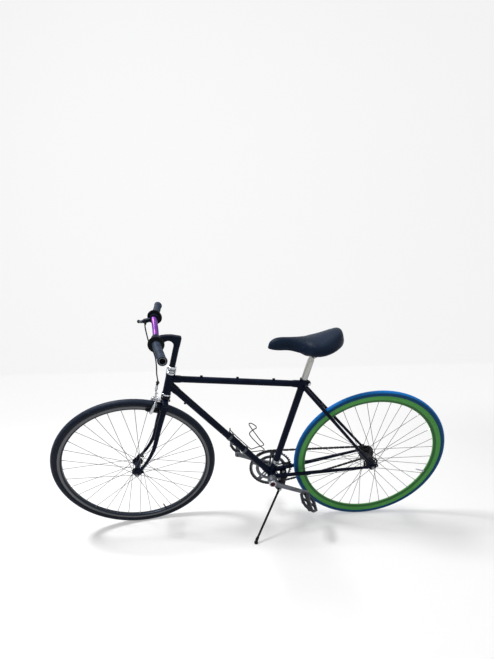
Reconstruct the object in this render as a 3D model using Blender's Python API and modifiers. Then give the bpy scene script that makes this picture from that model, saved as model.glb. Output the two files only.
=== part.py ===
"""A city bicycle standing on its side stand, modelled piece by piece in metres.

The bicycle's own frame has X to the rear, Y to its right side and Z up, with the rear axle at x = 0 and
both tyres on z = 0. An empty then leans it onto its stand and sets its tyres on the ground.
"""

from math import acos, atan2, cos, pi, radians, sin, tan

import bmesh
import bpy
import numpy as np
from mathutils import Matrix, Vector

# Clearance between pieces that touch, and the wall of a brazed socket
CLEARANCE = 0.0003
SOCKET_WALL = 0.0018

# Stance on the side stand
LEAN = radians(8)
STEER_AT_REST = radians(11.5)

# Wheels
WHEELBASE = 1.0275
REAR_WHEEL_RADIUS = 0.336
FRONT_WHEEL_RADIUS = 0.3414
REAR_TYRE_WIDTH = 0.0255
FRONT_TYRE_WIDTH = 0.031
TYRE_WALL = 0.0025
TYRE_OVER_RIM = 0.0012
REAR_RIM_RADIUS = 0.3185
REAR_RIM_DEPTH = 0.0325
REAR_RIM_WIDTH = 0.0185
FRONT_RIM_RADIUS = 0.3175
FRONT_RIM_DEPTH = 0.019
FRONT_RIM_WIDTH = 0.0215
RIM_WELL_DEPTH = 0.009
RIM_WALL = 0.0016
RIM_SIDES = 40
SPOKE_COUNT = 36
SPOKE_CROSSINGS = 3
SPOKE_RADIUS = 0.0011
SPOKE_END_GAP = 0.0006
VALVE_RADIUS = 0.003
FRONT_VALVE_LENGTH = 0.031
REAR_VALVE_LENGTH = 0.041

# Hubs: half widths are measured from the wheel's middle plane
FRONT_HUB_BARREL_RADIUS = 0.0125
FRONT_FLANGE_RADIUS = 0.0225
FRONT_FLANGE_OFFSET = 0.034
FRONT_HUB_HALF_WIDTH = 0.045
REAR_HUB_BARREL_RADIUS = 0.0175
REAR_FLANGE_RADIUS = 0.031
REAR_LEFT_FLANGE_OFFSET = 0.036
REAR_RIGHT_FLANGE_OFFSET = 0.025
FLANGE_THICKNESS = 0.003
FLANGE_HOLE_CIRCLE = 0.0045
FRONT_AXLE_RADIUS = 0.0048
REAR_AXLE_RADIUS = 0.0048
AXLE_END_REACH = 0.0095
AXLE_NUT_RADIUS = 0.0087
AXLE_NUT_HEIGHT = 0.0075
FRONT_DROPOUT_INNER = 0.050
REAR_DROPOUT_INNER = 0.060
DROPOUT_THICKNESS = 0.005

# Frame
HEAD_ANGLE = radians(71.5)
FORK_RAKE = 0.056
HEAD_TUBE_BOTTOM = 0.3753
HEAD_TUBE_LENGTH = 0.0975
HEAD_TUBE_RADIUS = 0.016
HEAD_TUBE_BORE = 0.0140
TOP_TUBE_ON_HEAD = 0.450
TOP_TUBE_DROP = radians(4.24)
TOP_TUBE_RADIUS = 0.0127
DOWN_TUBE_ON_HEAD = 0.428
DOWN_TUBE_RADIUS = 0.0143
SEAT_ANGLE = radians(75.5)
SEAT_TUBE_RADIUS = 0.0143
SEAT_TUBE_TOP = 0.482
SEAT_CLAMP_PLACE = 0.074
TUBE_WALL = 0.0012
BRACKET_BACK = 0.4344
BRACKET_HEIGHT = 0.2654
BRACKET_SHELL_RADIUS = 0.020
BRACKET_SHELL_BORE = 0.0172
BRACKET_SHELL_WIDTH = 0.068
SOCKET_LENGTH = 0.030
TUBE_FOOT = 0.034
BRACKET_LUG_LENGTH = 0.052
CHAIN_STAY_FRONT_RADIUS = 0.0085
CHAIN_STAY_REAR_RADIUS = 0.0062
CHAIN_STAY_FRONT_HALF_GAP = 0.0205
SEAT_STAY_TOP_RADIUS = 0.0075
SEAT_STAY_LOW_RADIUS = 0.0055
SEAT_STAY_TOP_HALF_GAP = 0.0215
SEAT_STAY_TOP = 0.452
SEAT_STAY_TOP_BACK = 0.010
DROPOUT_REACH = 0.036
GUIDE_PLACES = (0.122, 0.260, 0.400)
GUIDE_RADIUS = 0.0035
GUIDE_LENGTH = 0.010
STOP_BOSS_PLACE = 0.085
BRIDGE_RADIUS = 0.0055
BRIDGE_OVER_TYRE = 0.016

# Headset, fork and front brake, measured up the steering axis from the front axle's foot on it
CROWN_BOTTOM = 0.342
CROWN_TOP = 0.3640
CROWN_DEPTH = 0.028
BLADE_TOP_RADIUS = 0.0105
BLADE_LOW_RADIUS = 0.0062
BLADE_TOP_HALF_GAP = 0.0305
STEERER_RADIUS = 0.0127
STEERER_BORE = 0.0114
HEADSET_TOP = 0.504
HEADSET_CUP_RADIUS = 0.0185
HEADSET_CUP_HEIGHT = 0.011
HEADSET_LOWER_CUP_HEIGHT = 0.0085
HEADSET_RACE_HEIGHT = 0.0095
BRAKE_PIVOT_HEIGHT = 0.354
BRAKE_PIVOT_RADIUS = 0.003
BRAKE_ARM_PLANE = 0.037
BRAKE_ARM_THICKNESS = 0.007
PAD_LENGTH = 0.048
PAD_HEIGHT = 0.010
PAD_THICKNESS = 0.009
PAD_CLEARANCE = 0.0022

# Stem and handlebar, in the steering axis's own frame
QUILL_RADIUS = 0.01105
QUILL_BOTTOM = 0.436
STEM_TOP = 0.6245
STEM_WIDTH = 0.021
STEM_THROAT_RADIUS = 0.019
STEM_THROAT_TOP = 0.6006
BAR_CLAMP_AHEAD = 0.073
BAR_CLAMP_HEIGHT = 0.588
BAR_CLAMP_RADIUS = 0.0175
BAR_CLAMP_WIDTH = 0.042
BAR_RADIUS = 0.0111
BAR_GRIP_AHEAD = 0.0821
BAR_GRIP_HEIGHT = 0.6279
BAR_END_AHEAD = 0.0676
BAR_END_HEIGHT = 0.6344
BAR_HALF_WIDTH = 0.2617
BAR_BEND_START = 0.030
GRIP_INNER_END = 0.1290
GRIP_RADIUS = 0.0138
GRIP_END_RADIUS = 0.0153
GRIP_FLANGE_RADIUS = 0.027
GRIP_FLANGE_THICKNESS = 0.006
LEVER_PLACE = 0.117
LEVER_PIVOT_AHEAD = 0.030
LEVER_PIVOT_DROP = 0.018
CABLE_RADIUS = 0.0025

# Drive train
CHAIN_PITCH = 0.0127
CHAINRING_TEETH = 48
SPROCKET_TEETH = 16
CHAIN_LINE = 0.0435
CHAIN_WIDTH = 0.008
CHAIN_HALF_HEIGHT = 0.0041
CHAIN_SLOT_WIDTH = 0.0040
CHAIN_WEB = 0.0016
TOOTH_CLEARANCE = 0.0006
SPROCKET_INNER = 0.0375
CHAIN_SAG = 0.006
RING_THICKNESS = 0.0028
CRANK_LENGTH = 0.165
CRANK_AT_REST = radians(-22)
CRANK_ARM_THICKNESS = 0.013
CRANK_ARM_PLANE = 0.070
CRANK_BOSS_RADIUS = 0.016
CRANK_EYE_RADIUS = 0.0125
SPINDLE_RADIUS = 0.0085
INNER_RING_RADIUS = 0.066
INNER_RING_WIDTH = 0.010
OUTER_BAND_WIDTH = 0.013
SPIDER_ARM_WIDTH = 0.020
SPIDER_ARMS = 5
PEDAL_AXLE_RADIUS = 0.0065
PEDAL_AXLE_LENGTH = 0.092
PEDAL_LENGTH = 0.092
PEDAL_WIDTH = 0.084
PEDAL_HEIGHT = 0.017
PEDAL_BAR = 0.006
PEDAL_TILT = radians(42)

# Seat
SEATPOST_RADIUS = 0.0128
SEATPOST_NECK_RADIUS = 0.0110
SEATPOST_INSERTED = 0.120
SADDLE_CLAMP_RADIUS = 0.016
CLAMP_BOLT_RADIUS = 0.0040
RAIL_RADIUS = 0.0035
RAIL_HEIGHT = 0.838
RAIL_BELOW_POST_TOP = 0.0130613
SEATPOST_TOP = (RAIL_HEIGHT - BRACKET_HEIGHT) / sin(SEAT_ANGLE) + RAIL_BELOW_POST_TOP
SADDLE_AHEAD_OF_CLAMP = 0.0037

# Side stand and bottle cage
STAND_PLATE_BACK = 0.0544
STAND_PLATE_BELOW_STAYS = 0.013043976
STAND_PLATE_FLATTER = 0.01063708
STAND_BLOCK_FROM_PLATE = Vector((-0.004, -0.012, -0.02345))
STAND_NECK_FROM_PLATE = Vector((-0.004, -0.016, -0.02945))
STAND_PIVOT_FROM_PLATE = Vector((-0.024, -0.045, -0.04645))
STAND_FOOT_BACK = -0.516
STAND_FOOT_OUT = -0.198
STAND_AXIS_TURN = radians(-62.4)
STAND_AXIS_DIP = radians(-12.2)
STAND_LEG_RADIUS = 0.005
STAND_FOOT_RADIUS = 0.0085
STAND_FOOT_HEIGHT = 0.012
CAGE_WIRE_RADIUS = 0.0018


def clear_scene():
    for old in list(bpy.data.objects):
        bpy.data.objects.remove(old, do_unlink=True)


def collection_named(name):
    found = bpy.data.collections.new(name)
    bpy.context.scene.collection.children.link(found)
    return found


def material_named(name, colour, roughness, metallic=0.0):
    made = bpy.data.materials.new(name)
    made.use_nodes = True
    shader = made.node_tree.nodes["Principled BSDF"]
    shader.inputs["Base Color"].default_value = (*colour, 1.0)
    shader.inputs["Roughness"].default_value = roughness
    shader.inputs["Metallic"].default_value = metallic
    return made


clear_scene()
PARTS = collection_named("bicycle")
CUTTERS = collection_named("cutters")

BLACK_PAINT = material_named("black_paint", (0.012, 0.013, 0.02), 0.3)
BLACK_METAL = material_named("black_metal", (0.02, 0.02, 0.025), 0.4, 0.5)
CHROME = material_named("chrome", (0.75, 0.76, 0.78), 0.15, 1.0)
ALLOY = material_named("alloy", (0.55, 0.56, 0.57), 0.35, 1.0)
DARK_STEEL = material_named("dark_steel", (0.09, 0.075, 0.07), 0.5, 0.8)
GREEN_RIM = material_named("green_rim", (0.13, 0.36, 0.12), 0.45)
BLUE_TYRE = material_named("blue_tyre", (0.02, 0.14, 0.42), 0.65)
BLACK_TYRE = material_named("black_tyre", (0.025, 0.027, 0.032), 0.8)
GREY_RIM = material_named("grey_rim", (0.42, 0.43, 0.45), 0.35, 0.9)
SPOKE_STEEL = material_named("spoke_steel", (0.6, 0.61, 0.62), 0.25, 1.0)
PURPLE_METAL = material_named("purple_metal", (0.22, 0.09, 0.42), 0.25, 0.9)
GRIP_RUBBER = material_named("grip_rubber", (0.03, 0.033, 0.042), 0.75)
SADDLE_COVER = material_named("saddle_cover", (0.014, 0.015, 0.02), 0.5)
PAD_RUBBER = material_named("pad_rubber", (0.03, 0.03, 0.03), 0.8)
CABLE_SLEEVE = material_named("cable_sleeve", (0.06, 0.065, 0.075), 0.4)


def adopt(thing, name, material, parent=None, cutter=False):
    """Names an object, gives it its material and parent, and puts it in its collection."""
    thing.name = name
    thing.data.name = name
    for old in list(thing.users_collection):
        old.objects.unlink(thing)
    (CUTTERS if cutter else PARTS).objects.link(thing)
    if cutter:
        thing.hide_render = True
        thing.display_type = "WIRE"
    if material is not None:
        thing.data.materials.clear()
        thing.data.materials.append(material)
    if parent is not None:
        thing.parent = parent
    return thing


def empty(name, parent, location=(0, 0, 0), rotation=(0, 0, 0)):
    made = bpy.data.objects.new(name, None)
    made.parent = parent
    made.location = location
    made.rotation_euler = rotation
    PARTS.objects.link(made)
    return made


def cylinder(name, start, end, radius, material=None, parent=None, sides=16, top_radius=None, cutter=False):
    """A cylinder, or a cone where its top radius differs, from one point to another."""
    start, end = Vector(start), Vector(end)
    bpy.ops.mesh.primitive_cone_add(
        vertices=sides,
        radius1=radius,
        radius2=radius if top_radius is None else top_radius,
        depth=(end - start).length,
        location=(start + end) / 2,
    )
    made = bpy.context.object
    made.rotation_euler = (end - start).to_track_quat("Z", "Y").to_euler()
    smooth(made)
    return adopt(made, name, material, parent, cutter)


def box(name, size, centre, material=None, parent=None, rotation=(0, 0, 0), cutter=False):
    bpy.ops.mesh.primitive_cube_add(size=1, location=centre)
    made = bpy.context.object
    made.data.transform(Matrix.Diagonal((*size, 1)))
    made.rotation_euler = rotation
    return adopt(made, name, material, parent, cutter)


def smooth(thing, angle=radians(35)):
    thing.data.shade_smooth()
    thing.data.set_sharp_from_angle(angle=angle)


def turned(name, profile, material, parent, location=(0, 0, 0), rotation=(0, 0, 0), sides=16,
           ring=False, start_angle=0.0, cutter=False):
    """A profile of (radius, height) turned about Z, outer side from top to bottom. A ring's profile closes."""
    mesh = bpy.data.meshes.new(name)
    points = [(r * cos(start_angle), r * sin(start_angle), h) for r, h in profile]
    edges = [(i, i + 1) for i in range(len(points) - 1)]
    if ring:
        edges.append((len(points) - 1, 0))
    mesh.from_pydata(points, edges, [])
    made = bpy.data.objects.new(name, mesh)
    made.location = location
    made.rotation_euler = rotation
    screw = made.modifiers.new("turn", "SCREW")
    screw.axis = "Z"
    screw.steps = screw.render_steps = sides
    screw.use_merge_vertices = True
    screw.merge_threshold = 1e-5
    screw.use_smooth_shade = True
    return adopt(made, name, material, parent, cutter)


def tube(name, start, end, radius, wall, material, parent, end_radius=None, sides=16):
    """A straight hollow tube, tapered where its end radius differs."""
    start, end = Vector(start), Vector(end)
    length = (end - start).length
    top = radius if end_radius is None else end_radius
    profile = [(top, length), (radius, 0), (radius - wall, 0), (top - wall, length)]
    return turned(name, profile, material, parent, start,
                  (end - start).to_track_quat("Z", "Y").to_euler(), sides, ring=True)


def rod(name, points, radius, material, parent, resolution=2, radii=None, cyclic=False, cutter=False):
    """A wire or rod: a poly curve through the points with a round section and filled ends."""
    curve = bpy.data.curves.new(name, "CURVE")
    curve.dimensions = "3D"
    curve.bevel_depth = radius
    curve.bevel_resolution = resolution
    curve.use_fill_caps = True
    spline = curve.splines.new("POLY")
    spline.points.add(len(points) - 1)
    for i, point in enumerate(points):
        spline.points[i].co = (*point, 1)
        spline.points[i].radius = 1 if radii is None else radii[i] / radius
    spline.use_cyclic_u = cyclic
    return adopt(bpy.data.objects.new(name, curve), name, material, parent, cutter)


def plate(name, outlines, thickness, material, parent, location=(0, 0, 0), rotation=(0, 0, 0), cutter=False):
    """A flat piece: closed outlines in X and Y, the later ones holes, with a thickness along Z."""
    curve = bpy.data.curves.new(name, "CURVE")
    curve.dimensions = "2D"
    curve.fill_mode = "BOTH"
    curve.extrude = thickness / 2
    for outline in outlines:
        spline = curve.splines.new("POLY")
        spline.points.add(len(outline) - 1)
        for i, (x, y) in enumerate(outline):
            spline.points[i].co = (x, y, 0, 1)
        spline.use_cyclic_u = True
    made = bpy.data.objects.new(name, curve)
    made.location = location
    made.rotation_euler = rotation
    return adopt(made, name, material, parent, cutter)


def as_mesh(thing):
    """Swaps a curve object for a welded mesh one, so that it can be cut and joined."""
    bpy.context.view_layer.update()
    graph = bpy.context.evaluated_depsgraph_get()
    mesh = bpy.data.meshes.new_from_object(thing.evaluated_get(graph))
    welded = bmesh.new()
    welded.from_mesh(mesh)
    bmesh.ops.remove_doubles(welded, verts=welded.verts, dist=1e-6)
    bmesh.ops.recalc_face_normals(welded, faces=welded.faces)
    welded.to_mesh(mesh)
    welded.free()
    made = bpy.data.objects.new(thing.name + "_mesh", mesh)
    made.parent = thing.parent
    made.matrix_basis = thing.matrix_basis
    name, cutter = thing.name, thing.hide_render
    material = thing.data.materials[0] if thing.data.materials else None
    bpy.data.objects.remove(thing, do_unlink=True)
    smooth(made)
    return adopt(made, name, material, None, cutter)


def combine(base, operation, others):
    """Adds or removes each other shape, which becomes a hidden helper."""
    for other in others:
        other.hide_render = True
        other.display_type = "WIRE"
        for old in list(other.users_collection):
            old.objects.unlink(other)
        CUTTERS.objects.link(other)
        change = base.modifiers.new(operation.lower(), "BOOLEAN")
        change.operation = operation
        change.object = other
        change.solver = "EXACT"
    return base


def joined(base, *others):
    return combine(base, "UNION", others)


def cut(base, *others):
    return combine(base, "DIFFERENCE", others)


def arc(centre, radius, start, end, steps):
    """Points along a circle's arc, both ends included."""
    angles = np.linspace(start, end, steps + 1)
    return [(centre[0] + radius * cos(a), centre[1] + radius * sin(a)) for a in angles]


def circle(centre, radius, sides):
    return arc(centre, radius, 0, 2 * pi * (sides - 1) / sides, sides - 1)


def along(start, direction, distance):
    return Vector(start) + Vector(direction) * distance


# Places and directions that several pieces share, in the bicycle's own frame
STEER_DIRECTION = Vector((cos(HEAD_ANGLE), 0, sin(HEAD_ANGLE)))
STEER_FORWARD = Vector((-sin(HEAD_ANGLE), 0, cos(HEAD_ANGLE)))
FRONT_AXLE = Vector((-WHEELBASE, 0, FRONT_WHEEL_RADIUS))
STEER_FOOT = FRONT_AXLE - FORK_RAKE * STEER_FORWARD
REAR_AXLE = Vector((0, 0, REAR_WHEEL_RADIUS))
BRACKET = Vector((-BRACKET_BACK, 0, BRACKET_HEIGHT))
SEAT_DIRECTION = Vector((cos(SEAT_ANGLE), 0, sin(SEAT_ANGLE)))
TOP_TUBE_START = along(STEER_FOOT, STEER_DIRECTION, TOP_TUBE_ON_HEAD)
TOP_TUBE_DIRECTION = Vector((cos(TOP_TUBE_DROP), 0, -sin(TOP_TUBE_DROP)))
DOWN_TUBE_START = along(STEER_FOOT, STEER_DIRECTION, DOWN_TUBE_ON_HEAD)
DOWN_TUBE_DIRECTION = (BRACKET - DOWN_TUBE_START).normalized()
UPRIGHT = (pi / 2, 0, 0)
SIDEWAYS = (-pi / 2, 0, 0)
FACING = (pi / 2, 0, pi / 2)


def crossing(start, direction, other_start, other_direction):
    """How far along the first line, in the bicycle's plane, it meets the second."""
    across = Vector((-other_direction.z, 0, other_direction.x))
    return (other_start - start).dot(across) / direction.dot(across)


TOP_TUBE_LENGTH = crossing(TOP_TUBE_START, TOP_TUBE_DIRECTION, BRACKET, SEAT_DIRECTION)
TOP_TUBE_END = along(TOP_TUBE_START, TOP_TUBE_DIRECTION, TOP_TUBE_LENGTH)
SEAT_CLUSTER = (TOP_TUBE_END - BRACKET).length

bike = empty("bicycle_frame", None)
head_axis = empty("head_axis", bike, STEER_FOOT, (0, pi / 2 - HEAD_ANGLE, 0))
steering = empty("steering_axis", head_axis, (0, 0, 0), (0, 0, STEER_AT_REST))
front_wheel_axis = empty("front_wheel_axis", steering, (-FORK_RAKE, 0, 0))
rear_wheel_axis = empty("rear_wheel_axis", bike, REAR_AXLE)
crank_axis = empty("crank_axis", bike, BRACKET, (0, -CRANK_AT_REST, 0))
seat_axis = empty("seat_axis", bike, BRACKET, (0, pi / 2 - SEAT_ANGLE, 0))
BAR_CENTRE = Vector((-BAR_CLAMP_AHEAD, 0, BAR_CLAMP_HEIGHT))
bar_axis = empty("handlebar_axis", steering, BAR_CENTRE)
bar_frame = empty("handlebar_frame", bar_axis, -BAR_CENTRE)
SADDLE_CENTRE = along(BRACKET, SEAT_DIRECTION, SEATPOST_TOP - 0.013)
SADDLE_CENTRE.z = RAIL_HEIGHT
saddle_axis = empty("saddle_axis", bike, SADDLE_CENTRE)
saddle_frame = empty("saddle_frame", saddle_axis, -SADDLE_CENTRE)


def tyre(name, radius, width, rim_radius, rim_width, material, axis):
    """A hollow tyre: a round tread and walls that end in two beads inside the rim's edges."""
    section = width / 2
    centre = radius - section
    bead_half = rim_width / 2 - RIM_WALL - CLEARANCE
    bead_radius = rim_radius - RIM_WELL_DEPTH / 2
    shoulder = rim_radius + TYRE_OVER_RIM
    bead_inner = bead_half - TYRE_WALL
    hollow = section - TYRE_WALL
    outer_angle = acos((shoulder - centre) / section)
    inner_angle = acos((shoulder + TYRE_WALL - centre) / hollow)
    profile = arc((centre, 0), section, outer_angle, -outer_angle, 4)
    profile += [(shoulder, -bead_half), (bead_radius, -bead_half), (bead_radius, -bead_inner)]
    profile.append((shoulder + TYRE_WALL, -bead_inner))
    profile += arc((centre, 0), hollow, -inner_angle, inner_angle, 2)
    profile.append((shoulder + TYRE_WALL, bead_inner))
    profile += [(bead_radius, bead_inner), (bead_radius, bead_half), (shoulder, bead_half)]
    return turned(name, profile, material, axis, rotation=SIDEWAYS, sides=RIM_SIDES, ring=True,
                  start_angle=pi / RIM_SIDES)


def rim(name, radius, depth, width, material, axis, nose_width):
    """A rim: two side walls, a well for the tyre and a box or vee below it."""
    half, well = width / 2, radius - RIM_WELL_DEPTH
    nose = nose_width / 2
    profile = [
        (radius, half), (radius, half - RIM_WALL), (well, half - RIM_WALL), (well, -half + RIM_WALL),
        (radius, -half + RIM_WALL), (radius, -half), (radius - 0.4 * depth, -half), (radius - depth, -nose),
        (radius - depth, nose), (radius - 0.4 * depth, half),
    ]
    return turned(name, profile, material, axis, rotation=SIDEWAYS, sides=RIM_SIDES, ring=True,
                  start_angle=pi / RIM_SIDES)


def spokes(name, left_flange, right_flange, flange_radius, rim_inner, axis):
    """All the spokes of a wheel, laced over crossings between the hub's flanges and the rim."""
    shapes = bmesh.new()
    circle_radius = flange_radius - FLANGE_HOLE_CIRCLE
    sweep = SPOKE_CROSSINGS * 4 * pi / SPOKE_COUNT
    for k in range(SPOKE_COUNT):
        rim_angle = 2 * pi * k / SPOKE_COUNT
        flange = -left_flange if k % 2 == 0 else right_flange
        leading = (k // 2) % 2 == 0
        hub_angle = rim_angle + (sweep if leading else -sweep)
        side = (FLANGE_THICKNESS / 2 + SPOKE_RADIUS / 3) * (1 if leading else -1)
        hub_end = Vector((circle_radius * cos(hub_angle), flange + side, circle_radius * sin(hub_angle)))
        reach = rim_inner * cos(pi / RIM_SIDES) - SPOKE_END_GAP
        rim_end = Vector((reach * cos(rim_angle), 0.002 * (-1 if k % 2 == 0 else 1), reach * sin(rim_angle)))
        direction = (rim_end - hub_end).normalized()
        hub_end -= direction * 0.003
        turn = direction.to_track_quat("Z", "Y").to_matrix().to_4x4()
        place = Matrix.Translation((hub_end + rim_end) / 2) @ turn
        bmesh.ops.create_cone(shapes, cap_ends=True, segments=3, radius1=SPOKE_RADIUS, radius2=SPOKE_RADIUS,
                              depth=(rim_end - hub_end).length, matrix=place)
    mesh = bpy.data.meshes.new(name)
    shapes.to_mesh(mesh)
    shapes.free()
    return adopt(bpy.data.objects.new(name, mesh), name, SPOKE_STEEL, axis, cutter=True)


def hub(name, barrel, flange_radius, left_flange, right_flange, half_width, axle_radius, material, axis, rim_inner):
    """A hub shell with two flanges, bored for its axle, with its spokes laced to it."""
    thick = FLANGE_THICKNESS / 2
    bore = axle_radius + CLEARANCE
    collar = barrel * 0.8
    profile = [
        (bore, half_width), (collar, half_width), (collar, right_flange + thick), (flange_radius, right_flange + thick),
        (flange_radius, right_flange - thick), (barrel, right_flange - thick), (barrel, -left_flange + thick),
        (flange_radius, -left_flange + thick), (flange_radius, -left_flange - thick),
        (collar, -left_flange - thick), (collar, -half_width), (bore, -half_width),
    ]
    shell = turned(name, profile, material, axis, rotation=SIDEWAYS, sides=18, ring=True)
    lacing = spokes(name + "_lacing", left_flange, right_flange, flange_radius, rim_inner, axis)
    joined(shell, lacing)
    shell.modifiers[-1].use_self = True
    return shell


def axle(name, radius, dropout_inner, axis):
    """An axle with its two cones against the dropouts and its two nuts outside them."""
    outer = dropout_inner + DROPOUT_THICKNESS + CLEARANCE
    nut_end = outer + AXLE_NUT_HEIGHT
    tip = outer + AXLE_END_REACH
    cone_outer = dropout_inner - CLEARANCE
    rod_profile = [(0, tip), (radius, tip), (radius, -tip), (0, -tip)]
    shaft = turned(name, rod_profile, ALLOY, axis, rotation=SIDEWAYS, sides=12)
    for side, low, high, reach in (
        ("left_nut", -nut_end, -outer, AXLE_NUT_RADIUS),
        ("right_nut", outer, nut_end, AXLE_NUT_RADIUS),
    ):
        nut = cylinder(name + "_" + side, (0, low, 0), (0, high, 0), reach, BLACK_METAL, axis, sides=6)
        joined(shaft, nut)
    for side, sign in (("left_cone", -1), ("right_cone", 1)):
        cone = cylinder(name + "_" + side, (0, sign * (cone_outer - 0.003), 0), (0, sign * cone_outer, 0),
                        radius + 0.003, BLACK_METAL, axis, sides=12)
        joined(shaft, cone)
    return shaft


def valve(name, rim_inner, length, material, axis, angle):
    """The tube's valve, which stands inward from the rim."""
    start = rim_inner * cos(pi / RIM_SIDES) - CLEARANCE
    direction = Vector((cos(angle), 0, sin(angle)))
    return cylinder(name, direction * start, direction * (start - length), VALVE_RADIUS, material, axis,
                    sides=8, top_radius=VALVE_RADIUS * 0.7)


def front_wheel():
    rim_inner = FRONT_RIM_RADIUS - FRONT_RIM_DEPTH
    tyre("front_tyre", FRONT_WHEEL_RADIUS, FRONT_TYRE_WIDTH, FRONT_RIM_RADIUS, FRONT_RIM_WIDTH, BLACK_TYRE,
         front_wheel_axis)
    rim("front_rim", FRONT_RIM_RADIUS, FRONT_RIM_DEPTH, FRONT_RIM_WIDTH, GREY_RIM, front_wheel_axis, 0.016)
    hub("front_hub", FRONT_HUB_BARREL_RADIUS, FRONT_FLANGE_RADIUS, FRONT_FLANGE_OFFSET, FRONT_FLANGE_OFFSET,
        FRONT_HUB_HALF_WIDTH, FRONT_AXLE_RADIUS, BLACK_METAL, front_wheel_axis, rim_inner)
    valve("front_valve", rim_inner, FRONT_VALVE_LENGTH, BLACK_METAL, front_wheel_axis, radians(-55.8))
    axle("front_axle", FRONT_AXLE_RADIUS, FRONT_DROPOUT_INNER, front_wheel_axis)


def rear_wheel():
    rim_inner = REAR_RIM_RADIUS - REAR_RIM_DEPTH
    tyre("rear_tyre", REAR_WHEEL_RADIUS, REAR_TYRE_WIDTH, REAR_RIM_RADIUS, REAR_RIM_WIDTH, BLUE_TYRE,
         rear_wheel_axis)
    rim("rear_rim", REAR_RIM_RADIUS, REAR_RIM_DEPTH, REAR_RIM_WIDTH, GREEN_RIM, rear_wheel_axis, 0.007)
    hub("rear_hub", REAR_HUB_BARREL_RADIUS, REAR_FLANGE_RADIUS, REAR_LEFT_FLANGE_OFFSET, REAR_RIGHT_FLANGE_OFFSET,
        CHAIN_LINE - 0.006, REAR_AXLE_RADIUS, DARK_STEEL, rear_wheel_axis, rim_inner)
    valve("rear_valve", rim_inner, REAR_VALVE_LENGTH, CHROME, rear_wheel_axis, radians(-17.8))
    axle("rear_axle", REAR_AXLE_RADIUS, REAR_DROPOUT_INNER, rear_wheel_axis)


def rest_on_ground():
    """Leans the bicycle and pitches it by the little that sets both tyres on the ground."""
    bike.rotation_euler = (LEAN, 0, 0)
    for _ in range(4):
        bpy.context.view_layer.update()
        front, rear = (lowest(bpy.data.objects[name]) for name in ("front_tyre", "rear_tyre"))
        bike.rotation_euler.y += (rear - front) / WHEELBASE
        bike.location.z -= rear
    bpy.context.view_layer.update()


def lowest(thing):
    graph = bpy.context.evaluated_depsgraph_get()
    shape = thing.evaluated_get(graph)
    return min((shape.matrix_world @ vertex.co).z for vertex in shape.data.vertices)



def head_reach(direction, radius):
    """How far along a tube its square end clears the head tube."""
    angle = STEER_DIRECTION.angle(direction)
    return HEAD_TUBE_RADIUS / sin(angle) + radius / abs(tan(angle))


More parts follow.
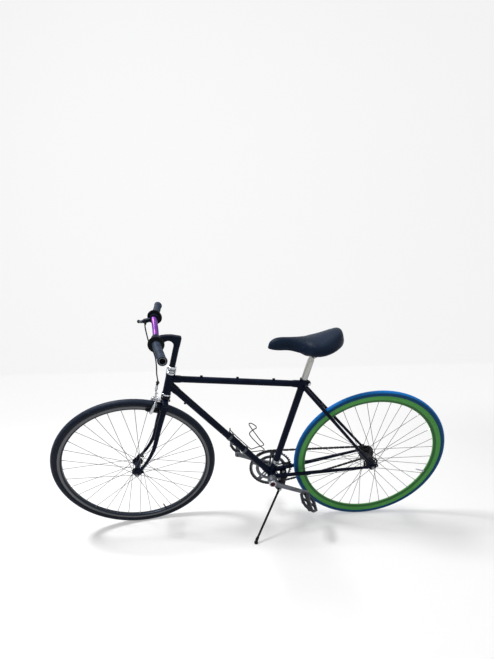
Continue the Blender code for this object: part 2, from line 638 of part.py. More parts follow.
def frame_tubes():
    """The head, top, down and seat tubes with the sockets that they are brazed into."""
    head_low, head_high = HEAD_TUBE_BOTTOM, HEAD_TUBE_BOTTOM + HEAD_TUBE_LENGTH
    socket_end = HEAD_TUBE_RADIUS + SOCKET_LENGTH
    head = cylinder("head_tube", along(STEER_FOOT, STEER_DIRECTION, head_low),
                    along(STEER_FOOT, STEER_DIRECTION, head_high), HEAD_TUBE_RADIUS, BLACK_PAINT, bike, 20)
    for name, start, direction, radius in (
        ("top_socket", TOP_TUBE_START, TOP_TUBE_DIRECTION, TOP_TUBE_RADIUS),
        ("down_socket", DOWN_TUBE_START, DOWN_TUBE_DIRECTION, DOWN_TUBE_RADIUS),
    ):
        socket = cylinder(name, start, along(start, direction, socket_end), radius + SOCKET_WALL, None, bike, 16)
        joined(head, socket)
    for name, start, direction, radius in (
        ("top_seat", TOP_TUBE_START, TOP_TUBE_DIRECTION, TOP_TUBE_RADIUS),
        ("down_seat", DOWN_TUBE_START, DOWN_TUBE_DIRECTION, DOWN_TUBE_RADIUS),
    ):
        seat = cylinder(name, along(start, direction, head_reach(direction, radius)),
                        along(start, direction, 2 * socket_end), radius + CLEARANCE, None, bike, 16)
        cut(head, seat)
    bore = cylinder("head_bore", along(STEER_FOOT, STEER_DIRECTION, head_low - 0.01),
                    along(STEER_FOOT, STEER_DIRECTION, head_high + 0.01), HEAD_TUBE_BORE, None, bike, 20)
    cut(head, bore)

    seat_mitre = cylinder("seat_mitre", BRACKET, along(BRACKET, SEAT_DIRECTION, 2 * SEAT_CLUSTER),
                          SEAT_TUBE_RADIUS + CLEARANCE * 2, None, bike, 16, cutter=True)

    top_start = along(TOP_TUBE_START, TOP_TUBE_DIRECTION, head_reach(TOP_TUBE_DIRECTION, TOP_TUBE_RADIUS) + CLEARANCE)
    top = tube("top_tube", top_start, TOP_TUBE_END, TOP_TUBE_RADIUS, TUBE_WALL, BLACK_PAINT, bike)
    for number, place in enumerate(GUIDE_PLACES):
        centre = along(TOP_TUBE_START, TOP_TUBE_DIRECTION, place)
        centre.z += TOP_TUBE_RADIUS + GUIDE_RADIUS * 0.6
        reach = TOP_TUBE_DIRECTION * GUIDE_LENGTH / 2
        guide = cylinder("cable_guide_%d" % number, centre - reach, centre + reach, GUIDE_RADIUS, None, bike, 8)
        joined(top, guide)
    cut(top, seat_mitre)
    down_start = along(DOWN_TUBE_START, DOWN_TUBE_DIRECTION,
                       head_reach(DOWN_TUBE_DIRECTION, DOWN_TUBE_RADIUS) + CLEARANCE)
    down_end = along(BRACKET, DOWN_TUBE_DIRECTION, -TUBE_FOOT)
    down = tube("down_tube", down_start, down_end, DOWN_TUBE_RADIUS, TUBE_WALL, BLACK_PAINT, bike)
    boss_at = along(DOWN_TUBE_START, DOWN_TUBE_DIRECTION, STOP_BOSS_PLACE)
    boss_side = Vector((DOWN_TUBE_DIRECTION.z, 0, -DOWN_TUBE_DIRECTION.x))
    boss = cylinder("stop_boss", boss_at, along(boss_at, boss_side, DOWN_TUBE_RADIUS + 0.007), 0.0045, None, bike, 8)
    joined(down, boss)
    seat_low, seat_high = (along(BRACKET, SEAT_DIRECTION, height) for height in (TUBE_FOOT, SEAT_TUBE_TOP))
    seat = tube("seat_tube", seat_low, seat_high, SEAT_TUBE_RADIUS,
                SEAT_TUBE_RADIUS - SEATPOST_RADIUS - CLEARANCE, BLACK_PAINT, bike)
    tube_clamp(seat)


def tube_clamp(tube_piece):
    """A narrow clamp low on the seat tube, with its bolt on the left."""
    centre = along(BRACKET, SEAT_DIRECTION, SEAT_CLAMP_PLACE)
    reach = SEAT_DIRECTION * 0.007
    joined(tube_piece, cylinder("seat_tube_clamp", centre - reach, centre + reach, SEAT_TUBE_RADIUS + 0.0018, None,
                                bike, 16))
    ear = box("clamp_ear", (0.012, 0.012, 0.026), centre + Vector((0.001, -SEAT_TUBE_RADIUS - 0.003, 0)), None, bike,
              (0, pi / 2 - SEAT_ANGLE, 0))
    joined(tube_piece, ear)
    cut(tube_piece, cylinder("clamp_bore", BRACKET, along(BRACKET, SEAT_DIRECTION, SEAT_TUBE_TOP + 0.01),
                             SEATPOST_RADIUS + CLEARANCE * 1.5, None, bike, 16))


def seat_cluster():
    """The lug round the seat tube's top, its socket for the top tube, and its two ears with their bolt."""
    low, high = SEAT_CLUSTER - 0.018, SEAT_TUBE_TOP + 0.0002
    outer = SEAT_TUBE_RADIUS + CLEARANCE + SOCKET_WALL
    lug = cylinder("seat_lug", along(BRACKET, SEAT_DIRECTION, low), along(BRACKET, SEAT_DIRECTION, high), outer,
                   BLACK_PAINT, bike, 16)
    socket_start = along(TOP_TUBE_END, TOP_TUBE_DIRECTION, -SOCKET_LENGTH)
    socket = cylinder("seat_socket", socket_start, TOP_TUBE_END, TOP_TUBE_RADIUS + CLEARANCE + SOCKET_WALL, None,
                      bike, 16)
    ear_place = along(BRACKET, SEAT_DIRECTION, high - 0.012)
    ears = box("seat_ears", (0.020, 0.016, 0.018), (0, 0, 0), None, bike)
    back = Vector((sin(SEAT_ANGLE), 0, -cos(SEAT_ANGLE)))
    ears.location = along(ear_place, back, outer + 0.004)
    ears.rotation_euler = (0, pi / 2 - SEAT_ANGLE, 0)
    joined(lug, socket, ears)
    slot = box("seat_slot", (0.034, 0.002, 0.040), along(ear_place, back, outer + 0.004), None, bike,
               (0, pi / 2 - SEAT_ANGLE, 0))
    tube_bore = cylinder("lug_bore", BRACKET, along(BRACKET, SEAT_DIRECTION, 2 * SEAT_CLUSTER),
                         SEAT_TUBE_RADIUS + CLEARANCE, None, bike, 16)
    top_bore = cylinder("lug_top_bore", along(TOP_TUBE_END, TOP_TUBE_DIRECTION, -2 * SOCKET_LENGTH), TOP_TUBE_END,
                        TOP_TUBE_RADIUS + CLEARANCE, None, bike, 16)
    bolt_centre = along(ear_place, back, outer + 0.0065)
    bolt_reach = Vector((0, 0.014, 0))
    bolt_hole = cylinder("binder_hole", bolt_centre - bolt_reach, bolt_centre + bolt_reach, 0.0033, None, bike, 10)
    cut(lug, tube_bore, top_bore, slot, bolt_hole)
    bolt = cylinder("seat_binder_bolt", bolt_centre - bolt_reach, bolt_centre + bolt_reach, 0.003, CHROME, bike, 10)
    for side in (-1, 1):
        head = cylinder("binder_head", bolt_centre + Vector((0, side * 0.0083, 0)),
                        bolt_centre + Vector((0, side * 0.0125, 0)), 0.0055, None, bike, 6)
        joined(bolt, head)


def bottom_bracket():
    """The shell that the lower tubes are brazed into, and its two cups."""
    half = BRACKET_SHELL_WIDTH / 2
    side = Vector((0, half, 0))
    shell = cylinder("bottom_bracket_shell", BRACKET - side, BRACKET + side, BRACKET_SHELL_RADIUS, BLACK_PAINT, bike,
                     24)
    reach = BRACKET_LUG_LENGTH
    for name, direction, radius in (
        ("down_lug", -DOWN_TUBE_DIRECTION, DOWN_TUBE_RADIUS),
        ("seat_low_lug", SEAT_DIRECTION, SEAT_TUBE_RADIUS),
    ):
        joined(shell, cylinder(name, BRACKET, along(BRACKET, direction, reach), radius + SOCKET_WALL, None, bike, 16))
    for name, direction, radius in (
        ("down_lug_bore", -DOWN_TUBE_DIRECTION, DOWN_TUBE_RADIUS),
        ("seat_low_lug_bore", SEAT_DIRECTION, SEAT_TUBE_RADIUS),
    ):
        cut(shell, cylinder(name, along(BRACKET, direction, TUBE_FOOT - CLEARANCE), along(BRACKET, direction, 3 * reach),
                            radius + CLEARANCE, None, bike, 16))
    for side_sign in (-1, 1):
        front, rear = stay_ends(side_sign)
        direction = (rear - front).normalized()
        inside = along(front, direction, -0.012)
        end = along(front, direction, BRACKET_SHELL_RADIUS + 0.014)
        joined(shell, cylinder("stay_lug", inside, end, CHAIN_STAY_FRONT_RADIUS + SOCKET_WALL, None, bike, 12))
    for side_sign in (-1, 1):
        front, rear = stay_ends(side_sign)
        cut(shell, cylinder("stay_lug_bore", along(front, (rear - front).normalized(), BRACKET_SHELL_RADIUS - 0.001),
                            rear, CHAIN_STAY_FRONT_RADIUS + CLEARANCE, None, bike, 12))
    cut(shell, cylinder("shell_bore", BRACKET - 2 * side, BRACKET + 2 * side, BRACKET_SHELL_BORE, None, bike, 24))
    cup_outer = BRACKET_SHELL_BORE * cos(pi / 16) - CLEARANCE
    for name, sign in (("left_bottom_bracket_cup", -1), ("right_bottom_bracket_cup", 1)):
        flange = sign * (half + CLEARANCE)
        lip = sign * (half + 0.003)
        inner = sign * (half - 0.016)
        low, high = sorted((inner, lip))
        profile = [(SPINDLE_RADIUS + 0.0006, high), (cup_outer, high), (cup_outer, low),
                   (SPINDLE_RADIUS + 0.0006, low)]
        if sign > 0:
            profile = [(SPINDLE_RADIUS + 0.0006, high), (0.019, high), (0.019, flange), (cup_outer, flange),
                       (cup_outer, low), (SPINDLE_RADIUS + 0.0006, low)]
        else:
            profile = [(SPINDLE_RADIUS + 0.0006, high), (cup_outer, high), (cup_outer, flange), (0.019, flange),
                       (0.019, low), (SPINDLE_RADIUS + 0.0006, low)]
        turned(name, profile, CHROME, bike, BRACKET, SIDEWAYS, 16, ring=True)


def stay_ends(side):
    """Where a chain stay's centre line leaves the shell and meets its dropout."""
    dropout = REAR_DROPOUT_INNER + DROPOUT_THICKNESS / 2
    front = BRACKET + Vector((0, side * CHAIN_STAY_FRONT_HALF_GAP, 0))
    rear = REAR_AXLE + Vector((-DROPOUT_REACH, side * dropout, -0.004))
    return front, rear


def rear_stays():
    """Chain stays with their dropouts, seat stays, and the bridge between them over the tyre."""
    dropout_plane = REAR_DROPOUT_INNER + DROPOUT_THICKNESS / 2
    for side, word in ((-1, "left"), (1, "right")):
        front, rear = stay_ends(side)
        direction = (rear - front).normalized()
        start = along(front, direction, BRACKET_SHELL_RADIUS)
        stay = tube(word + "_chain_stay", start, rear, CHAIN_STAY_FRONT_RADIUS, TUBE_WALL, BLACK_PAINT, bike,
                    CHAIN_STAY_REAR_RADIUS, 12)
        nose, slot = 0.017, REAR_AXLE_RADIUS + CLEARANCE
        outline = arc((0, 0), nose, radians(-150), radians(60), 7)
        outline += [(-0.004, 0.028), (-0.014, 0.026), (-DROPOUT_REACH - 0.004, 0.003), (-DROPOUT_REACH - 0.004, -0.011)]
        eyelet = circle((0.019, 0.004), 0.0065, 10)
        drop = as_mesh(plate(word + "_dropout", [outline], DROPOUT_THICKNESS, None, bike,
                             REAR_AXLE + Vector((0, side * dropout_plane, 0)), UPRIGHT))
        ear = as_mesh(plate(word + "_eyelet", [eyelet], DROPOUT_THICKNESS, None, bike,
                            REAR_AXLE + Vector((0, side * dropout_plane, 0)), UPRIGHT))
        joined(stay, drop, ear)
        hole = cylinder(word + "_axle_hole", REAR_AXLE - Vector((0, 0.1, 0)), REAR_AXLE + Vector((0, 0.1, 0)),
                        slot / cos(pi / 12), None, bike, 12)
        eye = REAR_AXLE + Vector((0.019, 0, 0.004))
        small = cylinder(word + "_eyelet_hole", eye - Vector((0, 0.1, 0)), eye + Vector((0, 0.1, 0)), 0.0026, None,
                         bike, 8)
        cut(stay, hole, small)
        top, low = seat_stay_ends(side)
        fork_end = tube(word + "_seat_stay", low, top, SEAT_STAY_LOW_RADIUS, TUBE_WALL, BLACK_PAINT, bike,
                        SEAT_STAY_TOP_RADIUS, 12)
        lug_clear = cylinder(word + "_lug_clear", along(BRACKET, SEAT_DIRECTION, SEAT_CLUSTER - 0.1),
                             along(BRACKET, SEAT_DIRECTION, SEAT_CLUSTER + 0.1),
                             SEAT_TUBE_RADIUS + SOCKET_WALL + 3 * CLEARANCE, None, bike, 16)
        drop_clear = as_mesh(plate(word + "_dropout_clear", [outline], DROPOUT_THICKNESS + 2 * CLEARANCE, None, bike,
                                   REAR_AXLE + Vector((0, side * dropout_plane, 0)), UPRIGHT))
        cut(fork_end, lug_clear, drop_clear)
    top, low = seat_stay_ends(1)
    over = (top - REAR_AXLE).length
    wanted = REAR_WHEEL_RADIUS + BRIDGE_OVER_TYRE
    share = min(range(101), key=lambda n: abs((low.lerp(top, n / 100) - REAR_AXLE).xz.length - wanted)) / 100
    centre = low.lerp(top, share)
    half = centre.y - SEAT_STAY_LOW_RADIUS - (SEAT_STAY_TOP_RADIUS - SEAT_STAY_LOW_RADIUS) * share - CLEARANCE * 2
    cylinder("brake_bridge", (centre.x, -half, centre.z), (centre.x, half, centre.z), BRIDGE_RADIUS, BLACK_PAINT, bike,
             10)


def seat_stay_ends(side):
    """A seat stay's top beside the seat lug and its foot on the dropout."""
    back = Vector((sin(SEAT_ANGLE), 0, -cos(SEAT_ANGLE)))
    top = along(along(BRACKET, SEAT_DIRECTION, SEAT_STAY_TOP), back, SEAT_STAY_TOP_BACK)
    top.y = side * SEAT_STAY_TOP_HALF_GAP
    low = REAR_AXLE + Vector((-0.012, side * (REAR_DROPOUT_INNER + DROPOUT_THICKNESS / 2), 0.020))
    return top, low


def headset():
    """The two cups in the head tube, and the race and locknut that turn with the fork."""
    top = HEAD_TUBE_BOTTOM + HEAD_TUBE_LENGTH
    bore, spigot = STEERER_RADIUS + CLEARANCE, HEAD_TUBE_BORE * cos(pi / 16) - CLEARANCE / 2
    low_top = HEAD_TUBE_BOTTOM - CLEARANCE
    low_end = low_top - HEADSET_LOWER_CUP_HEIGHT
    turned("lower_headset_cup", [
        (bore, low_top + 0.014), (spigot, low_top + 0.014), (spigot, low_top), (0.0175, low_top),
        (HEADSET_CUP_RADIUS, low_top - 0.0025), (HEADSET_CUP_RADIUS, low_top - 0.006), (0.016, low_end),
        (bore, low_end)], CHROME, head_axis, sides=16, ring=True)
    low, high = top + CLEARANCE, top + CLEARANCE + HEADSET_CUP_HEIGHT
    turned("upper_headset_cup", [
        (bore, high), (0.0165, high), (HEADSET_CUP_RADIUS, high - 0.003), (HEADSET_CUP_RADIUS, low + 0.0025),
        (0.0175, low), (spigot, low), (spigot, low - 0.014), (bore, low - 0.014)], CHROME, head_axis, sides=16,
        ring=True)
    low = high + CLEARANCE
    high = low + HEADSET_RACE_HEIGHT - 2 * CLEARANCE
    turned("headset_adjusting_race", [
        (bore, high), (0.0155, high), (0.0180, low + 0.003), (0.0180, low), (bore, low)], CHROME, steering, sides=16,
        ring=True)
    low = high + CLEARANCE
    turned("headset_locknut", [
        (QUILL_RADIUS + CLEARANCE, HEADSET_TOP), (0.0150, HEADSET_TOP), (0.0170, HEADSET_TOP - 0.002), (0.0170, low),
        (bore, low), (bore, HEADSET_TOP - 0.0018), (QUILL_RADIUS + CLEARANCE, HEADSET_TOP - 0.0018)], CHROME, steering,
        sides=16, ring=True)


def blade_points(side):
    """A fork blade's centre line, from inside the crown to just above its dropout."""
    heights = (0.352, 0.317, 0.239, 0.155, 0.120, 0.091, 0.060, 0.0335, 0.017)
    ahead = (0.0, 0.0004, 0.005, 0.007, 0.012, 0.019, 0.0295, 0.0415, 0.0490)
    spread = FRONT_DROPOUT_INNER + DROPOUT_THICKNESS / 2 - BLADE_TOP_HALF_GAP
    return [(-x, side * (BLADE_TOP_HALF_GAP + spread * (heights[0] - z) / heights[0]), z)
            for x, z in zip(ahead, heights)]


def fork():
    """Steerer, crown, two raked blades and their dropouts, brazed into one."""
    body = cylinder("fork", (0, 0, CROWN_BOTTOM + 0.004), (0, 0, HEADSET_TOP - 0.0022), STEERER_RADIUS, BLACK_PAINT,
                    steering, 20)
    crown_race = cylinder("crown_race", (0, 0, CROWN_TOP - 0.001), (0, 0, HEAD_TUBE_BOTTOM - 0.0093), 0.0168, None,
                          steering, 20)
    half = BLADE_TOP_HALF_GAP
    width = CROWN_DEPTH / 2
    outline = arc((0, half), 0.0125, 0, pi, 5) + arc((0, -half), 0.0125, pi, 2 * pi, 5)
    crown = as_mesh(plate("crown", [outline], CROWN_TOP - CROWN_BOTTOM, None, steering,
                          (0, 0, (CROWN_TOP + CROWN_BOTTOM) / 2)))
    middle = cylinder("crown_middle", (0, 0, CROWN_BOTTOM + 0.002), (0, 0, CROWN_TOP), width + 0.002, None, steering, 16)
    joined(body, crown_race, crown, middle)
    for side in (-1, 1):
        points = blade_points(side)
        radii = np.interp([p[2] for p in points], (0.017, 0.20, 0.352),
                          (BLADE_LOW_RADIUS, BLADE_TOP_RADIUS - 0.0012, BLADE_TOP_RADIUS))
        blade = as_mesh(rod("blade", points, BLADE_TOP_RADIUS, None, steering, 1, list(radii)))
        tip = points[-1]
        neck = 0.0065
        outline = arc((0, 0), 0.0095, radians(-215), radians(35), 8)
        outline += [(tip[0] + FORK_RAKE + neck, tip[2] + 0.008), (tip[0] + FORK_RAKE - neck, tip[2] + 0.008)]
        dropout = as_mesh(plate("dropout", [outline], DROPOUT_THICKNESS, None, steering,
                                (-FORK_RAKE, side * (FRONT_DROPOUT_INNER + DROPOUT_THICKNESS / 2), 0), UPRIGHT))
        joined(body, blade, dropout)
    slot = (FRONT_AXLE_RADIUS + CLEARANCE) / cos(pi / 12)
    axle_hole = cylinder("front_axle_hole", (-FORK_RAKE, -0.1, 0), (-FORK_RAKE, 0.1, 0), slot, None, steering, 12)
    brake_hole = cylinder("brake_hole", (-0.05, 0, BRAKE_PIVOT_HEIGHT), (0.05, 0, BRAKE_PIVOT_HEIGHT),
                          BRAKE_PIVOT_RADIUS + CLEARANCE, None, steering, 10)
    steerer_bore = cylinder("steerer_bore", (0, 0, CROWN_BOTTOM + 0.02), (0, 0, HEADSET_TOP + 0.02),
                            STEERER_BORE / cos(pi / 20), None, steering, 20)
    cut(body, axle_hole, brake_hole, steerer_bore)


def front_brake():
    """A side-pull caliper: a bolt through the crown, two arms on it and their pads beside the rim."""
    width = CROWN_DEPTH / 2 + 0.002
    bolt = cylinder("brake_centre_bolt", (0.019, 0, BRAKE_PIVOT_HEIGHT), (-0.0525, 0, BRAKE_PIVOT_HEIGHT),
                    BRAKE_PIVOT_RADIUS, BLACK_METAL, steering, 10)
    for start, end, radius in ((width + CLEARANCE, 0.0195, 0.0055), (-width - CLEARANCE, -0.0328, 0.0065),
                               (-0.0415, -0.0475, 0.0065)):
        joined(bolt, cylinder("bolt_collar", (start, 0, BRAKE_PIVOT_HEIGHT), (end, 0, BRAKE_PIVOT_HEIGHT), radius,
                              None, steering, 10))
    lower = [(0.009, -0.006), (0.021, -0.012), (0.0262, -0.026), (0.0245, -0.040), (0.0245, -0.053),
             (0.034, -0.053), (0.037, -0.040), (0.040, -0.026), (0.034, -0.006)]
    right = [(0, -0.0085)] + lower + [(0.026, 0.006), (0.028, 0.022), (0.027, 0.036), (0.013, 0.036), (0.013, 0.024),
                                      (0.004, 0.0088), (-0.006, 0.0066), (-0.009, 0), (-0.006, -0.0066)]
    left = [(-y, z) for y, z in lower[::-1]] + [(0, -0.0085), (0.008, -0.0066), (0.020, 0.0064), (0.027, 0.012),
                                                 (0.024, 0.021), (0.014, 0.019), (0.004, 0.010), (-0.010, 0.008),
                                                 (-0.024, 0.004)]
    hole = circle((0, 0), BRAKE_PIVOT_RADIUS + CLEARANCE, 10)
    layer = (BRAKE_ARM_THICKNESS - CLEARANCE) / 2
    for word, outline, side, offset in (("left", left, -1, layer / 2 + CLEARANCE / 2),
                                        ("right", right, 1, -layer / 2 - CLEARANCE / 2)):
        axis = empty(word + "_brake_axis", steering, (-BRAKE_ARM_PLANE + offset, 0, BRAKE_PIVOT_HEIGHT))
        arm = as_mesh(plate(word + "_brake_arm", [outline, hole], layer, CHROME, axis, (0, 0, 0), FACING))
        if side > 0:
            top = 0.0555
            barrel = cylinder("adjuster", (0, 0.020, 0.034), (0, 0.020, top), 0.004, None, axis, 8)
            well = cylinder("adjuster_well", (0, 0.020, top - 0.006), (0, 0.020, top + 0.01), 0.0031, None, axis, 8)
            joined(arm, barrel)
            cut(arm, well)
        else:
            joined(arm, cylinder("anchor", (-0.001, 0.020, 0.0145), (0.0075, 0.020, 0.0145), 0.0037, None, axis, 8))
        stud = cylinder("stud", (0, side * 0.02225, -0.0465), (0, side * 0.0392, -0.0465), 0.0042, None, axis, 8)
        joined(arm, stud)
        inner = FRONT_RIM_WIDTH / 2 + PAD_CLEARANCE
        pad_top = -0.0415
        block = box(word + "_brake_pad", (PAD_LENGTH, PAD_THICKNESS, PAD_HEIGHT),
                    (-offset, side * (inner + PAD_THICKNESS / 2), pad_top - PAD_HEIGHT / 2), PAD_RUBBER, axis)
        bevel = block.modifiers.new("rounding", "BEVEL")
        bevel.width = 0.0015
        bevel.segments = 1


def stem():
    """A forged stem: quill, column, the arm that drops forward, and the clamp round the bar."""
    body = cylinder("stem", (0, 0, QUILL_BOTTOM), (0, 0, STEM_TOP - 0.010), QUILL_RADIUS, BLACK_METAL, steering, 16)
    centre = (-BAR_CLAMP_AHEAD, BAR_CLAMP_HEIGHT)
    throat = (-QUILL_RADIUS + 0.001 - STEM_THROAT_RADIUS, STEM_THROAT_TOP - STEM_THROAT_RADIUS)
    outline = [(0.0103, throat[1]), (0.0108, STEM_TOP - 0.010), (0.0090, STEM_TOP - 0.003), (0.0047, STEM_TOP),
               (-0.024, STEM_TOP - 0.004), (-0.0428, STEM_TOP - 0.0105), (-0.062, BAR_CLAMP_HEIGHT + 0.0165), centre,
               (-0.058, BAR_CLAMP_HEIGHT - 0.0055)]
    outline += arc(throat, STEM_THROAT_RADIUS, radians(115), 0, 6)
    arm = as_mesh(plate("stem_arm", [outline], STEM_WIDTH, None, steering, (0, 0, 0), UPRIGHT))
    clamp = cylinder("bar_clamp", (centre[0], -BAR_CLAMP_WIDTH / 2, centre[1]),
                     (centre[0], BAR_CLAMP_WIDTH / 2, centre[1]), BAR_CLAMP_RADIUS, None, steering, 20)
    joined(body, arm, clamp)
    cut(body, cylinder("bar_bore", (centre[0], -0.05, centre[1]), (centre[0], 0.05, centre[1]),
                       (BAR_RADIUS + CLEARANCE) / cos(pi / 20), None, steering, 20))


def bar_points():
    """The handlebar's centre line from its left end to its right end."""
    ahead_slope = (BAR_GRIP_AHEAD - BAR_END_AHEAD) / (BAR_HALF_WIDTH - 0.1324)
    rise_slope = (BAR_END_HEIGHT - BAR_GRIP_HEIGHT) / (BAR_HALF_WIDTH - 0.1324)
    straight = BAR_HALF_WIDTH - 0.150
    start = (BAR_HALF_WIDTH - straight, BAR_END_AHEAD + straight * ahead_slope, BAR_END_HEIGHT - straight * rise_slope)
    half = [(BAR_BEND_START, BAR_CLAMP_AHEAD, BAR_CLAMP_HEIGHT), (0.045, 0.0738, 0.5915), (0.060, 0.0755, 0.5990),
            (0.078, 0.0790, 0.6110), (0.092, 0.0820, 0.6195), (0.103, 0.0838, 0.6247), (0.1115, 0.0846, 0.6270), start,
            (BAR_HALF_WIDTH, BAR_END_AHEAD, BAR_END_HEIGHT)]
    right = [Vector((-ahead, y, z)) for y, ahead, z in half]
    left = [Vector((p.x, -p.y, p.z)) for p in right[::-1]]
    return left + right


def handlebar():
    """The bent bar with its rubber grips, and the brake lever's bracket beside the right one."""
    points = bar_points()
    rod("handlebar", points, BAR_RADIUS, PURPLE_METAL, bar_frame, 2)
    for word, end, inner in (("left", points[0], points[1]), ("right", points[-1], points[-2])):
        direction = (end - inner).normalized()
        slack = (end.y - inner.y) / direction.y
        start = along(end, direction, -(BAR_HALF_WIDTH - GRIP_INNER_END) * abs(slack / (end.y - inner.y)))
        length = (end - start).length + 0.001
        bore = (BAR_RADIUS + CLEARANCE) / cos(pi / 16)
        profile = [(bore, length), (GRIP_END_RADIUS, length), (GRIP_END_RADIUS, length - 0.006),
                   (GRIP_RADIUS, length - 0.009), (GRIP_RADIUS, GRIP_FLANGE_THICKNESS + 0.002),
                   (GRIP_FLANGE_RADIUS - 0.001, GRIP_FLANGE_THICKNESS), (GRIP_FLANGE_RADIUS, 0.002),
                   (GRIP_FLANGE_RADIUS - 0.001, 0), (bore, 0)]
        turned(word + "_grip", profile, GRIP_RUBBER, bar_frame, start, direction.to_track_quat("Z", "Y").to_euler(), 16,
               ring=True)


def lever_places():
    """The bracket's clamp, the lever's pivot and its ball end, and the pivot's direction."""
    points = bar_points()
    direction = (points[-1] - points[-2]).normalized()
    clamp = along(points[-1], direction, -(BAR_HALF_WIDTH - LEVER_PLACE) / direction.y)
    pivot = clamp + Vector((-LEVER_PIVOT_AHEAD, 0.004, -LEVER_PIVOT_DROP))
    ball = Vector((-0.1335, 0.200, 0.573))
    pull = Vector((1, 0, 1)).normalized()
    return clamp, direction, pivot, ball, (ball - pivot).cross(pull).normalized()


def brake_lever():
    clamp, direction, pivot, ball, hinge = lever_places()
    half = direction * 0.0045
    bracket = cylinder("brake_lever_bracket", clamp - half, clamp + half, BAR_RADIUS + 0.0045, BLACK_METAL, bar_frame, 16)
    reach = (pivot - clamp)
    body = cylinder("bracket_body", along(clamp, reach, 0.35), along(clamp, reach, 1.32), 0.0078, None, bar_frame, 10)
    joined(bracket, body)
    bore = cylinder("bracket_bore", clamp - 4 * half, clamp + 4 * half, (BAR_RADIUS + CLEARANCE) / cos(pi / 16), None,
                    bar_frame, 16)
    along_lever = (ball - pivot).normalized()
    room = 0.0027
    slot = box("lever_slot", (0.034, 2 * room, 0.030), along(pivot, along_lever, 0.0045), None, bar_frame)
    frame = Matrix((along_lever, hinge, along_lever.cross(hinge))).transposed()
    slot.rotation_euler = frame.to_euler()
    cut(bracket, bore, slot)
    lever_axis = empty("brake_lever_axis", bar_frame, pivot, frame.to_euler())
    reach = (ball - pivot).length
    points = [(0, 0, 0), (0.30 * reach, 0, 0.004), (0.62 * reach, 0, 0.001), (0.97 * reach, 0, -0.001), (reach, 0, 0)]
    outline = [(x, z + 0.0058) for x, _, z in points[:-1]] + [(x, z - 0.0058) for x, _, z in points[-2::-1]]
    outline[0:1] = [(-0.004, 0.0045)]
    outline[-1:] = [(-0.004, -0.0045)]
    blade = as_mesh(plate("brake_lever", [outline], 2 * (room - CLEARANCE), BLACK_METAL, lever_axis, (0, 0, 0),
                          UPRIGHT))
    bpy.ops.mesh.primitive_uv_sphere_add(segments=12, ring_count=8, radius=0.0068)
    knob = adopt(bpy.context.object, "lever_ball", None, lever_axis)
    knob.location = (reach, 0, 0)
    joined(blade, knob)


def flowing(points, steps):
    """A smooth line through the points, for a cable or a bent wire."""
    points = [Vector(p) for p in points]
    padded = [2 * points[0] - points[1], *points, 2 * points[-1] - points[-2]]
    line = []
    for a, b, c, d in zip(padded, padded[1:], padded[2:], padded[3:]):
        for k in range(steps):
            t = k / steps
            line.append(0.5 * (2 * b + (c - a) * t + (2 * a - 5 * b + 4 * c - d) * t * t
                               + (3 * b - 3 * c + d - a) * t * t * t))
    return [*line, points[-1]]


def brake_cable():
    """The sleeve from the lever's bracket, round in front of the head tube, to the caliper's adjuster."""
    clamp, _, pivot, _, _ = lever_places()
    start = along(clamp, pivot - clamp, 0.98) + Vector((0, -0.0088, -0.0035))
    end = Vector((-BRAKE_ARM_PLANE - BRAKE_ARM_THICKNESS / 4, 0.020, BRAKE_PIVOT_HEIGHT + 0.0500))
    path = [start, start + Vector((0.001, -0.011, -0.012)), (-0.101, 0.080, 0.568), (-0.0925, 0.066, 0.553),
            (-0.066, 0.034, 0.518), (-0.0550, 0.022, 0.486), (-0.0475, 0.020, 0.450), end + Vector((0, 0, 0.016)), end]
    rod("brake_cable", flowing(path, 3), CABLE_RADIUS, CABLE_SLEEVE, bar_frame, 1)


def toothed(teeth, root, tip):
    """A sprocket's outline, which rises to a point at each tooth."""
    outline = []
    step = 2 * pi / teeth
    for k in range(teeth):
        for share, radius in ((0.25, root), (0.75, tip)):
            angle = (k + share) * step
            outline.append((radius * cos(angle), radius * sin(angle)))
    return outline


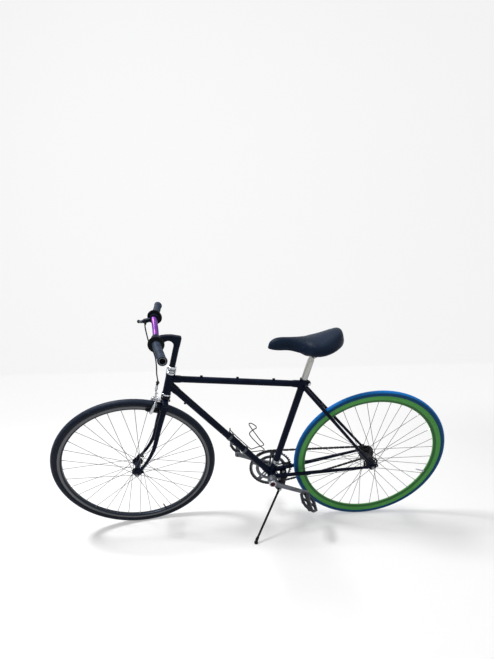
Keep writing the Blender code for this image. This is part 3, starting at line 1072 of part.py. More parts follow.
def crankset():
    """Spindle, two arms with their pedal axles, and the slotted chainring on the right one."""
    arm_inner = CRANK_ARM_PLANE - CRANK_ARM_THICKNESS / 2
    arm_outer = CRANK_ARM_PLANE + CRANK_ARM_THICKNESS / 2
    cylinder("crank_spindle", (0, -arm_outer + 0.004, 0), (0, arm_outer - 0.004, 0), SPINDLE_RADIUS, CHROME, crank_axis,
             16)
    bore = (SPINDLE_RADIUS + CLEARANCE) / cos(pi / 16)
    boss, eye = CRANK_BOSS_RADIUS, CRANK_EYE_RADIUS
    outline = arc((0, 0), boss, radians(45), radians(315), 9)
    outline += [(0.032, -0.0105), (0.135, -0.0092)]
    outline += arc((CRANK_LENGTH, 0), eye, radians(-130), radians(130), 9)
    outline += [(0.135, 0.0092), (0.032, 0.0105)]
    for word, side in (("left", -1), ("right", 1)):
        facing = [(-side * x, y) for x, y in outline]
        arm = as_mesh(plate(word + "_crank_arm", [facing], CRANK_ARM_THICKNESS, ALLOY, crank_axis,
                            (0, side * CRANK_ARM_PLANE, 0), UPRIGHT))
        bevel = arm.modifiers.new("rounding", "BEVEL")
        bevel.width = 0.0015
        bevel.segments = 1
        at = -side * CRANK_LENGTH
        axle_end = side * (arm_outer + PEDAL_AXLE_LENGTH)
        joined(arm, cylinder("pedal_axle", (at, side * (arm_inner + 0.002), 0), (at, axle_end, 0), PEDAL_AXLE_RADIUS,
                             None, crank_axis, 12))
        cut(arm, cylinder("arm_bore", (0, side * (arm_inner - 0.01), 0), (0, side * (arm_outer - 0.003), 0), bore, None,
                          crank_axis, 16))
    pitch = CHAIN_PITCH / (2 * sin(pi / CHAINRING_TEETH))
    tip = pitch + CHAIN_HALF_HEIGHT - CHAIN_WEB - TOOTH_CLEARANCE
    inside = tip - OUTER_BAND_WIDTH
    ring_profile = [toothed(CHAINRING_TEETH, tip - 0.0050, tip), circle((0, 0), inside, 32)]
    ring = as_mesh(plate("chainring", ring_profile, RING_THICKNESS, ALLOY, crank_axis, (0, CHAIN_LINE, 0), UPRIGHT))
    inner_ring = as_mesh(plate("inner_ring", [circle((0, 0), INNER_RING_RADIUS + INNER_RING_WIDTH / 2, 26),
                                              circle((0, 0), INNER_RING_RADIUS - INNER_RING_WIDTH / 2, 26)],
                               RING_THICKNESS, None, crank_axis, (0, CHAIN_LINE, 0), UPRIGHT))
    joined(ring, inner_ring)
    for k in range(SPIDER_ARMS):
        turn = 2 * pi * k / SPIDER_ARMS + pi / SPIDER_ARMS
        middle = (inside + 0.003 + 0.012) / 2
        arm = box("spider_arm", (inside + 0.003 - 0.012, 0.004, SPIDER_ARM_WIDTH),
                  (middle * cos(turn), CHAIN_LINE + 0.0005, middle * sin(turn)), None, crank_axis, (0, -turn, 0))
        joined(ring, arm)
    hub_end = arm_inner - CLEARANCE
    joined(ring, cylinder("ring_hub", (0, CHAIN_LINE - 0.004, 0), (0, hub_end, 0), 0.022, None, crank_axis, 20))
    for k in range(SPIDER_ARMS):
        turn = 2 * pi * k / SPIDER_ARMS + pi / SPIDER_ARMS
        for low, high in ((0.028, INNER_RING_RADIUS - 0.009), (INNER_RING_RADIUS + 0.008, inside - 0.003)):
            middle = (low + high) / 2
            cut(ring, box("spider_slot", (high - low, 0.02, SPIDER_ARM_WIDTH * 0.4),
                          (middle * cos(turn), CHAIN_LINE, middle * sin(turn)), None, crank_axis, (0, -turn, 0)))
    cut(ring, cylinder("ring_bore", (0, 0, 0), (0, 0.1, 0), bore, None, crank_axis, 16))


def chain_line(offset):
    """The chain's loop in the bicycle's plane, moved outward by an offset."""
    big = CHAIN_PITCH / (2 * sin(pi / CHAINRING_TEETH))
    small = CHAIN_PITCH / (2 * sin(pi / SPROCKET_TEETH))
    centre_big, centre_small = Vector((BRACKET.x, BRACKET.z)), Vector((REAR_AXLE.x, REAR_AXLE.z))
    apart = centre_small - centre_big
    heading = atan2(apart.y, apart.x)
    lean = acos((big - small) / apart.length)
    loop = arc(centre_big, big + offset, heading + lean, heading - lean + 2 * pi, 26)
    start, end = Vector(loop[-1]), None
    small_arc = arc(centre_small, small + offset, heading - lean, heading + lean, 14)
    end = Vector(small_arc[0])
    down = Vector((sin(heading), -cos(heading)))
    for k in range(1, 10):
        share = k / 10
        bow = (1 - cos(2 * pi * share)) / 2
        loop.append(tuple(start.lerp(end, share) + down * CHAIN_SAG * bow))
    return loop + small_arc


def chain():
    """A closed chain, as one slotted band round both sprockets."""
    half = CHAIN_HALF_HEIGHT
    place = (0, CHAIN_LINE, 0)
    band = as_mesh(plate("chain", [chain_line(half), chain_line(-half)], CHAIN_WIDTH, DARK_STEEL, bike, place, UPRIGHT))
    groove = as_mesh(plate("chain_groove", [chain_line(half - CHAIN_WEB), chain_line(-half - 0.002)],
                           CHAIN_SLOT_WIDTH, None, bike, place, UPRIGHT))
    cut(band, groove)
    pitch = CHAIN_PITCH / (2 * sin(pi / SPROCKET_TEETH))
    tip = pitch + half - CHAIN_WEB - TOOTH_CLEARANCE
    sprocket = as_mesh(plate("rear_sprocket", [toothed(SPROCKET_TEETH, tip - 0.0050, tip)], RING_THICKNESS,
                             DARK_STEEL, rear_wheel_axis, (0, CHAIN_LINE, 0), UPRIGHT))
    hub_bore = REAR_HUB_BARREL_RADIUS * 0.8 + 0.0005
    joined(sprocket, cylinder("freewheel", (0, SPROCKET_INNER, 0), (0, CHAIN_LINE + 0.006, 0), 0.0225, None,
                              rear_wheel_axis, 24))
    cut(sprocket, cylinder("freewheel_bore", (0, 0, 0), (0, 0.1, 0), hub_bore / cos(pi / 24), None, rear_wheel_axis, 24))


def pedal(word, side):
    """A cage pedal: an oval frame with four openings round a sleeve that runs on the arm's axle."""
    arm_outer = CRANK_ARM_PLANE + CRANK_ARM_THICKNESS / 2
    axis = empty(word + "_pedal_axis", crank_axis, (-side * CRANK_LENGTH, 0, 0), (0, PEDAL_TILT + CRANK_AT_REST, 0))
    inner_face = arm_outer + 0.009
    middle = inner_face + PEDAL_LENGTH / 2
    half_w, half_l = PEDAL_WIDTH / 2, PEDAL_LENGTH / 2
    corner = 0.030
    outline = []
    for cx, cy, turn in ((1, 1, 0), (-1, 1, 90), (-1, -1, 180), (1, -1, 270)):
        outline += arc((cx * (half_w - corner), cy * (half_l - corner)), corner, radians(turn), radians(turn + 90), 3)
    holes = []
    low_x, high_x = 0.0135, half_w - PEDAL_BAR
    low_y, high_y = PEDAL_BAR / 2, half_l - PEDAL_BAR
    for sx, sy in ((1, 1), (-1, 1), (-1, -1), (1, -1)):
        hole = [(sx * low_x, sy * low_y), (sx * high_x, sy * low_y), (sx * high_x, sy * (high_y - 0.022)),
                (sx * (high_x - 0.009), sy * (high_y - 0.0055)), (sx * low_x, sy * (high_y - 0.001))]
        holes.append(hole)
    body = as_mesh(plate(word + "_pedal", [outline, *holes], PEDAL_HEIGHT, BLACK_METAL, axis, (0, side * middle, 0)))
    sleeve_start, sleeve_end = inner_face + 0.001, inner_face + PEDAL_LENGTH - 0.001
    sleeve = cylinder("sleeve", (0, side * sleeve_start, 0), (0, side * sleeve_end, 0), 0.0115, None, axis, 12)
    joined(body, sleeve)
    bore = (PEDAL_AXLE_RADIUS + CLEARANCE) / cos(pi / 12)
    cut(body, cylinder("pedal_bore", (0, side * (inner_face - 0.01), 0),
                       (0, side * (arm_outer + PEDAL_AXLE_LENGTH + CLEARANCE), 0), bore, None, axis, 12))


def seatpost():
    """The post in the seat tube, narrowed at its top, with the clamp's band round the narrow part."""
    post = turned("seatpost", [
        (0, SEATPOST_TOP), (SEATPOST_NECK_RADIUS, SEATPOST_TOP), (SEATPOST_NECK_RADIUS, SEATPOST_TOP - 0.001),
        (SADDLE_CLAMP_RADIUS, SEATPOST_TOP - 0.001), (SADDLE_CLAMP_RADIUS, SEATPOST_TOP - 0.025),
        (SEATPOST_NECK_RADIUS, SEATPOST_TOP - 0.025), (SEATPOST_NECK_RADIUS, SEATPOST_TOP - 0.034),
        (SEATPOST_RADIUS, SEATPOST_TOP - 0.042), (SEATPOST_RADIUS, SEAT_TUBE_TOP - SEATPOST_INSERTED),
        (SEATPOST_RADIUS - 0.0016, SEAT_TUBE_TOP - SEATPOST_INSERTED), (SEATPOST_RADIUS - 0.0016, SEATPOST_TOP - 0.046),
        (0, SEATPOST_TOP - 0.046)], CHROME, seat_axis, sides=16)
    cut(post, cylinder("clamp_bolt_hole", (0, -0.03, SEATPOST_TOP - 0.013), (0, 0.03, SEATPOST_TOP - 0.013),
                       CLAMP_BOLT_RADIUS + CLEARANCE, None, seat_axis, 12))


def saddle():
    """A padded cover over a wire frame, held by a clamp on the post."""
    middle = SADDLE_CENTRE.x - SADDLE_AHEAD_OF_CLAMP
    places = (-0.166, -0.162, -0.153, -0.138, -0.115, -0.087, -0.060, -0.036, -0.010, 0.015, 0.040, 0.065, 0.085,
              0.100, 0.108)
    known = (-0.166, -0.160, -0.145, -0.123, -0.087, -0.036, -0.010, 0.015, 0.040, 0.065, 0.086, 0.100, 0.108)
    half = (0.003, 0.011, 0.017, 0.020, 0.022, 0.045, 0.066, 0.074, 0.0755, 0.069, 0.054, 0.037, 0.020)
    top = (0.030, 0.046, 0.058, 0.063, 0.0635, 0.0635, 0.065, 0.069, 0.076, 0.085, 0.091, 0.084, 0.062)
    edge = (0.028, 0.028, 0.029, 0.030, 0.028, 0.019, 0.019, 0.020, 0.024, 0.031, 0.038, 0.043, 0.046)
    low = (0.024, 0.023, 0.021, 0.020, 0.019, 0.011, 0.008, 0.009, 0.014, 0.022, 0.030, 0.036, 0.041)
    hollow = (0.0004, 0.001, 0.003, 0.008, 0.014, 0.020, 0.022, 0.022, 0.020, 0.016, 0.009, 0.003, 0.0004)
    shape = bmesh.new()
    rings = []
    for x in places:
        w, t, e, b, lift = (float(np.interp(x, known, row)) for row in (half, top, edge, low, hollow))
        section = [(w * cos(a), e + (t - e) * sin(a) ** 0.85) for a in np.linspace(0, pi, 9)]
        section += [(-0.94 * w, (e + b) / 2), (-0.86 * w, b), (-0.76 * w, b + 0.2 * lift), (-0.70 * w, b + lift),
                    (0.70 * w, b + lift), (0.76 * w, b + 0.2 * lift), (0.86 * w, b), (0.94 * w, (e + b) / 2)]
        rings.append([shape.verts.new((middle + x, y, RAIL_HEIGHT + z)) for y, z in section])
    around = len(rings[0])
    for first, second in zip(rings, rings[1:]):
        for k in range(around):
            shape.faces.new((first[k], first[(k + 1) % around], second[(k + 1) % around], second[k]))
    shape.faces.new(rings[0][::-1])
    shape.faces.new(rings[-1])
    bmesh.ops.recalc_face_normals(shape, faces=shape.faces)
    mesh = bpy.data.meshes.new("saddle")
    shape.to_mesh(mesh)
    shape.free()
    cover = adopt(bpy.data.objects.new("saddle", mesh), "saddle", SADDLE_COVER, saddle_frame)
    smooth(cover, radians(50))
    left_rail = [(0.068, -0.030, 0.0342), (0.054, -0.027, 0.022), (0.038, -0.023, 0.006), (0.026, -0.022, 0),
                 (-0.044, -0.022, 0), (-0.064, -0.016, 0.011), (-0.086, -0.0085, 0.0225), (-0.098, -0.005, 0.0266),
                 (-0.102, 0, 0.0270)]
    left_rail = [(middle + x, y, RAIL_HEIGHT + z) for x, y, z in left_rail]
    path = left_rail + [(x, -y, z) for x, y, z in left_rail[-2::-1]]
    rod("saddle_rails", path, RAIL_RADIUS, CHROME, saddle_frame, 1)
    centre = SADDLE_CENTRE
    clamp = cylinder("saddle_clamp", (centre.x, -0.034, RAIL_HEIGHT), (centre.x, 0.034, RAIL_HEIGHT),
                     CLAMP_BOLT_RADIUS, CHROME, saddle_frame, 12)
    for side in (-1, 1):
        joined(clamp, cylinder("clamp_disc", (centre.x, side * (SADDLE_CLAMP_RADIUS + CLEARANCE), RAIL_HEIGHT),
                               (centre.x, side * 0.029, RAIL_HEIGHT), 0.010, None, saddle_frame, 12))
    for side in (-1, 1):
        cut(clamp, cylinder("rail_groove", (middle - 0.07, side * 0.022, RAIL_HEIGHT),
                            (middle + 0.04, side * 0.022, RAIL_HEIGHT),
                            RAIL_RADIUS + 0.0005, None, saddle_frame, 10))


def world_point(local):
    return bike.matrix_world @ Vector(local)


def side_stand():
    """The bracket under the chain stays, the folding leg on its bolt, and the leg's rubber foot."""
    fold = Vector((cos(STAND_AXIS_TURN) * cos(STAND_AXIS_DIP), sin(STAND_AXIS_TURN) * cos(STAND_AXIS_DIP),
                   sin(STAND_AXIS_DIP)))
    stay_end = REAR_AXLE + Vector((-DROPOUT_REACH, 0, -0.004))
    stay_rise = (stay_end.z - BRACKET.z) / (stay_end.x - BRACKET.x)
    plate_at = BRACKET + Vector((STAND_PLATE_BACK, 0, STAND_PLATE_BACK * stay_rise - STAND_PLATE_BELOW_STAYS))
    pivot = plate_at + STAND_PIVOT_FROM_PLATE
    plate_top = box("kickstand_bracket", (0.032, 0.060, 0.008), plate_at, BLACK_METAL, bike)
    plate_top.rotation_euler = (0, STAND_PLATE_FLATTER - atan2(stay_rise, 1), 0)
    block = box("bracket_block", (0.026, 0.036, 0.044), plate_at + STAND_BLOCK_FROM_PLATE, None, bike, (0, 0.1, 0))
    neck = cylinder("bracket_neck", plate_at + STAND_NECK_FROM_PLATE, along(pivot, fold, -0.013), 0.0115, None, bike,
                    10)
    housing = cylinder("bracket_housing", along(pivot, fold, -0.026), along(pivot, fold, -0.0005), 0.0115, None, bike,
                       12)
    joined(plate_top, block, neck, housing)
    hole = cylinder("housing_hole", along(pivot, fold, -0.030), along(pivot, fold, 0.02), 0.0036, None, bike, 10)
    cut(plate_top, hole)
    bolt = cylinder("kickstand_bolt", along(pivot, fold, -0.0285), along(pivot, fold, 0.0125), 0.0032, BLACK_METAL,
                    bike, 10)
    for low, high in ((-0.0305, -0.0265), (0.0095, 0.0135)):
        joined(bolt, cylinder("stand_bolt_head", along(pivot, fold, low), along(pivot, fold, high), 0.0065, None, bike,
                              6))
    stand_axis = empty("kickstand_axis", None, world_point(pivot))
    stand_frame = empty("kickstand_frame", stand_axis, -world_point(pivot))
    foot = world_point((STAND_FOOT_BACK, STAND_FOOT_OUT, 0.03))
    top = world_point(along(pivot, fold, 0.0045))
    shaft_end = Vector((foot.x, foot.y, STAND_FOOT_HEIGHT + 0.0003))
    world_fold = (world_point(along(pivot, fold, 1)) - world_point(pivot)).normalized()
    eye = cylinder("kickstand_leg", along(top, world_fold, -0.0045), along(top, world_fold, 0.0045), 0.0105, BLACK_METAL,
                   stand_frame, 12)
    shaft = as_mesh(rod("stand_shaft", [along(top, (shaft_end - top).normalized(), 0.0100), shaft_end],
                        STAND_LEG_RADIUS, None, stand_frame, 1))
    joined(eye, shaft)
    level = box("stand_level", (0.06, 0.06, 0.03), (shaft_end.x, shaft_end.y, shaft_end.z - 0.015), None, stand_frame)
    eye_hole = cylinder("stand_eye_hole", along(top, world_fold, -0.02), along(top, world_fold, 0.02), 0.0036, None,
                        stand_frame, 10)
    cut(eye, level, eye_hole)
    cylinder("kickstand_foot", (foot.x, foot.y, 0), (foot.x, foot.y, STAND_FOOT_HEIGHT), STAND_FOOT_RADIUS, PAD_RUBBER,
             stand_frame, 16)


def bottle_cage():
    """One closed wire: two uprights on the down tube, a shelf, two side wires and a front hoop."""
    up = -DOWN_TUBE_DIRECTION
    out = Vector((-up.z, 0, up.x))
    if out.z < 0:
        out = -out

    def at(s, n, y):
        return BRACKET + up * s + out * n + Vector((0, y, 0))

    half = [at(0.3045, 0.0300, 0), at(0.3030, 0.0285, 0.006), at(0.2950, 0.0215, 0.009), at(0.2430, 0.0190, 0.009),
            at(0.1700, 0.0185, 0.009), at(0.1590, 0.0215, 0.010), at(0.1480, 0.0420, 0.015), at(0.1350, 0.0660, 0.018),
            at(0.1370, 0.0720, 0.019), at(0.1460, 0.0735, 0.021), at(0.1675, 0.0740, 0.026), at(0.2086, 0.0790, 0.034),
            at(0.2400, 0.0840, 0.038), at(0.2510, 0.0900, 0.037), at(0.2500, 0.1000, 0.030), at(0.2420, 0.1100, 0.016),
            at(0.2350, 0.1140, 0.006)]
    half_mirrored = [Vector((p.x, -p.y, p.z)) for p in half[:0:-1]]
    rod("bottle_cage", half + half_mirrored, CAGE_WIRE_RADIUS, CHROME, bike, 1, cyclic=True)
    for name, place in (("lower_cage_band", 0.185), ("upper_cage_band", 0.275)):
        centre = along(BRACKET, up, place)
        band = cylinder(name, along(centre, up, -0.006), along(centre, up, 0.006), DOWN_TUBE_RADIUS + 0.0018, CHROME,
                        bike, 16)
        pad = box("band_pad", (0.0095, 0.0138, 0.0102), along(centre, out, DOWN_TUBE_RADIUS + 0.0008), None, bike)
        pad.rotation_euler = Matrix((up, (0, 1, 0), up.cross((0, 1, 0)))).transposed().to_euler()
        joined(band, pad)
        cut(band, cylinder("band_bore", along(centre, up, -0.02), along(centre, up, 0.02),
                           (DOWN_TUBE_RADIUS + CLEARANCE) / cos(pi / 16), None, bike, 16))


def centre_on_origin():
    """Moves the whole bicycle so that its bounding box stands centred over the origin."""
    bpy.context.view_layer.update()
    graph = bpy.context.evaluated_depsgraph_get()
    corners = []
    for thing in PARTS.objects:
        if thing.type != "EMPTY":
            shape = thing.evaluated_get(graph)
            corners += [shape.matrix_world @ vertex.co for vertex in shape.to_mesh().vertices]
            shape.to_mesh_clear()
    for axis in (0, 1):
        middle = (min(c[axis] for c in corners) + max(c[axis] for c in corners)) / 2
        for thing in PARTS.objects:
            if thing.parent is None:
                thing.location[axis] -= middle


front_wheel()
rear_wheel()
rest_on_ground()
frame_tubes()
seat_cluster()
bottom_bracket()
rear_stays()
headset()
fork()
front_brake()
stem()
handlebar()
brake_lever()
brake_cable()
crankset()
chain()
pedal("left", -1)
pedal("right", 1)
seatpost()
saddle()
side_stand()
bottle_cage()
centre_on_origin()
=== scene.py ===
"""Looks for a city bicycle on its side stand: smooth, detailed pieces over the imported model, in metres."""

from math import acos, atan2, cos, pi, radians, sin

import bpy
import numpy as np
from mathutils import Matrix


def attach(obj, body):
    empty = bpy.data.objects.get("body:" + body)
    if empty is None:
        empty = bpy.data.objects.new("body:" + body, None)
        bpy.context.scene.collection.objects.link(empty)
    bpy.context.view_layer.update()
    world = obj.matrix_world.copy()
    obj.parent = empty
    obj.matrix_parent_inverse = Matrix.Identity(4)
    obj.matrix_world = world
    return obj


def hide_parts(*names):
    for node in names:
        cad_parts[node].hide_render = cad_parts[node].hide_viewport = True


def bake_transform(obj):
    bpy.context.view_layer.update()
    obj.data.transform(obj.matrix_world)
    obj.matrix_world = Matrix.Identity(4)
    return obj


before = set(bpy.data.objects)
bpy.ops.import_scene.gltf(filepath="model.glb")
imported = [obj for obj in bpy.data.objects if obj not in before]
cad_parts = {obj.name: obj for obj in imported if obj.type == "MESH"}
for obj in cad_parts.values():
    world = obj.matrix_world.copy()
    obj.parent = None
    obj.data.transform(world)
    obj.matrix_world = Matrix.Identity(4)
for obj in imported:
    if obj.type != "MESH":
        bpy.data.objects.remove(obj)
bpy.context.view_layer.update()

# Stance and main sizes, the same as the model's
LEAN = radians(8)
PITCH = radians(-0.05932)
BIKE_PLACE = (0.5133314, 0.1353939, -0.0009984)
STEER_AT_REST = radians(11.5)
HEAD_ANGLE = radians(71.5)
SEAT_ANGLE = radians(75.5)
TOP_TUBE_DROP = radians(4.24)
WHEELBASE = 1.0275
FORK_RAKE = 0.056
BRACKET = np.array([-0.4344, 0, 0.2654])
CRANK_LENGTH = 0.165
CRANK_AT_REST = radians(-22)
PEDAL_TILT = radians(42)
CHAIN_LINE = 0.0435
CHAIN_PITCH = 0.0127
RING_TEETH, SPROCKET_TEETH = 48, 16
HEAD_LOW, HEAD_HIGH = 0.3753, 0.4728
TOP_TUBE_RADIUS = 0.0127
MAIN_TUBE_RADIUS = 0.0143
STAY_RADIUS = 0.0085
SEAT_TUBE_TOP = 0.4822
BINDER_HEIGHT = 0.4702
REAR_END_OUT = 0.0625
FORK_END_OUT = 0.0525
END_THICKNESS = 0.005
FRONT_RIM_WIDTH, REAR_RIM_WIDTH = 0.0215, 0.0185
BAR_REACH = 0.2617
CABLE_RADIUS = 0.0025
SPOKE_RADIUS = 0.00108
SEAM = 0.0003
GROUND_CLEAR = 0.0002


def shift(x, y, z):
    """The matrix of a plain move."""
    made = np.eye(4)
    made[:3, 3] = (x, y, z)
    return made


def turn(axis, angle):
    """The matrix of a turn about the x, y or z axis by the right-hand rule."""
    made = np.eye(4)
    first, second = {"x": (1, 2), "y": (2, 0), "z": (0, 1)}[axis]
    made[first, first] = made[second, second] = cos(angle)
    made[second, first], made[first, second] = sin(angle), -sin(angle)
    return made


def unit(vector):
    """A vector divided by its length."""
    vector = np.asarray(vector, float)
    return vector / np.linalg.norm(vector)


def aimed(start, direction, side=(0, 1, 0)):
    """The matrix that stands Z on a direction, with Y as near to side as it can be."""
    z = unit(direction)
    x = np.cross(side, z)
    x = unit(x if np.linalg.norm(x) > 1e-6 else np.cross((1, 0, 0), z))
    made = np.eye(4)
    made[:3, 0], made[:3, 1], made[:3, 2], made[:3, 3] = x, np.cross(z, x), z, start
    return made


def moved(points, place):
    """Points carried by a matrix: its turn first, then its move."""
    return np.asarray(points) @ place[:3, :3].T + place[:3, 3]


STEER_DIRECTION = np.array([cos(HEAD_ANGLE), 0, sin(HEAD_ANGLE)])
STEER_FORWARD = np.array([-sin(HEAD_ANGLE), 0, cos(HEAD_ANGLE)])
FRONT_AXLE = np.array([-WHEELBASE, 0, 0.3414])
REAR_AXLE = np.array([0, 0, 0.336])
STEER_FOOT = FRONT_AXLE - FORK_RAKE * STEER_FORWARD
SEAT_DIRECTION = np.array([cos(SEAT_ANGLE), 0, sin(SEAT_ANGLE)])
SEAT_BACK = np.array([sin(SEAT_ANGLE), 0, -cos(SEAT_ANGLE)])
TOP_TUBE_START = STEER_FOOT + 0.450 * STEER_DIRECTION
TOP_TUBE_DIRECTION = np.array([cos(TOP_TUBE_DROP), 0, -sin(TOP_TUBE_DROP)])
DOWN_TUBE_START = STEER_FOOT + 0.428 * STEER_DIRECTION
DOWN_TUBE_DIRECTION = unit(BRACKET - DOWN_TUBE_START)

BIKE = shift(*BIKE_PLACE) @ turn("y", PITCH) @ turn("x", LEAN)
HEAD = BIKE @ shift(*STEER_FOOT) @ turn("y", pi / 2 - HEAD_ANGLE)
STEER = HEAD @ turn("z", STEER_AT_REST)
FRONT_WHEEL = STEER @ shift(-FORK_RAKE, 0, 0)
REAR_WHEEL = BIKE @ shift(*REAR_AXLE)
CRANK = BIKE @ shift(*BRACKET) @ turn("y", -CRANK_AT_REST)
SEAT = BIKE @ shift(*BRACKET) @ turn("y", pi / 2 - SEAT_ANGLE)


def flow(points, steps=8, ring=False):
    """A smooth line: each stretch is the Catmull-Rom cubic of the four points round it."""
    p = np.asarray(points, float)
    ends = (p[-1:], p[:2]) if ring else (2 * p[:1] - p[1:2], 2 * p[-1:] - p[-2:-1])
    p = np.vstack([ends[0], p, ends[1]])
    a, b, c, d = (q[:, None, :] for q in (p[:-3], p[1:-2], p[2:-1], p[3:]))
    t = np.linspace(0, 1, steps, endpoint=False)[None, :, None]
    line = 0.5 * (2 * b + (c - a) * t + (2 * a - 5 * b + 4 * c - d) * t**2 + (3 * b - 3 * c + d - a) * t**3)
    line = line.reshape(-1, line.shape[2])
    return line if ring else np.vstack([line, np.asarray(points, float)[-1]])


def soft(points, reach=0.0006, closed=False):
    """A line whose corners are eased: each turns into three points of the parabola between its two sides."""
    p = np.asarray(points, float)
    before = np.roll(p, 1, 0) - p
    after = np.roll(p, -1, 0) - p
    low, high = np.linalg.norm(before, axis=1, keepdims=True), np.linalg.norm(after, axis=1, keepdims=True)
    one = p + before / np.maximum(low, 1e-9) * np.minimum(reach, 0.4 * low)
    two = p + after / np.maximum(high, 1e-9) * np.minimum(reach, 0.4 * high)
    eased = np.stack([one, (one + 2 * p + two) / 4, two], 1)
    if closed:
        return eased.reshape(-1, p.shape[1])
    return np.vstack([p[:1], eased[1:-1].reshape(-1, p.shape[1]), p[-1:]])


def oval(width, height, power=2.0, count=24):
    """A closed outline: an ellipse at power 2 and a rounder or squarer box above it."""
    angle = np.linspace(0, 2 * pi, count, endpoint=False)
    x = np.sign(np.cos(angle)) * abs(np.cos(angle)) ** (2 / power)
    y = np.sign(np.sin(angle)) * abs(np.sin(angle)) ** (2 / power)
    width, height = np.broadcast_arrays(width, height)
    return np.stack([width[..., None] / 2 * x, height[..., None] / 2 * y], -1)


def sweep(path, section, side=(0, 1, 0), ring=False):
    """A section of (sideways, upwards) carried along a path, turning as little as it can from side."""
    path = np.asarray(path, float)
    if ring:
        ahead = np.roll(path, -1, 0) - np.roll(path, 1, 0)
    else:
        ahead = np.gradient(path, axis=0)
    ahead /= np.linalg.norm(ahead, axis=1, keepdims=True)
    sides = np.empty_like(path)
    current = np.asarray(side, float)
    for k, direction in enumerate(ahead):
        current = current - direction * current.dot(direction)
        current = current / np.linalg.norm(current)
        sides[k] = current
    ups = np.cross(ahead, sides)
    section = np.asarray(section, float)
    if section.ndim == 2:
        section = np.broadcast_to(section, (len(path), *section.shape))
    return path[:, None] + section[..., :1] * sides[:, None] + section[..., 1:] * ups[:, None]


def round_rod(path, radius, count=16, side=None, ring=False):
    """A round rod along a path; its radius may change from point to point."""
    path = np.asarray(path, float)
    if side is None:
        spread = np.ptp(path, axis=0)
        side = np.eye(3)[int(np.argmin(spread))] + np.array([0.01, 0.02, 0.03])
    radius = np.broadcast_to(np.asarray(radius, float), (len(path),))
    return sweep(path, oval(2 * radius, 2 * radius, count=count), side, ring)


def turned(profile, count=48, flats=0):
    """A profile of (radius, height) turned about Z; with flats, the circle becomes that polygon."""
    profile = np.asarray(profile, float)
    angle = np.linspace(0, 2 * pi, count, endpoint=False)
    reach = np.ones(count)
    if flats:
        step = 2 * pi / flats
        reach = cos(step / 2) / np.cos((angle % step) - step / 2)
    radius = np.maximum(profile[:, 0], 5e-5)[:, None] * reach
    heights = np.broadcast_to(profile[:, 1:], radius.shape)
    return np.stack([radius * np.cos(angle), radius * np.sin(angle), heights], -1)


def slab(outline, thickness, ease=0.0006, steps=2):
    """A flat plate of an outline in X and Z, its thickness along Y, its rims eased by a quarter circle."""
    p = np.asarray(outline, float)
    ahead = np.roll(p, -1, 0) - np.roll(p, 1, 0)
    out = np.stack([ahead[:, 1], -ahead[:, 0]], 1)
    out /= np.maximum(np.linalg.norm(out, axis=1, keepdims=True), 1e-12)
    area = np.sum(p[:, 0] * np.roll(p[:, 1], -1) - p[:, 1] * np.roll(p[:, 0], -1))
    out *= np.sign(area)
    half = thickness / 2
    levels = [(-half, 0), (half, 0)]
    if ease:
        rim = [(half - ease * (1 - cos(a)), ease * (1 - sin(a))) for a in np.linspace(0, pi / 2, steps + 1)]
        levels = [(-y, inset) for y, inset in rim] + rim[::-1]
    rows = []
    for y, inset in levels:
        q = p - out * inset
        rows.append(np.stack([q[:, 0], np.full(len(q), y), q[:, 1]], 1))
    return np.stack(rows)


def arc(centre, radius, start, end, count=10):
    """Points of a circle's part: its centre plus radius times (cos, sin) of even angles."""
    angle = np.linspace(start, end, count)
    return np.stack([centre[0] + radius * np.cos(angle), centre[1] + radius * np.sin(angle)], 1)


def about_y(grid):
    """Turns a shape made about Z so that its axis lies along Y."""
    return np.stack([grid[..., 0], grid[..., 2], -grid[..., 1]], -1)


class Value:
    """A number in a material; Python's operators add the Math nodes."""

    def __init__(self, finish, socket):
        self.finish, self.socket = finish, socket

    def with_math(self, operation, *others, swapped=False):
        """A Math node on this number and the others, in that order or swapped."""
        inputs = [self, *others]
        if swapped:
            inputs.reverse()
        made = self.finish.node("Math", {"operation": operation}, dict(enumerate(inputs)))
        return Value(self.finish, made.outputs[0])

    def __add__(self, other):
        return self.with_math("ADD", other)

    __radd__ = __add__

    def __sub__(self, other):
        return self.with_math("SUBTRACT", other)

    def __rsub__(self, other):
        return self.with_math("SUBTRACT", other, swapped=True)

    def __mul__(self, other):
        return self.with_math("MULTIPLY", other)

    __rmul__ = __mul__

    def sine(self):
        return self.with_math("SINE")

    def distance_from(self, place):
        """How far the number is from a place, whichever side it lies on."""
        return (self - place).with_math("ABSOLUTE")

    def spread(self, low, high):
        """0 at low, 1 at high, with a soft step between them."""
        made = self.finish.node("MapRange", {"interpolation_type": "SMOOTHSTEP"},
                                {"Value": self, "From Min": low, "From Max": high})
        return Value(self.finish, made.outputs["Result"])


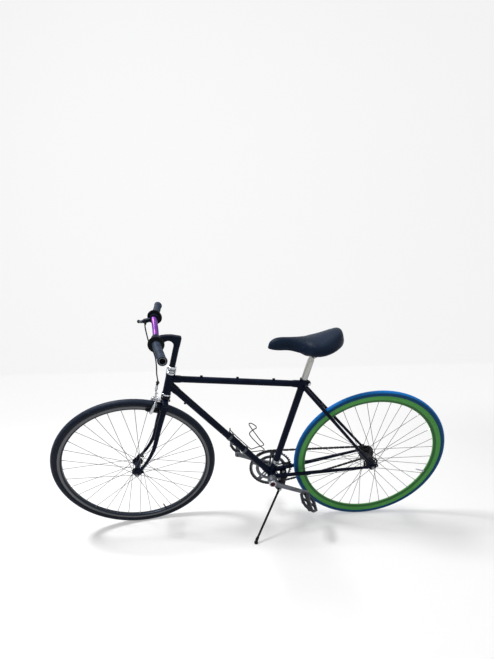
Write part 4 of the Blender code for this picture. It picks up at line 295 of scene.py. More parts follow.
class Finish:
    """One material's nodes, on the piece's own coordinates in metres."""

    def __init__(self, name, **fixed):
        self.material = bpy.data.materials.new(name)
        self.material.use_nodes = True
        self.tree = self.material.node_tree
        self.shader = self.tree.nodes["Principled BSDF"]
        for word, number in fixed.items():
            self.shader.inputs[word.replace("_", " ").title().replace("Ior", "IOR")].default_value = number
        self.where = self.node("TexCoord").outputs["Object"]

    def node(self, kind, settings=None, inputs=None):
        """Any node: its type, its settings, then the values or links of its sockets."""
        made = self.tree.nodes.new("ShaderNode" + kind)
        for word, setting in (settings or {}).items():
            setattr(made, word, setting)
        for word, source in (inputs or {}).items():
            source = source.socket if isinstance(source, Value) else source
            if isinstance(source, bpy.types.NodeSocket):
                self.tree.links.new(source, made.inputs[word])
            else:
                made.inputs[word].default_value = source
        return made

    def noise(self, scale, detail, stretch=(1, 1, 1)):
        """Cloudy noise from 0 to 1 on the piece's own coordinates, which stretch scales axis by axis."""
        place = self.node("Mapping", None, {"Vector": self.where, "Scale": stretch}).outputs["Vector"]
        made = self.node("TexNoise", None, {"Vector": place, "Scale": scale, "Detail": detail})
        return Value(self, made.outputs[0])

    def along(self):
        """How far along the piece in metres and how far round it from 0 to 1."""
        place = self.node("UVMap", {"uv_map": "along"}).outputs["UV"]
        parts = self.node("SeparateXYZ", None, {"Vector": place})
        return Value(self, parts.outputs["X"]), Value(self, parts.outputs["Y"])

    def mix(self, share, one, two):
        """The first colour at share 0 and the second at share 1."""
        one, two = ((*c, 1) if isinstance(c, tuple) else c for c in (one, two))
        return self.node("Mix", {"data_type": "RGBA"}, {0: share, 6: one, 7: two}).outputs[2]

    def bump(self, height, depth, strength):
        """Relief from a height of 0 to 1, that deep in metres."""
        made = self.node("Bump", None, {"Height": height, "Distance": depth, "Strength": strength})
        self.feed("Normal", made.outputs["Normal"])

    def feed(self, word, source):
        """Links a value or a colour to one of the shader's sockets."""
        source = source.socket if isinstance(source, Value) else source
        self.tree.links.new(source, self.shader.inputs[word])


def worn(name, main, shade, mark, marks, rough, grain, depth, stretch=(1, 1, 1), cloud=14, streak=0.0,
         **fixed):
    """A surface in two close shades by a wide noise, with small marks of a third colour and a fine grain."""
    made = Finish(name, **fixed)
    wide = made.noise(cloud, 3, stretch).spread(0.35, 0.65)
    spots = made.noise(cloud * 13, 4).spread(0.62, 0.74) * marks
    fine = made.noise(grain, 2, stretch)
    made.feed("Base Color", made.mix(spots, made.mix(wide, main, shade), mark))
    made.feed("Roughness", wide * 0.08 + spots * 0.35 + fine * streak + rough)
    made.bump(fine, depth, 0.6)
    return made.material


STEEL_MARK = (0.20, 0.13, 0.08)
RIM_NOSE = 0.41
paint = worn("black_gloss_paint", (0.0018, 0.0040, 0.0130), (0.0032, 0.0062, 0.0180), (0.040, 0.052, 0.074),
             0.22, 0.24, 500, 0.00003, Specular_IOR_Level=0.055)
black_alloy = worn("black_alloy", (0.0022, 0.0048, 0.0130), (0.0040, 0.0075, 0.0180), (0.040, 0.052, 0.070),
                   0.22, 0.30, 1500, 0.00003, Specular_IOR_Level=0.06)
black_steel = worn("black_steel", (0.0050, 0.0055, 0.0085), (0.0090, 0.0096, 0.0130), (0.060, 0.050, 0.044),
                   0.30, 0.42, 1200, 0.00005, Specular_IOR_Level=0.12)
pedal_black = worn("pedal_black", (0.009, 0.011, 0.017), (0.018, 0.022, 0.030), (0.08, 0.085, 0.095), 0.40,
                   0.34, 1200, 0.00005, Specular_IOR_Level=0.25)
chrome = worn("chrome_plate", (0.52, 0.545, 0.58), (0.34, 0.365, 0.40), STEEL_MARK, 0.35, 0.14, 1800, 0.00002,
              Metallic=1.0)
alloy = worn("brushed_alloy", (0.30, 0.31, 0.33), (0.20, 0.21, 0.23), (0.07, 0.06, 0.05), 0.40, 0.30, 1400,
             0.00004, (1, 1, 6), streak=0.12, Metallic=1.0)
cast_alloy = worn("polished_cast_alloy", (0.50, 0.515, 0.54), (0.31, 0.325, 0.345), (0.08, 0.07, 0.06), 0.40,
                  0.24, 1400, 0.00005, Metallic=1.0)
dark_steel = worn("oily_dark_steel", (0.010, 0.011, 0.015), (0.021, 0.021, 0.024), (0.080, 0.055, 0.040),
                  0.40, 0.42, 1600, 0.00006, cloud=40, Specular_IOR_Level=0.3, Metallic=0.6)
clamp_steel = worn("grimy_clamp_steel", (0.080, 0.088, 0.105), (0.045, 0.050, 0.060), (0.10, 0.06, 0.04), 0.5,
                   0.36, 1500, 0.00005, cloud=60, Metallic=0.9)
spoke_steel = worn("spoke_steel", (0.062, 0.066, 0.076), (0.040, 0.041, 0.048), STEEL_MARK, 0.4, 0.30, 1500,
                   0.00002, Metallic=1.0)
brass = worn("nickelled_brass", (0.36, 0.35, 0.32), (0.26, 0.25, 0.22), STEEL_MARK, 0.4, 0.3, 1500, 0.00002,
             Metallic=1.0)
pad_rubber = worn("black_rubber", (0.0060, 0.0065, 0.0080), (0.0110, 0.0115, 0.0130), (0.035, 0.034, 0.033),
                  0.3, 0.75, 1200, 0.00010, Specular_IOR_Level=0.10)
dull_red = worn("dull_red_cap", (0.045, 0.004, 0.006), (0.022, 0.003, 0.005), (0.06, 0.03, 0.03), 0.3, 0.4,
                900, 0.00004, Specular_IOR_Level=0.10)
sleeve = worn("cable_sleeve", (0.012, 0.014, 0.020), (0.020, 0.023, 0.031), (0.07, 0.072, 0.08), 0.25, 0.34,
              1500, 0.00002, Specular_IOR_Level=0.25)


def purple_finish():
    """Anodised purple in two close shades, the same all round the bar, with fine paler scuffs."""
    made = Finish("purple_anodised", Specular_IOR_Level=0.3, Metallic=0.8)
    wide = made.noise(30, 3).spread(0.3, 0.7)
    scuffs = made.noise(300, 4).spread(0.62, 0.74) * 0.3
    body = made.mix(wide, (0.120, 0.034, 0.215), (0.090, 0.022, 0.160))
    made.feed("Base Color", made.mix(scuffs, body, (0.20, 0.11, 0.28)))
    made.feed("Roughness", scuffs * 0.3 + wide * 0.06 + 0.36)
    made.bump(made.noise(1500, 2), 0.00003, 0.6)
    return made.material


def post_finish():
    """Plated steel, the same all round: a warm grey plate, cooler where a noise dulls it, in small spots."""
    made = Finish("plated_post_steel", Metallic=1.0)
    wide = made.noise(25, 3, (1, 1, 0.4)).spread(0.3, 0.7)
    spots = made.noise(300, 4).spread(0.60, 0.74) * 0.3
    body = made.mix(wide, (0.46, 0.45, 0.42), (0.34, 0.35, 0.34))
    made.feed("Base Color", made.mix(spots, body, (0.08, 0.07, 0.06)))
    made.feed("Roughness", spots * 0.3 + wide * 0.06 + 0.16)
    made.bump(made.noise(1500, 2), 0.00003, 0.6)
    return made.material


def green_rim_finish():
    """Green enamel: two close greens, a band of painted shade where the walls curve in, and dust in specks.
    """
    made = Finish("green_enamel", Specular_IOR_Level=0.2)
    _, across = made.along()
    wide = made.noise(9, 3).spread(0.3, 0.7)
    dust = made.noise(160, 5).spread(0.60, 0.75) * 0.35
    from_nose = across.distance_from(RIM_NOSE)
    # painted shade: the green darkens in a band on each wall where it curves in towards the nose
    painted_curve_shade = from_nose.spread(0.035, 0.055) * (1 - from_nose.spread(0.155, 0.185))
    body = made.mix(wide, (0.056, 0.255, 0.047), (0.071, 0.295, 0.060))
    body = made.mix(painted_curve_shade * 0.80, body, (0.010, 0.070, 0.022))
    made.feed("Base Color", made.mix(dust, body, (0.03, 0.09, 0.03)))
    made.feed("Roughness", dust * 0.4 + wide * 0.05 + 0.36)
    made.bump(made.noise(900, 2), 0.00003, 0.5)
    return made.material


def grey_rim_finish():
    """Dark anodised alloy with a worn brake track, a paler band on each side wall that runs in fine rings."""
    made = Finish("grey_alloy_rim", Specular_IOR_Level=0.3, Metallic=0.6)
    _, across = made.along()
    ring_rate = 900
    rings = (across * ring_rate).sine() * 0.5 + 0.5
    wide = made.noise(12, 3).spread(0.3, 0.7)
    from_nose = across.distance_from(RIM_NOSE)
    track = from_nose.spread(0.150, 0.175) * (1 - from_nose.spread(0.370, 0.400))
    body = made.mix(wide, (0.008, 0.012, 0.021), (0.013, 0.018, 0.030))
    worn_track = made.mix(rings * 0.30, (0.090, 0.091, 0.096), (0.17, 0.172, 0.180))
    made.feed("Base Color", made.mix(track, body, worn_track))
    made.feed("Roughness", rings * 0.12 + 0.30)
    made.bump(rings, 0.00003, 0.4)
    return made.material


def tyre_finish(name, tread, wall, grime):
    """Rubber: the tread in the middle of the section, the wall beyond it in a darker colour that is partly
    its own and partly painted shade along the bead by the rim, and fine slanted sipes.
    """
    made = Finish(name, Specular_IOR_Level=0.12)
    around, across = made.along()
    off_centre = across.distance_from(0.5) * 2
    # painted shade: the darker wall colour is the rubber's own darker wall and also stands for the shade
    # along the bead by the rim
    wall_tone_and_bead_shade = off_centre.spread(0.40, 0.66)
    spots = made.noise(110, 5).spread(0.55, 0.75) * 0.3
    made.feed("Base Color", made.mix(spots, made.mix(wall_tone_and_bead_shade, tread, wall), grime))
    made.feed("Roughness", spots * 0.2 + 0.50)
    sipe_rate, sipe_slant, sipe_depth = 1400, 9, 0.0005
    slant = around * sipe_rate + off_centre * sipe_slant
    shoulder = off_centre.spread(0.20, 0.26) * (1 - off_centre.spread(0.44, 0.50))
    sipes = slant.sine().spread(0.2, 0.7) * shoulder
    made.bump(made.noise(1300, 2) * 0.25 - sipes, sipe_depth, 0.8)
    return made.material


def grip_finish():
    """Dark ribbed rubber, dusty in small spots, with a fine grain."""
    made = Finish("grip_rubber", Specular_IOR_Level=0.12)
    wide = made.noise(45, 4).spread(0.3, 0.7)
    spots = made.noise(300, 4).spread(0.55, 0.72) * 0.4
    body = made.mix(wide, (0.009, 0.017, 0.036), (0.026, 0.042, 0.072))
    made.feed("Base Color", made.mix(spots, body, (0.09, 0.105, 0.13)))
    made.feed("Roughness", spots * 0.2 + 0.55)
    made.bump(made.noise(1500, 3), 0.00012, 0.6)
    return made.material


def saddle_finish():
    """Black vinyl: a pebbled grain from cells, with a soft sheen where it is polished by wear."""
    made = Finish("saddle_vinyl", Specular_IOR_Level=0.08)
    wide = made.noise(10, 3).spread(0.35, 0.65)
    cells = made.node("TexVoronoi", {"feature": "DISTANCE_TO_EDGE"}, {"Vector": made.where, "Scale": 620.0})
    pebble = Value(made, cells.outputs["Distance"]).spread(0.0, 0.25)
    scuffs = made.noise(90, 5, (1, 3, 1)).spread(0.62, 0.78) * 0.3
    body = made.mix(wide, (0.0030, 0.0085, 0.0210), (0.0046, 0.0120, 0.0280))
    made.feed("Base Color", made.mix(scuffs, body, (0.040, 0.055, 0.080)))
    made.feed("Roughness", wide * 0.10 + scuffs * 0.2 + 0.30)
    made.bump(pebble + made.noise(60, 2) * 0.8, 0.00022, 0.55)
    return made.material


purple = purple_finish()
post_steel = post_finish()
green_enamel = green_rim_finish()
grey_rim_alloy = grey_rim_finish()
# each tyre's second colour is its wall: its own darker tone, with painted shade by the rim
blue_rubber = tyre_finish("blue_tyre_rubber", (0.002, 0.142, 0.46), (0.002, 0.045, 0.125), (0.03, 0.06, 0.11))
black_rubber = tyre_finish("black_tyre_rubber", (0.0075, 0.0135, 0.0280), (0.0034, 0.0062, 0.0140),
                           (0.055, 0.062, 0.075))
grip_rubber = grip_finish()
vinyl = saddle_finish()


class Piece:
    """One object made of closed surfaces, each a grid of points with its own finish."""

    def __init__(self, name, body, slot, place=None):
        self.name, self.body, self.slot, self.place = name, body, slot, BIKE if place is None else place
        self.points, self.faces, self.numbers, self.maps, self.finishes = [], [], [], [], []
        self.total = 0

    def add(self, grid, finish, place=None, ring=False):
        """Adds one closed surface, its faces outwards: rows run along it, columns round it, and flat lids
        close its ends; a ring's rows close on themselves instead."""
        grid = np.asarray(grid, float)
        n, m = grid.shape[:2]
        points = moved(grid.reshape(-1, 3), self.place if place is None else self.place @ place)
        i, j = (a.ravel() for a in np.meshgrid(np.arange(n if ring else n - 1), np.arange(m), indexing="ij"))
        rows, columns = np.stack([i, i + 1, i + 1, i], 1), np.stack([j, j, j + 1, j + 1], 1)
        quads = (rows % n) * m + columns % m
        middle = grid.mean(1)
        steps = np.linalg.norm(np.roll(middle, -1, 0) - middle, axis=1)
        if steps.sum() < 1e-6 * n:
            steps = np.linalg.norm(np.roll(grid[:, 0], -1, 0) - grid[:, 0], axis=1)
        length = np.concatenate([[0], np.cumsum(steps)])
        place_map = np.stack([length[rows], columns / m], -1)
        lids = [] if ring else [np.arange(m)[::-1], (n - 1) * m + np.arange(m)]
        centred = points - points.mean(0)
        corner = centred[quads]
        flux = np.einsum("ij,ij->", corner[:, 0], np.cross(corner[:, 1], corner[:, 2]))
        flux += np.einsum("ij,ij->", corner[:, 0], np.cross(corner[:, 2], corner[:, 3]))
        for lid in lids:
            fan = centred[lid]
            flux += np.einsum("j,ij->", fan[0], np.cross(fan[1:-1], fan[2:]))
        if flux < 0:
            quads, place_map, lids = quads[:, ::-1], place_map[:, ::-1], [lid[::-1] for lid in lids]
        if finish not in self.finishes:
            self.finishes.append(finish)
        number = self.finishes.index(finish)
        self.points.append(points)
        self.faces += (quads + self.total).tolist() + [(lid + self.total).tolist() for lid in lids]
        self.numbers += [number] * (len(quads) + len(lids))
        self.maps.append(place_map.reshape(-1, 2))
        self.maps += [np.zeros((len(lid), 2)) for lid in lids]
        self.total += len(points)

    def add_ring(self, profile, ease, count, finish, place=None):
        """Adds a closed profile of (radius, height), its corners eased, turned about Z."""
        self.add(turned(soft(profile, ease, True), count), finish, place, ring=True)

    def add_turned(self, profile, ease, count, finish, place=None):
        """Adds an open profile of (radius, height), its corners eased, turned about Z and closed by lids."""
        self.add(turned(soft(profile, ease), count), finish, place)

    def done(self, *nodes, angle=38):
        """Makes the object, lets it ride on its body, and hides the model's nodes that it stands for."""
        mesh = bpy.data.meshes.new(self.name)
        mesh.from_pydata(np.vstack(self.points).tolist(), [], self.faces)
        for finish in self.finishes:
            mesh.materials.append(finish)
        mesh.polygons.foreach_set("material_index", np.array(self.numbers, np.int32))
        places = np.vstack(self.maps).ravel().astype(np.float32)
        mesh.uv_layers.new(name="along").data.foreach_set("uv", places)
        mesh.shade_smooth()
        mesh.set_sharp_from_angle(angle=radians(angle))
        made = bpy.data.objects.new(self.name, mesh)
        bpy.context.scene.collection.objects.link(made)
        if self.body:
            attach(made, self.body)
        if nodes:
            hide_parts(*nodes)
        return made


def box_ring(inner, outer, low, high):
    """The four corners of a plain ring's profile, as (radius, height)."""
    return [(inner, low), (outer, low), (outer, high), (inner, high)]


def nut(radius, low, high):
    """A six-sided nut with chamfered corners, along Z."""
    edge = min(0.0008, (high - low) * 0.2)
    return turned([(radius * 0.5, low), (radius * 0.88, low), (radius, low + edge), (radius, high - edge),
                   (radius * 0.88, high), (radius * 0.5, high)], 48, flats=6)


def disc(radius, low, high, ease=0.0005, count=40):
    """A plain disc or pin with eased rims, along Z and closed."""
    return turned(soft(box_ring(0, radius, low, high), ease), count)


def bolt_head(radius, low, high, socket=0.5):
    """A round bolt head with a hollow for its key, along Z and closed."""
    deep, hollow = high - 0.6 * (high - low), radius * socket
    profile = [(0, low), (radius, low), (radius, high), (hollow, high), (hollow, deep), (0, deep)]
    return turned(soft(profile, 0.0004), 32)


def band(centre, direction, inner, outer, width, finish, piece, count=48):
    """Adds a flat ring round an axis to a piece."""
    piece.add_ring(box_ring(inner, outer, -width / 2, width / 2), 0.0005, count, finish,
                   aimed(centre, direction))


# Wheels: made about Z and laid so that the axle runs along Y, to the right


def tyre(name, node, body, place, slot, finish, radius, width, rim_radius, rim_width):
    """A tyre whose section is a circle, a little proud at the tread, with shallow grooves and two beads."""
    section, centre = width / 2, radius - width / 2
    reach = acos((rim_radius - centre + 0.0008) / section)
    angle = np.linspace(-reach, reach, 45)
    share = abs(angle) / reach
    groove = 0.0007 * np.exp(-((share - 0.19) / 0.016) ** 2) + 0.0006 * np.exp(-((share - 0.52) / 0.012) ** 2)
    proud = section - groove
    outer = np.stack([centre + proud * np.cos(angle), proud * np.sin(angle)], 1)
    bead = rim_width / 2 - 0.0022
    inner = np.array([(rim_radius - 0.0045, bead), (rim_radius - 0.0045, -bead)])
    profile = np.vstack([outer, inner])
    made = Piece(name, body, slot, place)
    made.add(np.swapaxes(about_y(turned(profile, 192)), 0, 1), finish, ring=True)
    world = made.points[0]
    world[:, 2] = np.maximum(world[:, 2], GROUND_CLEAR)
    made.done(node)


def rim_piece(name, node, body, place, slot, finish, radius, depth, width, nose, belly):
    """A rim: hooked edges, flat brake tracks, then walls that curve into the nose that holds the nipples."""
    half, well = width / 2, radius - 0.009
    walls = [(radius, half - 0.0016), (radius, half - 0.0004), (radius - 0.0006, half),
             (radius - 0.0105, half), (radius - 0.0110, half - 0.0003)]
    curve = [(radius - depth * s, half - 0.0003 - (half - nose / 2) * ((s - 0.35) / 0.65) ** belly)
             for s in np.linspace(0.40, 0.97, 8)]
    side = walls + curve + [(radius - depth, nose / 2 - 0.0012)]
    mirrored = [(r, -h) for r, h in side[::-1]]
    profile = side + mirrored + [(radius - 0.0006, -half + 0.0020), (well, -half + 0.0024), (well - 0.001, 0),
                                 (well, half - 0.0024), (radius - 0.0006, half - 0.0020)]
    made = Piece(name, body, slot, place)
    made.add(np.swapaxes(about_y(turned(profile, 192)), 0, 1), finish, ring=True)
    made.done(node)


def lacing(piece, left_flange, right_flange, hole_circle, rim_inner):
    """Spokes that leave their flange by an elbow and end in a nipple; they lead and trail by pairs."""
    count, crossings = 36, 3
    sweep_angle = crossings * 4 * pi / count
    for k in range(count):
        rim_angle = 2 * pi * k / count
        side = 1 if k % 2 else -1
        flange = right_flange if k % 2 else -left_flange
        lead = -1 if (k // 2) % 2 else 1
        hub_angle = rim_angle + lead * sweep_angle
        outside = side * lead
        hole = np.array([hole_circle * cos(hub_angle), flange, hole_circle * sin(hub_angle)])
        reach = rim_inner + 0.001
        end = np.array([reach * cos(rim_angle), 0.002 * side, reach * sin(rim_angle)])
        start = hole + np.array([0, outside * 0.0028, 0])
        head = hole - np.array([0, outside * 0.0026, 0])
        ahead = unit(end - start)
        path = np.array([head, hole, start - ahead * 0.0006, start + ahead * 0.0022, start + ahead * 0.006,
                         end])
        piece.add(round_rod(path, SPOKE_RADIUS, 6, side=np.cross(ahead, (0, 1, 0)) + 0.01), spoke_steel)
        piece.add(disc(0.0021, -0.0003, 0.0010, 0.0005, 10), spoke_steel, aimed(head, (0, -outside, 0)))
        profile = [(0.0010, 0), (0.00175, 0.0003), (0.00175, 0.0085), (0.0022, 0.0100), (0.0022, 0.0125)]
        piece.add(turned(profile, 8), brass, aimed(end - ahead * 0.0112, ahead))


def front_wheel():
    """Tyre, box rim, black hub with slim flanges, spokes, valve and axle."""
    radius, depth, tyre_width = 0.3175, 0.019, 0.031
    tyre("front_tyre_cover", "front_tyre", "front_wheel", FRONT_WHEEL, "black_tyre", black_rubber,
         FRONT_AXLE[2], tyre_width, radius, FRONT_RIM_WIDTH)
    rim_piece("front_rim_hoop", "front_rim", "front_wheel", FRONT_WHEEL, "grey_rim", grey_rim_alloy, radius,
              depth, FRONT_RIM_WIDTH, 0.016, 3.0)
    hub = Piece("front_hub_laced", "front_wheel", "black_metal", FRONT_WHEEL)
    profile = [(0.0051, 0.045), (0.0118, 0.045), (0.0130, 0.0435), (0.0130, 0.0400), (0.0112, 0.0385),
               (0.0112, 0.0358), (0.0215, 0.0356), (0.0226, 0.0348), (0.0226, 0.0334), (0.0215, 0.0326),
               (0.0150, 0.0322), (0.0120, 0.027), (0.0112, 0.012), (0.0110, 0)]
    profile = soft(profile + [(r, -h) for r, h in profile[-2::-1]], 0.0005)
    hub.add(about_y(turned(profile, 64)), black_alloy)
    lacing(hub, 0.034, 0.034, 0.0180, radius - depth)
    hub.done("front_hub")
    valve("front_valve_stem", "front_valve", "front_wheel", FRONT_WHEEL, "black_metal", black_steel,
          radius - depth, 0.031, radians(-55.8))
    axle("front_axle_set", "front_axle", "fork_group", FRONT_WHEEL, 0.050)


def rear_wheel():
    """Tyre, deep rim, dark hub whose flanges have nine bridges each, spokes, valve and axle."""
    radius, depth, tyre_width = 0.3185, 0.0325, 0.0255
    tyre("rear_tyre_cover", "rear_tyre", "rear_wheel", REAR_WHEEL, "blue_tyre", blue_rubber, REAR_AXLE[2],
         tyre_width, radius, REAR_RIM_WIDTH)
    rim_piece("rear_rim_hoop", "rear_rim", "rear_wheel", REAR_WHEEL, "green_rim", green_enamel, radius, depth,
              REAR_RIM_WIDTH, 0.007, 1.25)
    hub = Piece("rear_hub_laced", "rear_wheel", "dark_steel", REAR_WHEEL)
    left, right = 0.036, 0.025
    barrel = [(0.0051, 0.0372), (0.0132, 0.0372), (0.0140, 0.0360), (0.0140, right + 0.003), (0.0170, right),
              (0.0170, right - 0.004), (0.0150, 0.012), (0.0150, -0.020), (0.0170, -left + 0.004),
              (0.0170, -left), (0.0140, -left - 0.003), (0.0140, -0.0365), (0.0130, -0.0372),
              (0.0051, -0.0372)]
    hub.add(about_y(turned(soft(barrel, 0.0008), 64)), dark_steel)
    for place in (-left, right):
        for inner, outer in ((0.0135, 0.0212), (0.0236, 0.0312)):
            ring = soft(box_ring(inner, outer, -0.0015, 0.0015), 0.0005, True)
            hub.add(about_y(turned(ring, 72)), dark_steel, shift(0, place, 0), ring=True)
        for k in range(9):
            spot = turn("y", 2 * pi * k / 9)
            path = [(0.0175, place, 0), (0.0255, place, 0)]
            hub.add(sweep(path, oval([0.0062, 0.0074], [0.0026, 0.0026], 4, 12), (0, 0, 1)), dark_steel, spot)
    lacing(hub, left, right, 0.0278, radius - depth)
    hub.done("rear_hub")
    valve("rear_valve_stem", "rear_valve", "rear_wheel", REAR_WHEEL, "chrome", chrome, radius - depth, 0.041,
          radians(-17.8))
    axle("rear_axle_set", "rear_axle", "frame", REAR_WHEEL, 0.060)


def valve(name, node, body, place, slot, finish, rim_inner, length, angle):
    """A valve with its threaded stem, its lock ring at the rim and its cap."""
    made = Piece(name, body, slot, place)
    direction = np.array([cos(angle), 0, sin(angle)])
    spot = aimed(direction * (rim_inner + 0.001), -direction)
    made.add(disc(0.0052, 0.0, 0.0030, 0.0006, 24), finish, spot)
    turns = 25
    heights = np.linspace(0.003, length * 0.66, turns)
    radii = 0.0027 + 0.00022 * (np.arange(turns) % 2)
    made.add(turned(np.stack([radii, heights], 1), 16), finish, spot)
    cap = [(0.0031, length * 0.62), (0.0032, length * 0.80), (0.0026, length * 0.92),
           (0.0014, length * 0.985), (0, length)]
    made.add_turned(cap, 0.0008, 16, finish, spot)
    made.done(node)


def axle(name, node, body, place, inner):
    """A threaded axle with cones inside the fork ends, and a washer, a nut and a bare end outside them."""
    made = Piece(name, body, "alloy", place)
    outer = inner + END_THICKNESS + SEAM
    made.add(about_y(turned([(0, -outer - 0.0095), (0.0040, -outer - 0.0095), (0.0048, -outer - 0.0087),
                             (0.0048, outer + 0.0087), (0.0040, outer + 0.0095), (0, outer + 0.0095)], 24)),
             alloy)
    for sign in (-1, 1):
        spot = aimed((0, sign * outer, 0), (0, sign, 0), (1, 0, 0))
        made.add_turned(box_ring(0.0045, 0.0098, 0, 0.0014), 0.0003, 40, black_steel, spot)
        made.add(nut(0.0087, 0.0015, 0.0072), clamp_steel, spot)
        cone = aimed((0, sign * (inner - 0.0004), 0), (0, -sign, 0), (1, 0, 0))
        profile = [(0.0045, 0), (0.0078, 0), (0.0078, 0.0028), (0.0060, 0.0045), (0.0045, 0.0046)]
        made.add(turned(profile, 32), black_steel, cone)
    made.done(node)


front_wheel()
rear_wheel()


# Frame


def straight(start, end, radius):
    """A plain round tube with flat ends."""
    return round_rod([start, end], radius, 40)


def lug(start, direction, radius, length, point=0.35, wall=0.0019):
    """A brazed sleeve: its reach is length times (1 - point times (0.5 + 0.5 cos 2a) to the power 1.5), so
    that its far edge runs in two points round the tube, and its wall thins to nothing there."""
    share = np.array([0, 0.5, 0.8, 0.93, 0.985, 1.0])[:, None]
    angle = np.linspace(0, 2 * pi, 64, endpoint=False)[None, :]
    reach = length * (1 - point * (0.5 + 0.5 * np.cos(2 * angle)) ** 1.5)
    high = share * reach
    thick = radius + wall * np.array([1, 1, 0.96, 0.8, 0.4, -0.3])[:, None] + 0 * angle
    grid = np.stack([thick * np.cos(angle), thick * np.sin(angle), high], -1)
    return moved(grid, aimed(start, direction))


def head_tube_piece():
    """The flared head tube, a raised band near each end, and the lugs of both tubes behind it."""
    low = STEER_FOOT + HEAD_LOW * STEER_DIRECTION
    head = Piece("head_tube_lugged", "frame", "black_paint")
    flare = [(0.0170, 0), (0.0170, 0.004), (0.0162, 0.010), (0.0160, 0.020), (0.0160, 0.078), (0.0162, 0.088),
             (0.0170, 0.0935), (0.0170, 0.0975)]
    head.add_turned(flare, 0.002, 64, paint, aimed(low, STEER_DIRECTION))
    for place in (0.0055, 0.0920):
        band(low + place * STEER_DIRECTION, STEER_DIRECTION, 0.0150, 0.0176, 0.0022, paint, head, 64)
    head.add(lug(TOP_TUBE_START, TOP_TUBE_DIRECTION, TOP_TUBE_RADIUS, 0.052), paint)
    head.add(lug(DOWN_TUBE_START, DOWN_TUBE_DIRECTION, MAIN_TUBE_RADIUS, 0.056), paint)
    head.done("head_tube")


def top_tube_end():
    """Where the top tube's middle line meets the seat tube's."""
    across = np.array([-SEAT_DIRECTION[2], 0, SEAT_DIRECTION[0]])
    reach = (BRACKET - TOP_TUBE_START).dot(across) / TOP_TUBE_DIRECTION.dot(across)
    return TOP_TUBE_START + reach * TOP_TUBE_DIRECTION


def top_tube_piece():
    """The top tube with three small cable loops along its top, each on a low foot."""
    start, end = TOP_TUBE_START + 0.012 * TOP_TUBE_DIRECTION, top_tube_end() - 0.010 * TOP_TUBE_DIRECTION
    top = Piece("top_tube_round", "frame", "black_paint")
    top.add(straight(start, end, TOP_TUBE_RADIUS), paint)
    loop_length, loop_lift, foot_half, foot_drop = 0.010, 0.0020, 0.006, (0, 0, 0.0034)
    for place in (0.122, 0.260, 0.400):
        centre = TOP_TUBE_START + place * TOP_TUBE_DIRECTION + np.array([0, 0, TOP_TUBE_RADIUS + loop_lift])
        spot = aimed(centre - loop_length / 2 * TOP_TUBE_DIRECTION, TOP_TUBE_DIRECTION)
        top.add_ring(box_ring(0.0019, 0.0044, 0, loop_length), 0.0005, 24, paint, spot)
        ahead = foot_half * TOP_TUBE_DIRECTION
        foot = [centre - ahead - foot_drop, centre + ahead - foot_drop]
        line = flow([foot[0], (foot[0] + foot[1]) / 2, foot[1]], 4)
        top.add(sweep(line, oval(0.0060, 0.0030, 3, 16)), paint)
    top.done("top_tube")


def down_tube_piece():
    """The down tube with one turned boss below its upper end."""
    start, end = DOWN_TUBE_START + 0.024 * DOWN_TUBE_DIRECTION, BRACKET - 0.010 * DOWN_TUBE_DIRECTION
    down = Piece("down_tube_round", "frame", "black_paint")
    down.add(straight(start, end, MAIN_TUBE_RADIUS), paint)
    boss = DOWN_TUBE_START + 0.101 * DOWN_TUBE_DIRECTION
    below = np.array([DOWN_TUBE_DIRECTION[2], 0, -DOWN_TUBE_DIRECTION[0]])
    profile = [(0, 0.010), (0.0050, 0.012), (0.0045, 0.0145), (0.0045, 0.0200), (0.0030, 0.0213), (0, 0.0213)]
    down.add_turned(profile, 0.0006, 24, paint, aimed(boss, below))
    down.done("down_tube")


def seat_tube_piece():
    """The seat tube, and low on it a clamp band with two ears and their bolt."""
    seat = Piece("seat_tube_round", "frame", "black_paint")
    seat.add(straight(BRACKET + 0.010 * SEAT_DIRECTION, BRACKET + 0.482 * SEAT_DIRECTION, MAIN_TUBE_RADIUS),
             paint)
    centre = BRACKET + 0.074 * SEAT_DIRECTION
    band(centre, SEAT_DIRECTION, 0.0140, 0.0161, 0.014, cast_alloy, seat)
    ear = [(0.0065, -0.022), (0.0065, 0.010), (0.0035, 0.0135), (-0.0035, 0.0135), (-0.0060, 0.010),
           (-0.0060, -0.022), (-0.0035, -0.0250), (0.0035, -0.0250)]
    for gap in (-0.0026, 0.0026):
        seat.add(slab(soft(ear, 0.002, True), 0.0024, 0.0005), cast_alloy,
                 aimed(centre + (0.001, -0.0178, 0), SEAT_DIRECTION) @ turn("x", pi / 2) @ shift(0, gap, 0))
    seat.add(bolt_head(0.0042, 0.0, 0.0045), chrome, aimed(centre + (-0.004, -0.0195, 0), (-1, 0, 0)))
    seat.add(disc(0.0030, 0, 0.014, 0.0004, 20), chrome, aimed(centre + (-0.006, -0.0195, 0), (1, 0, 0)))
    seat.done("seat_tube")


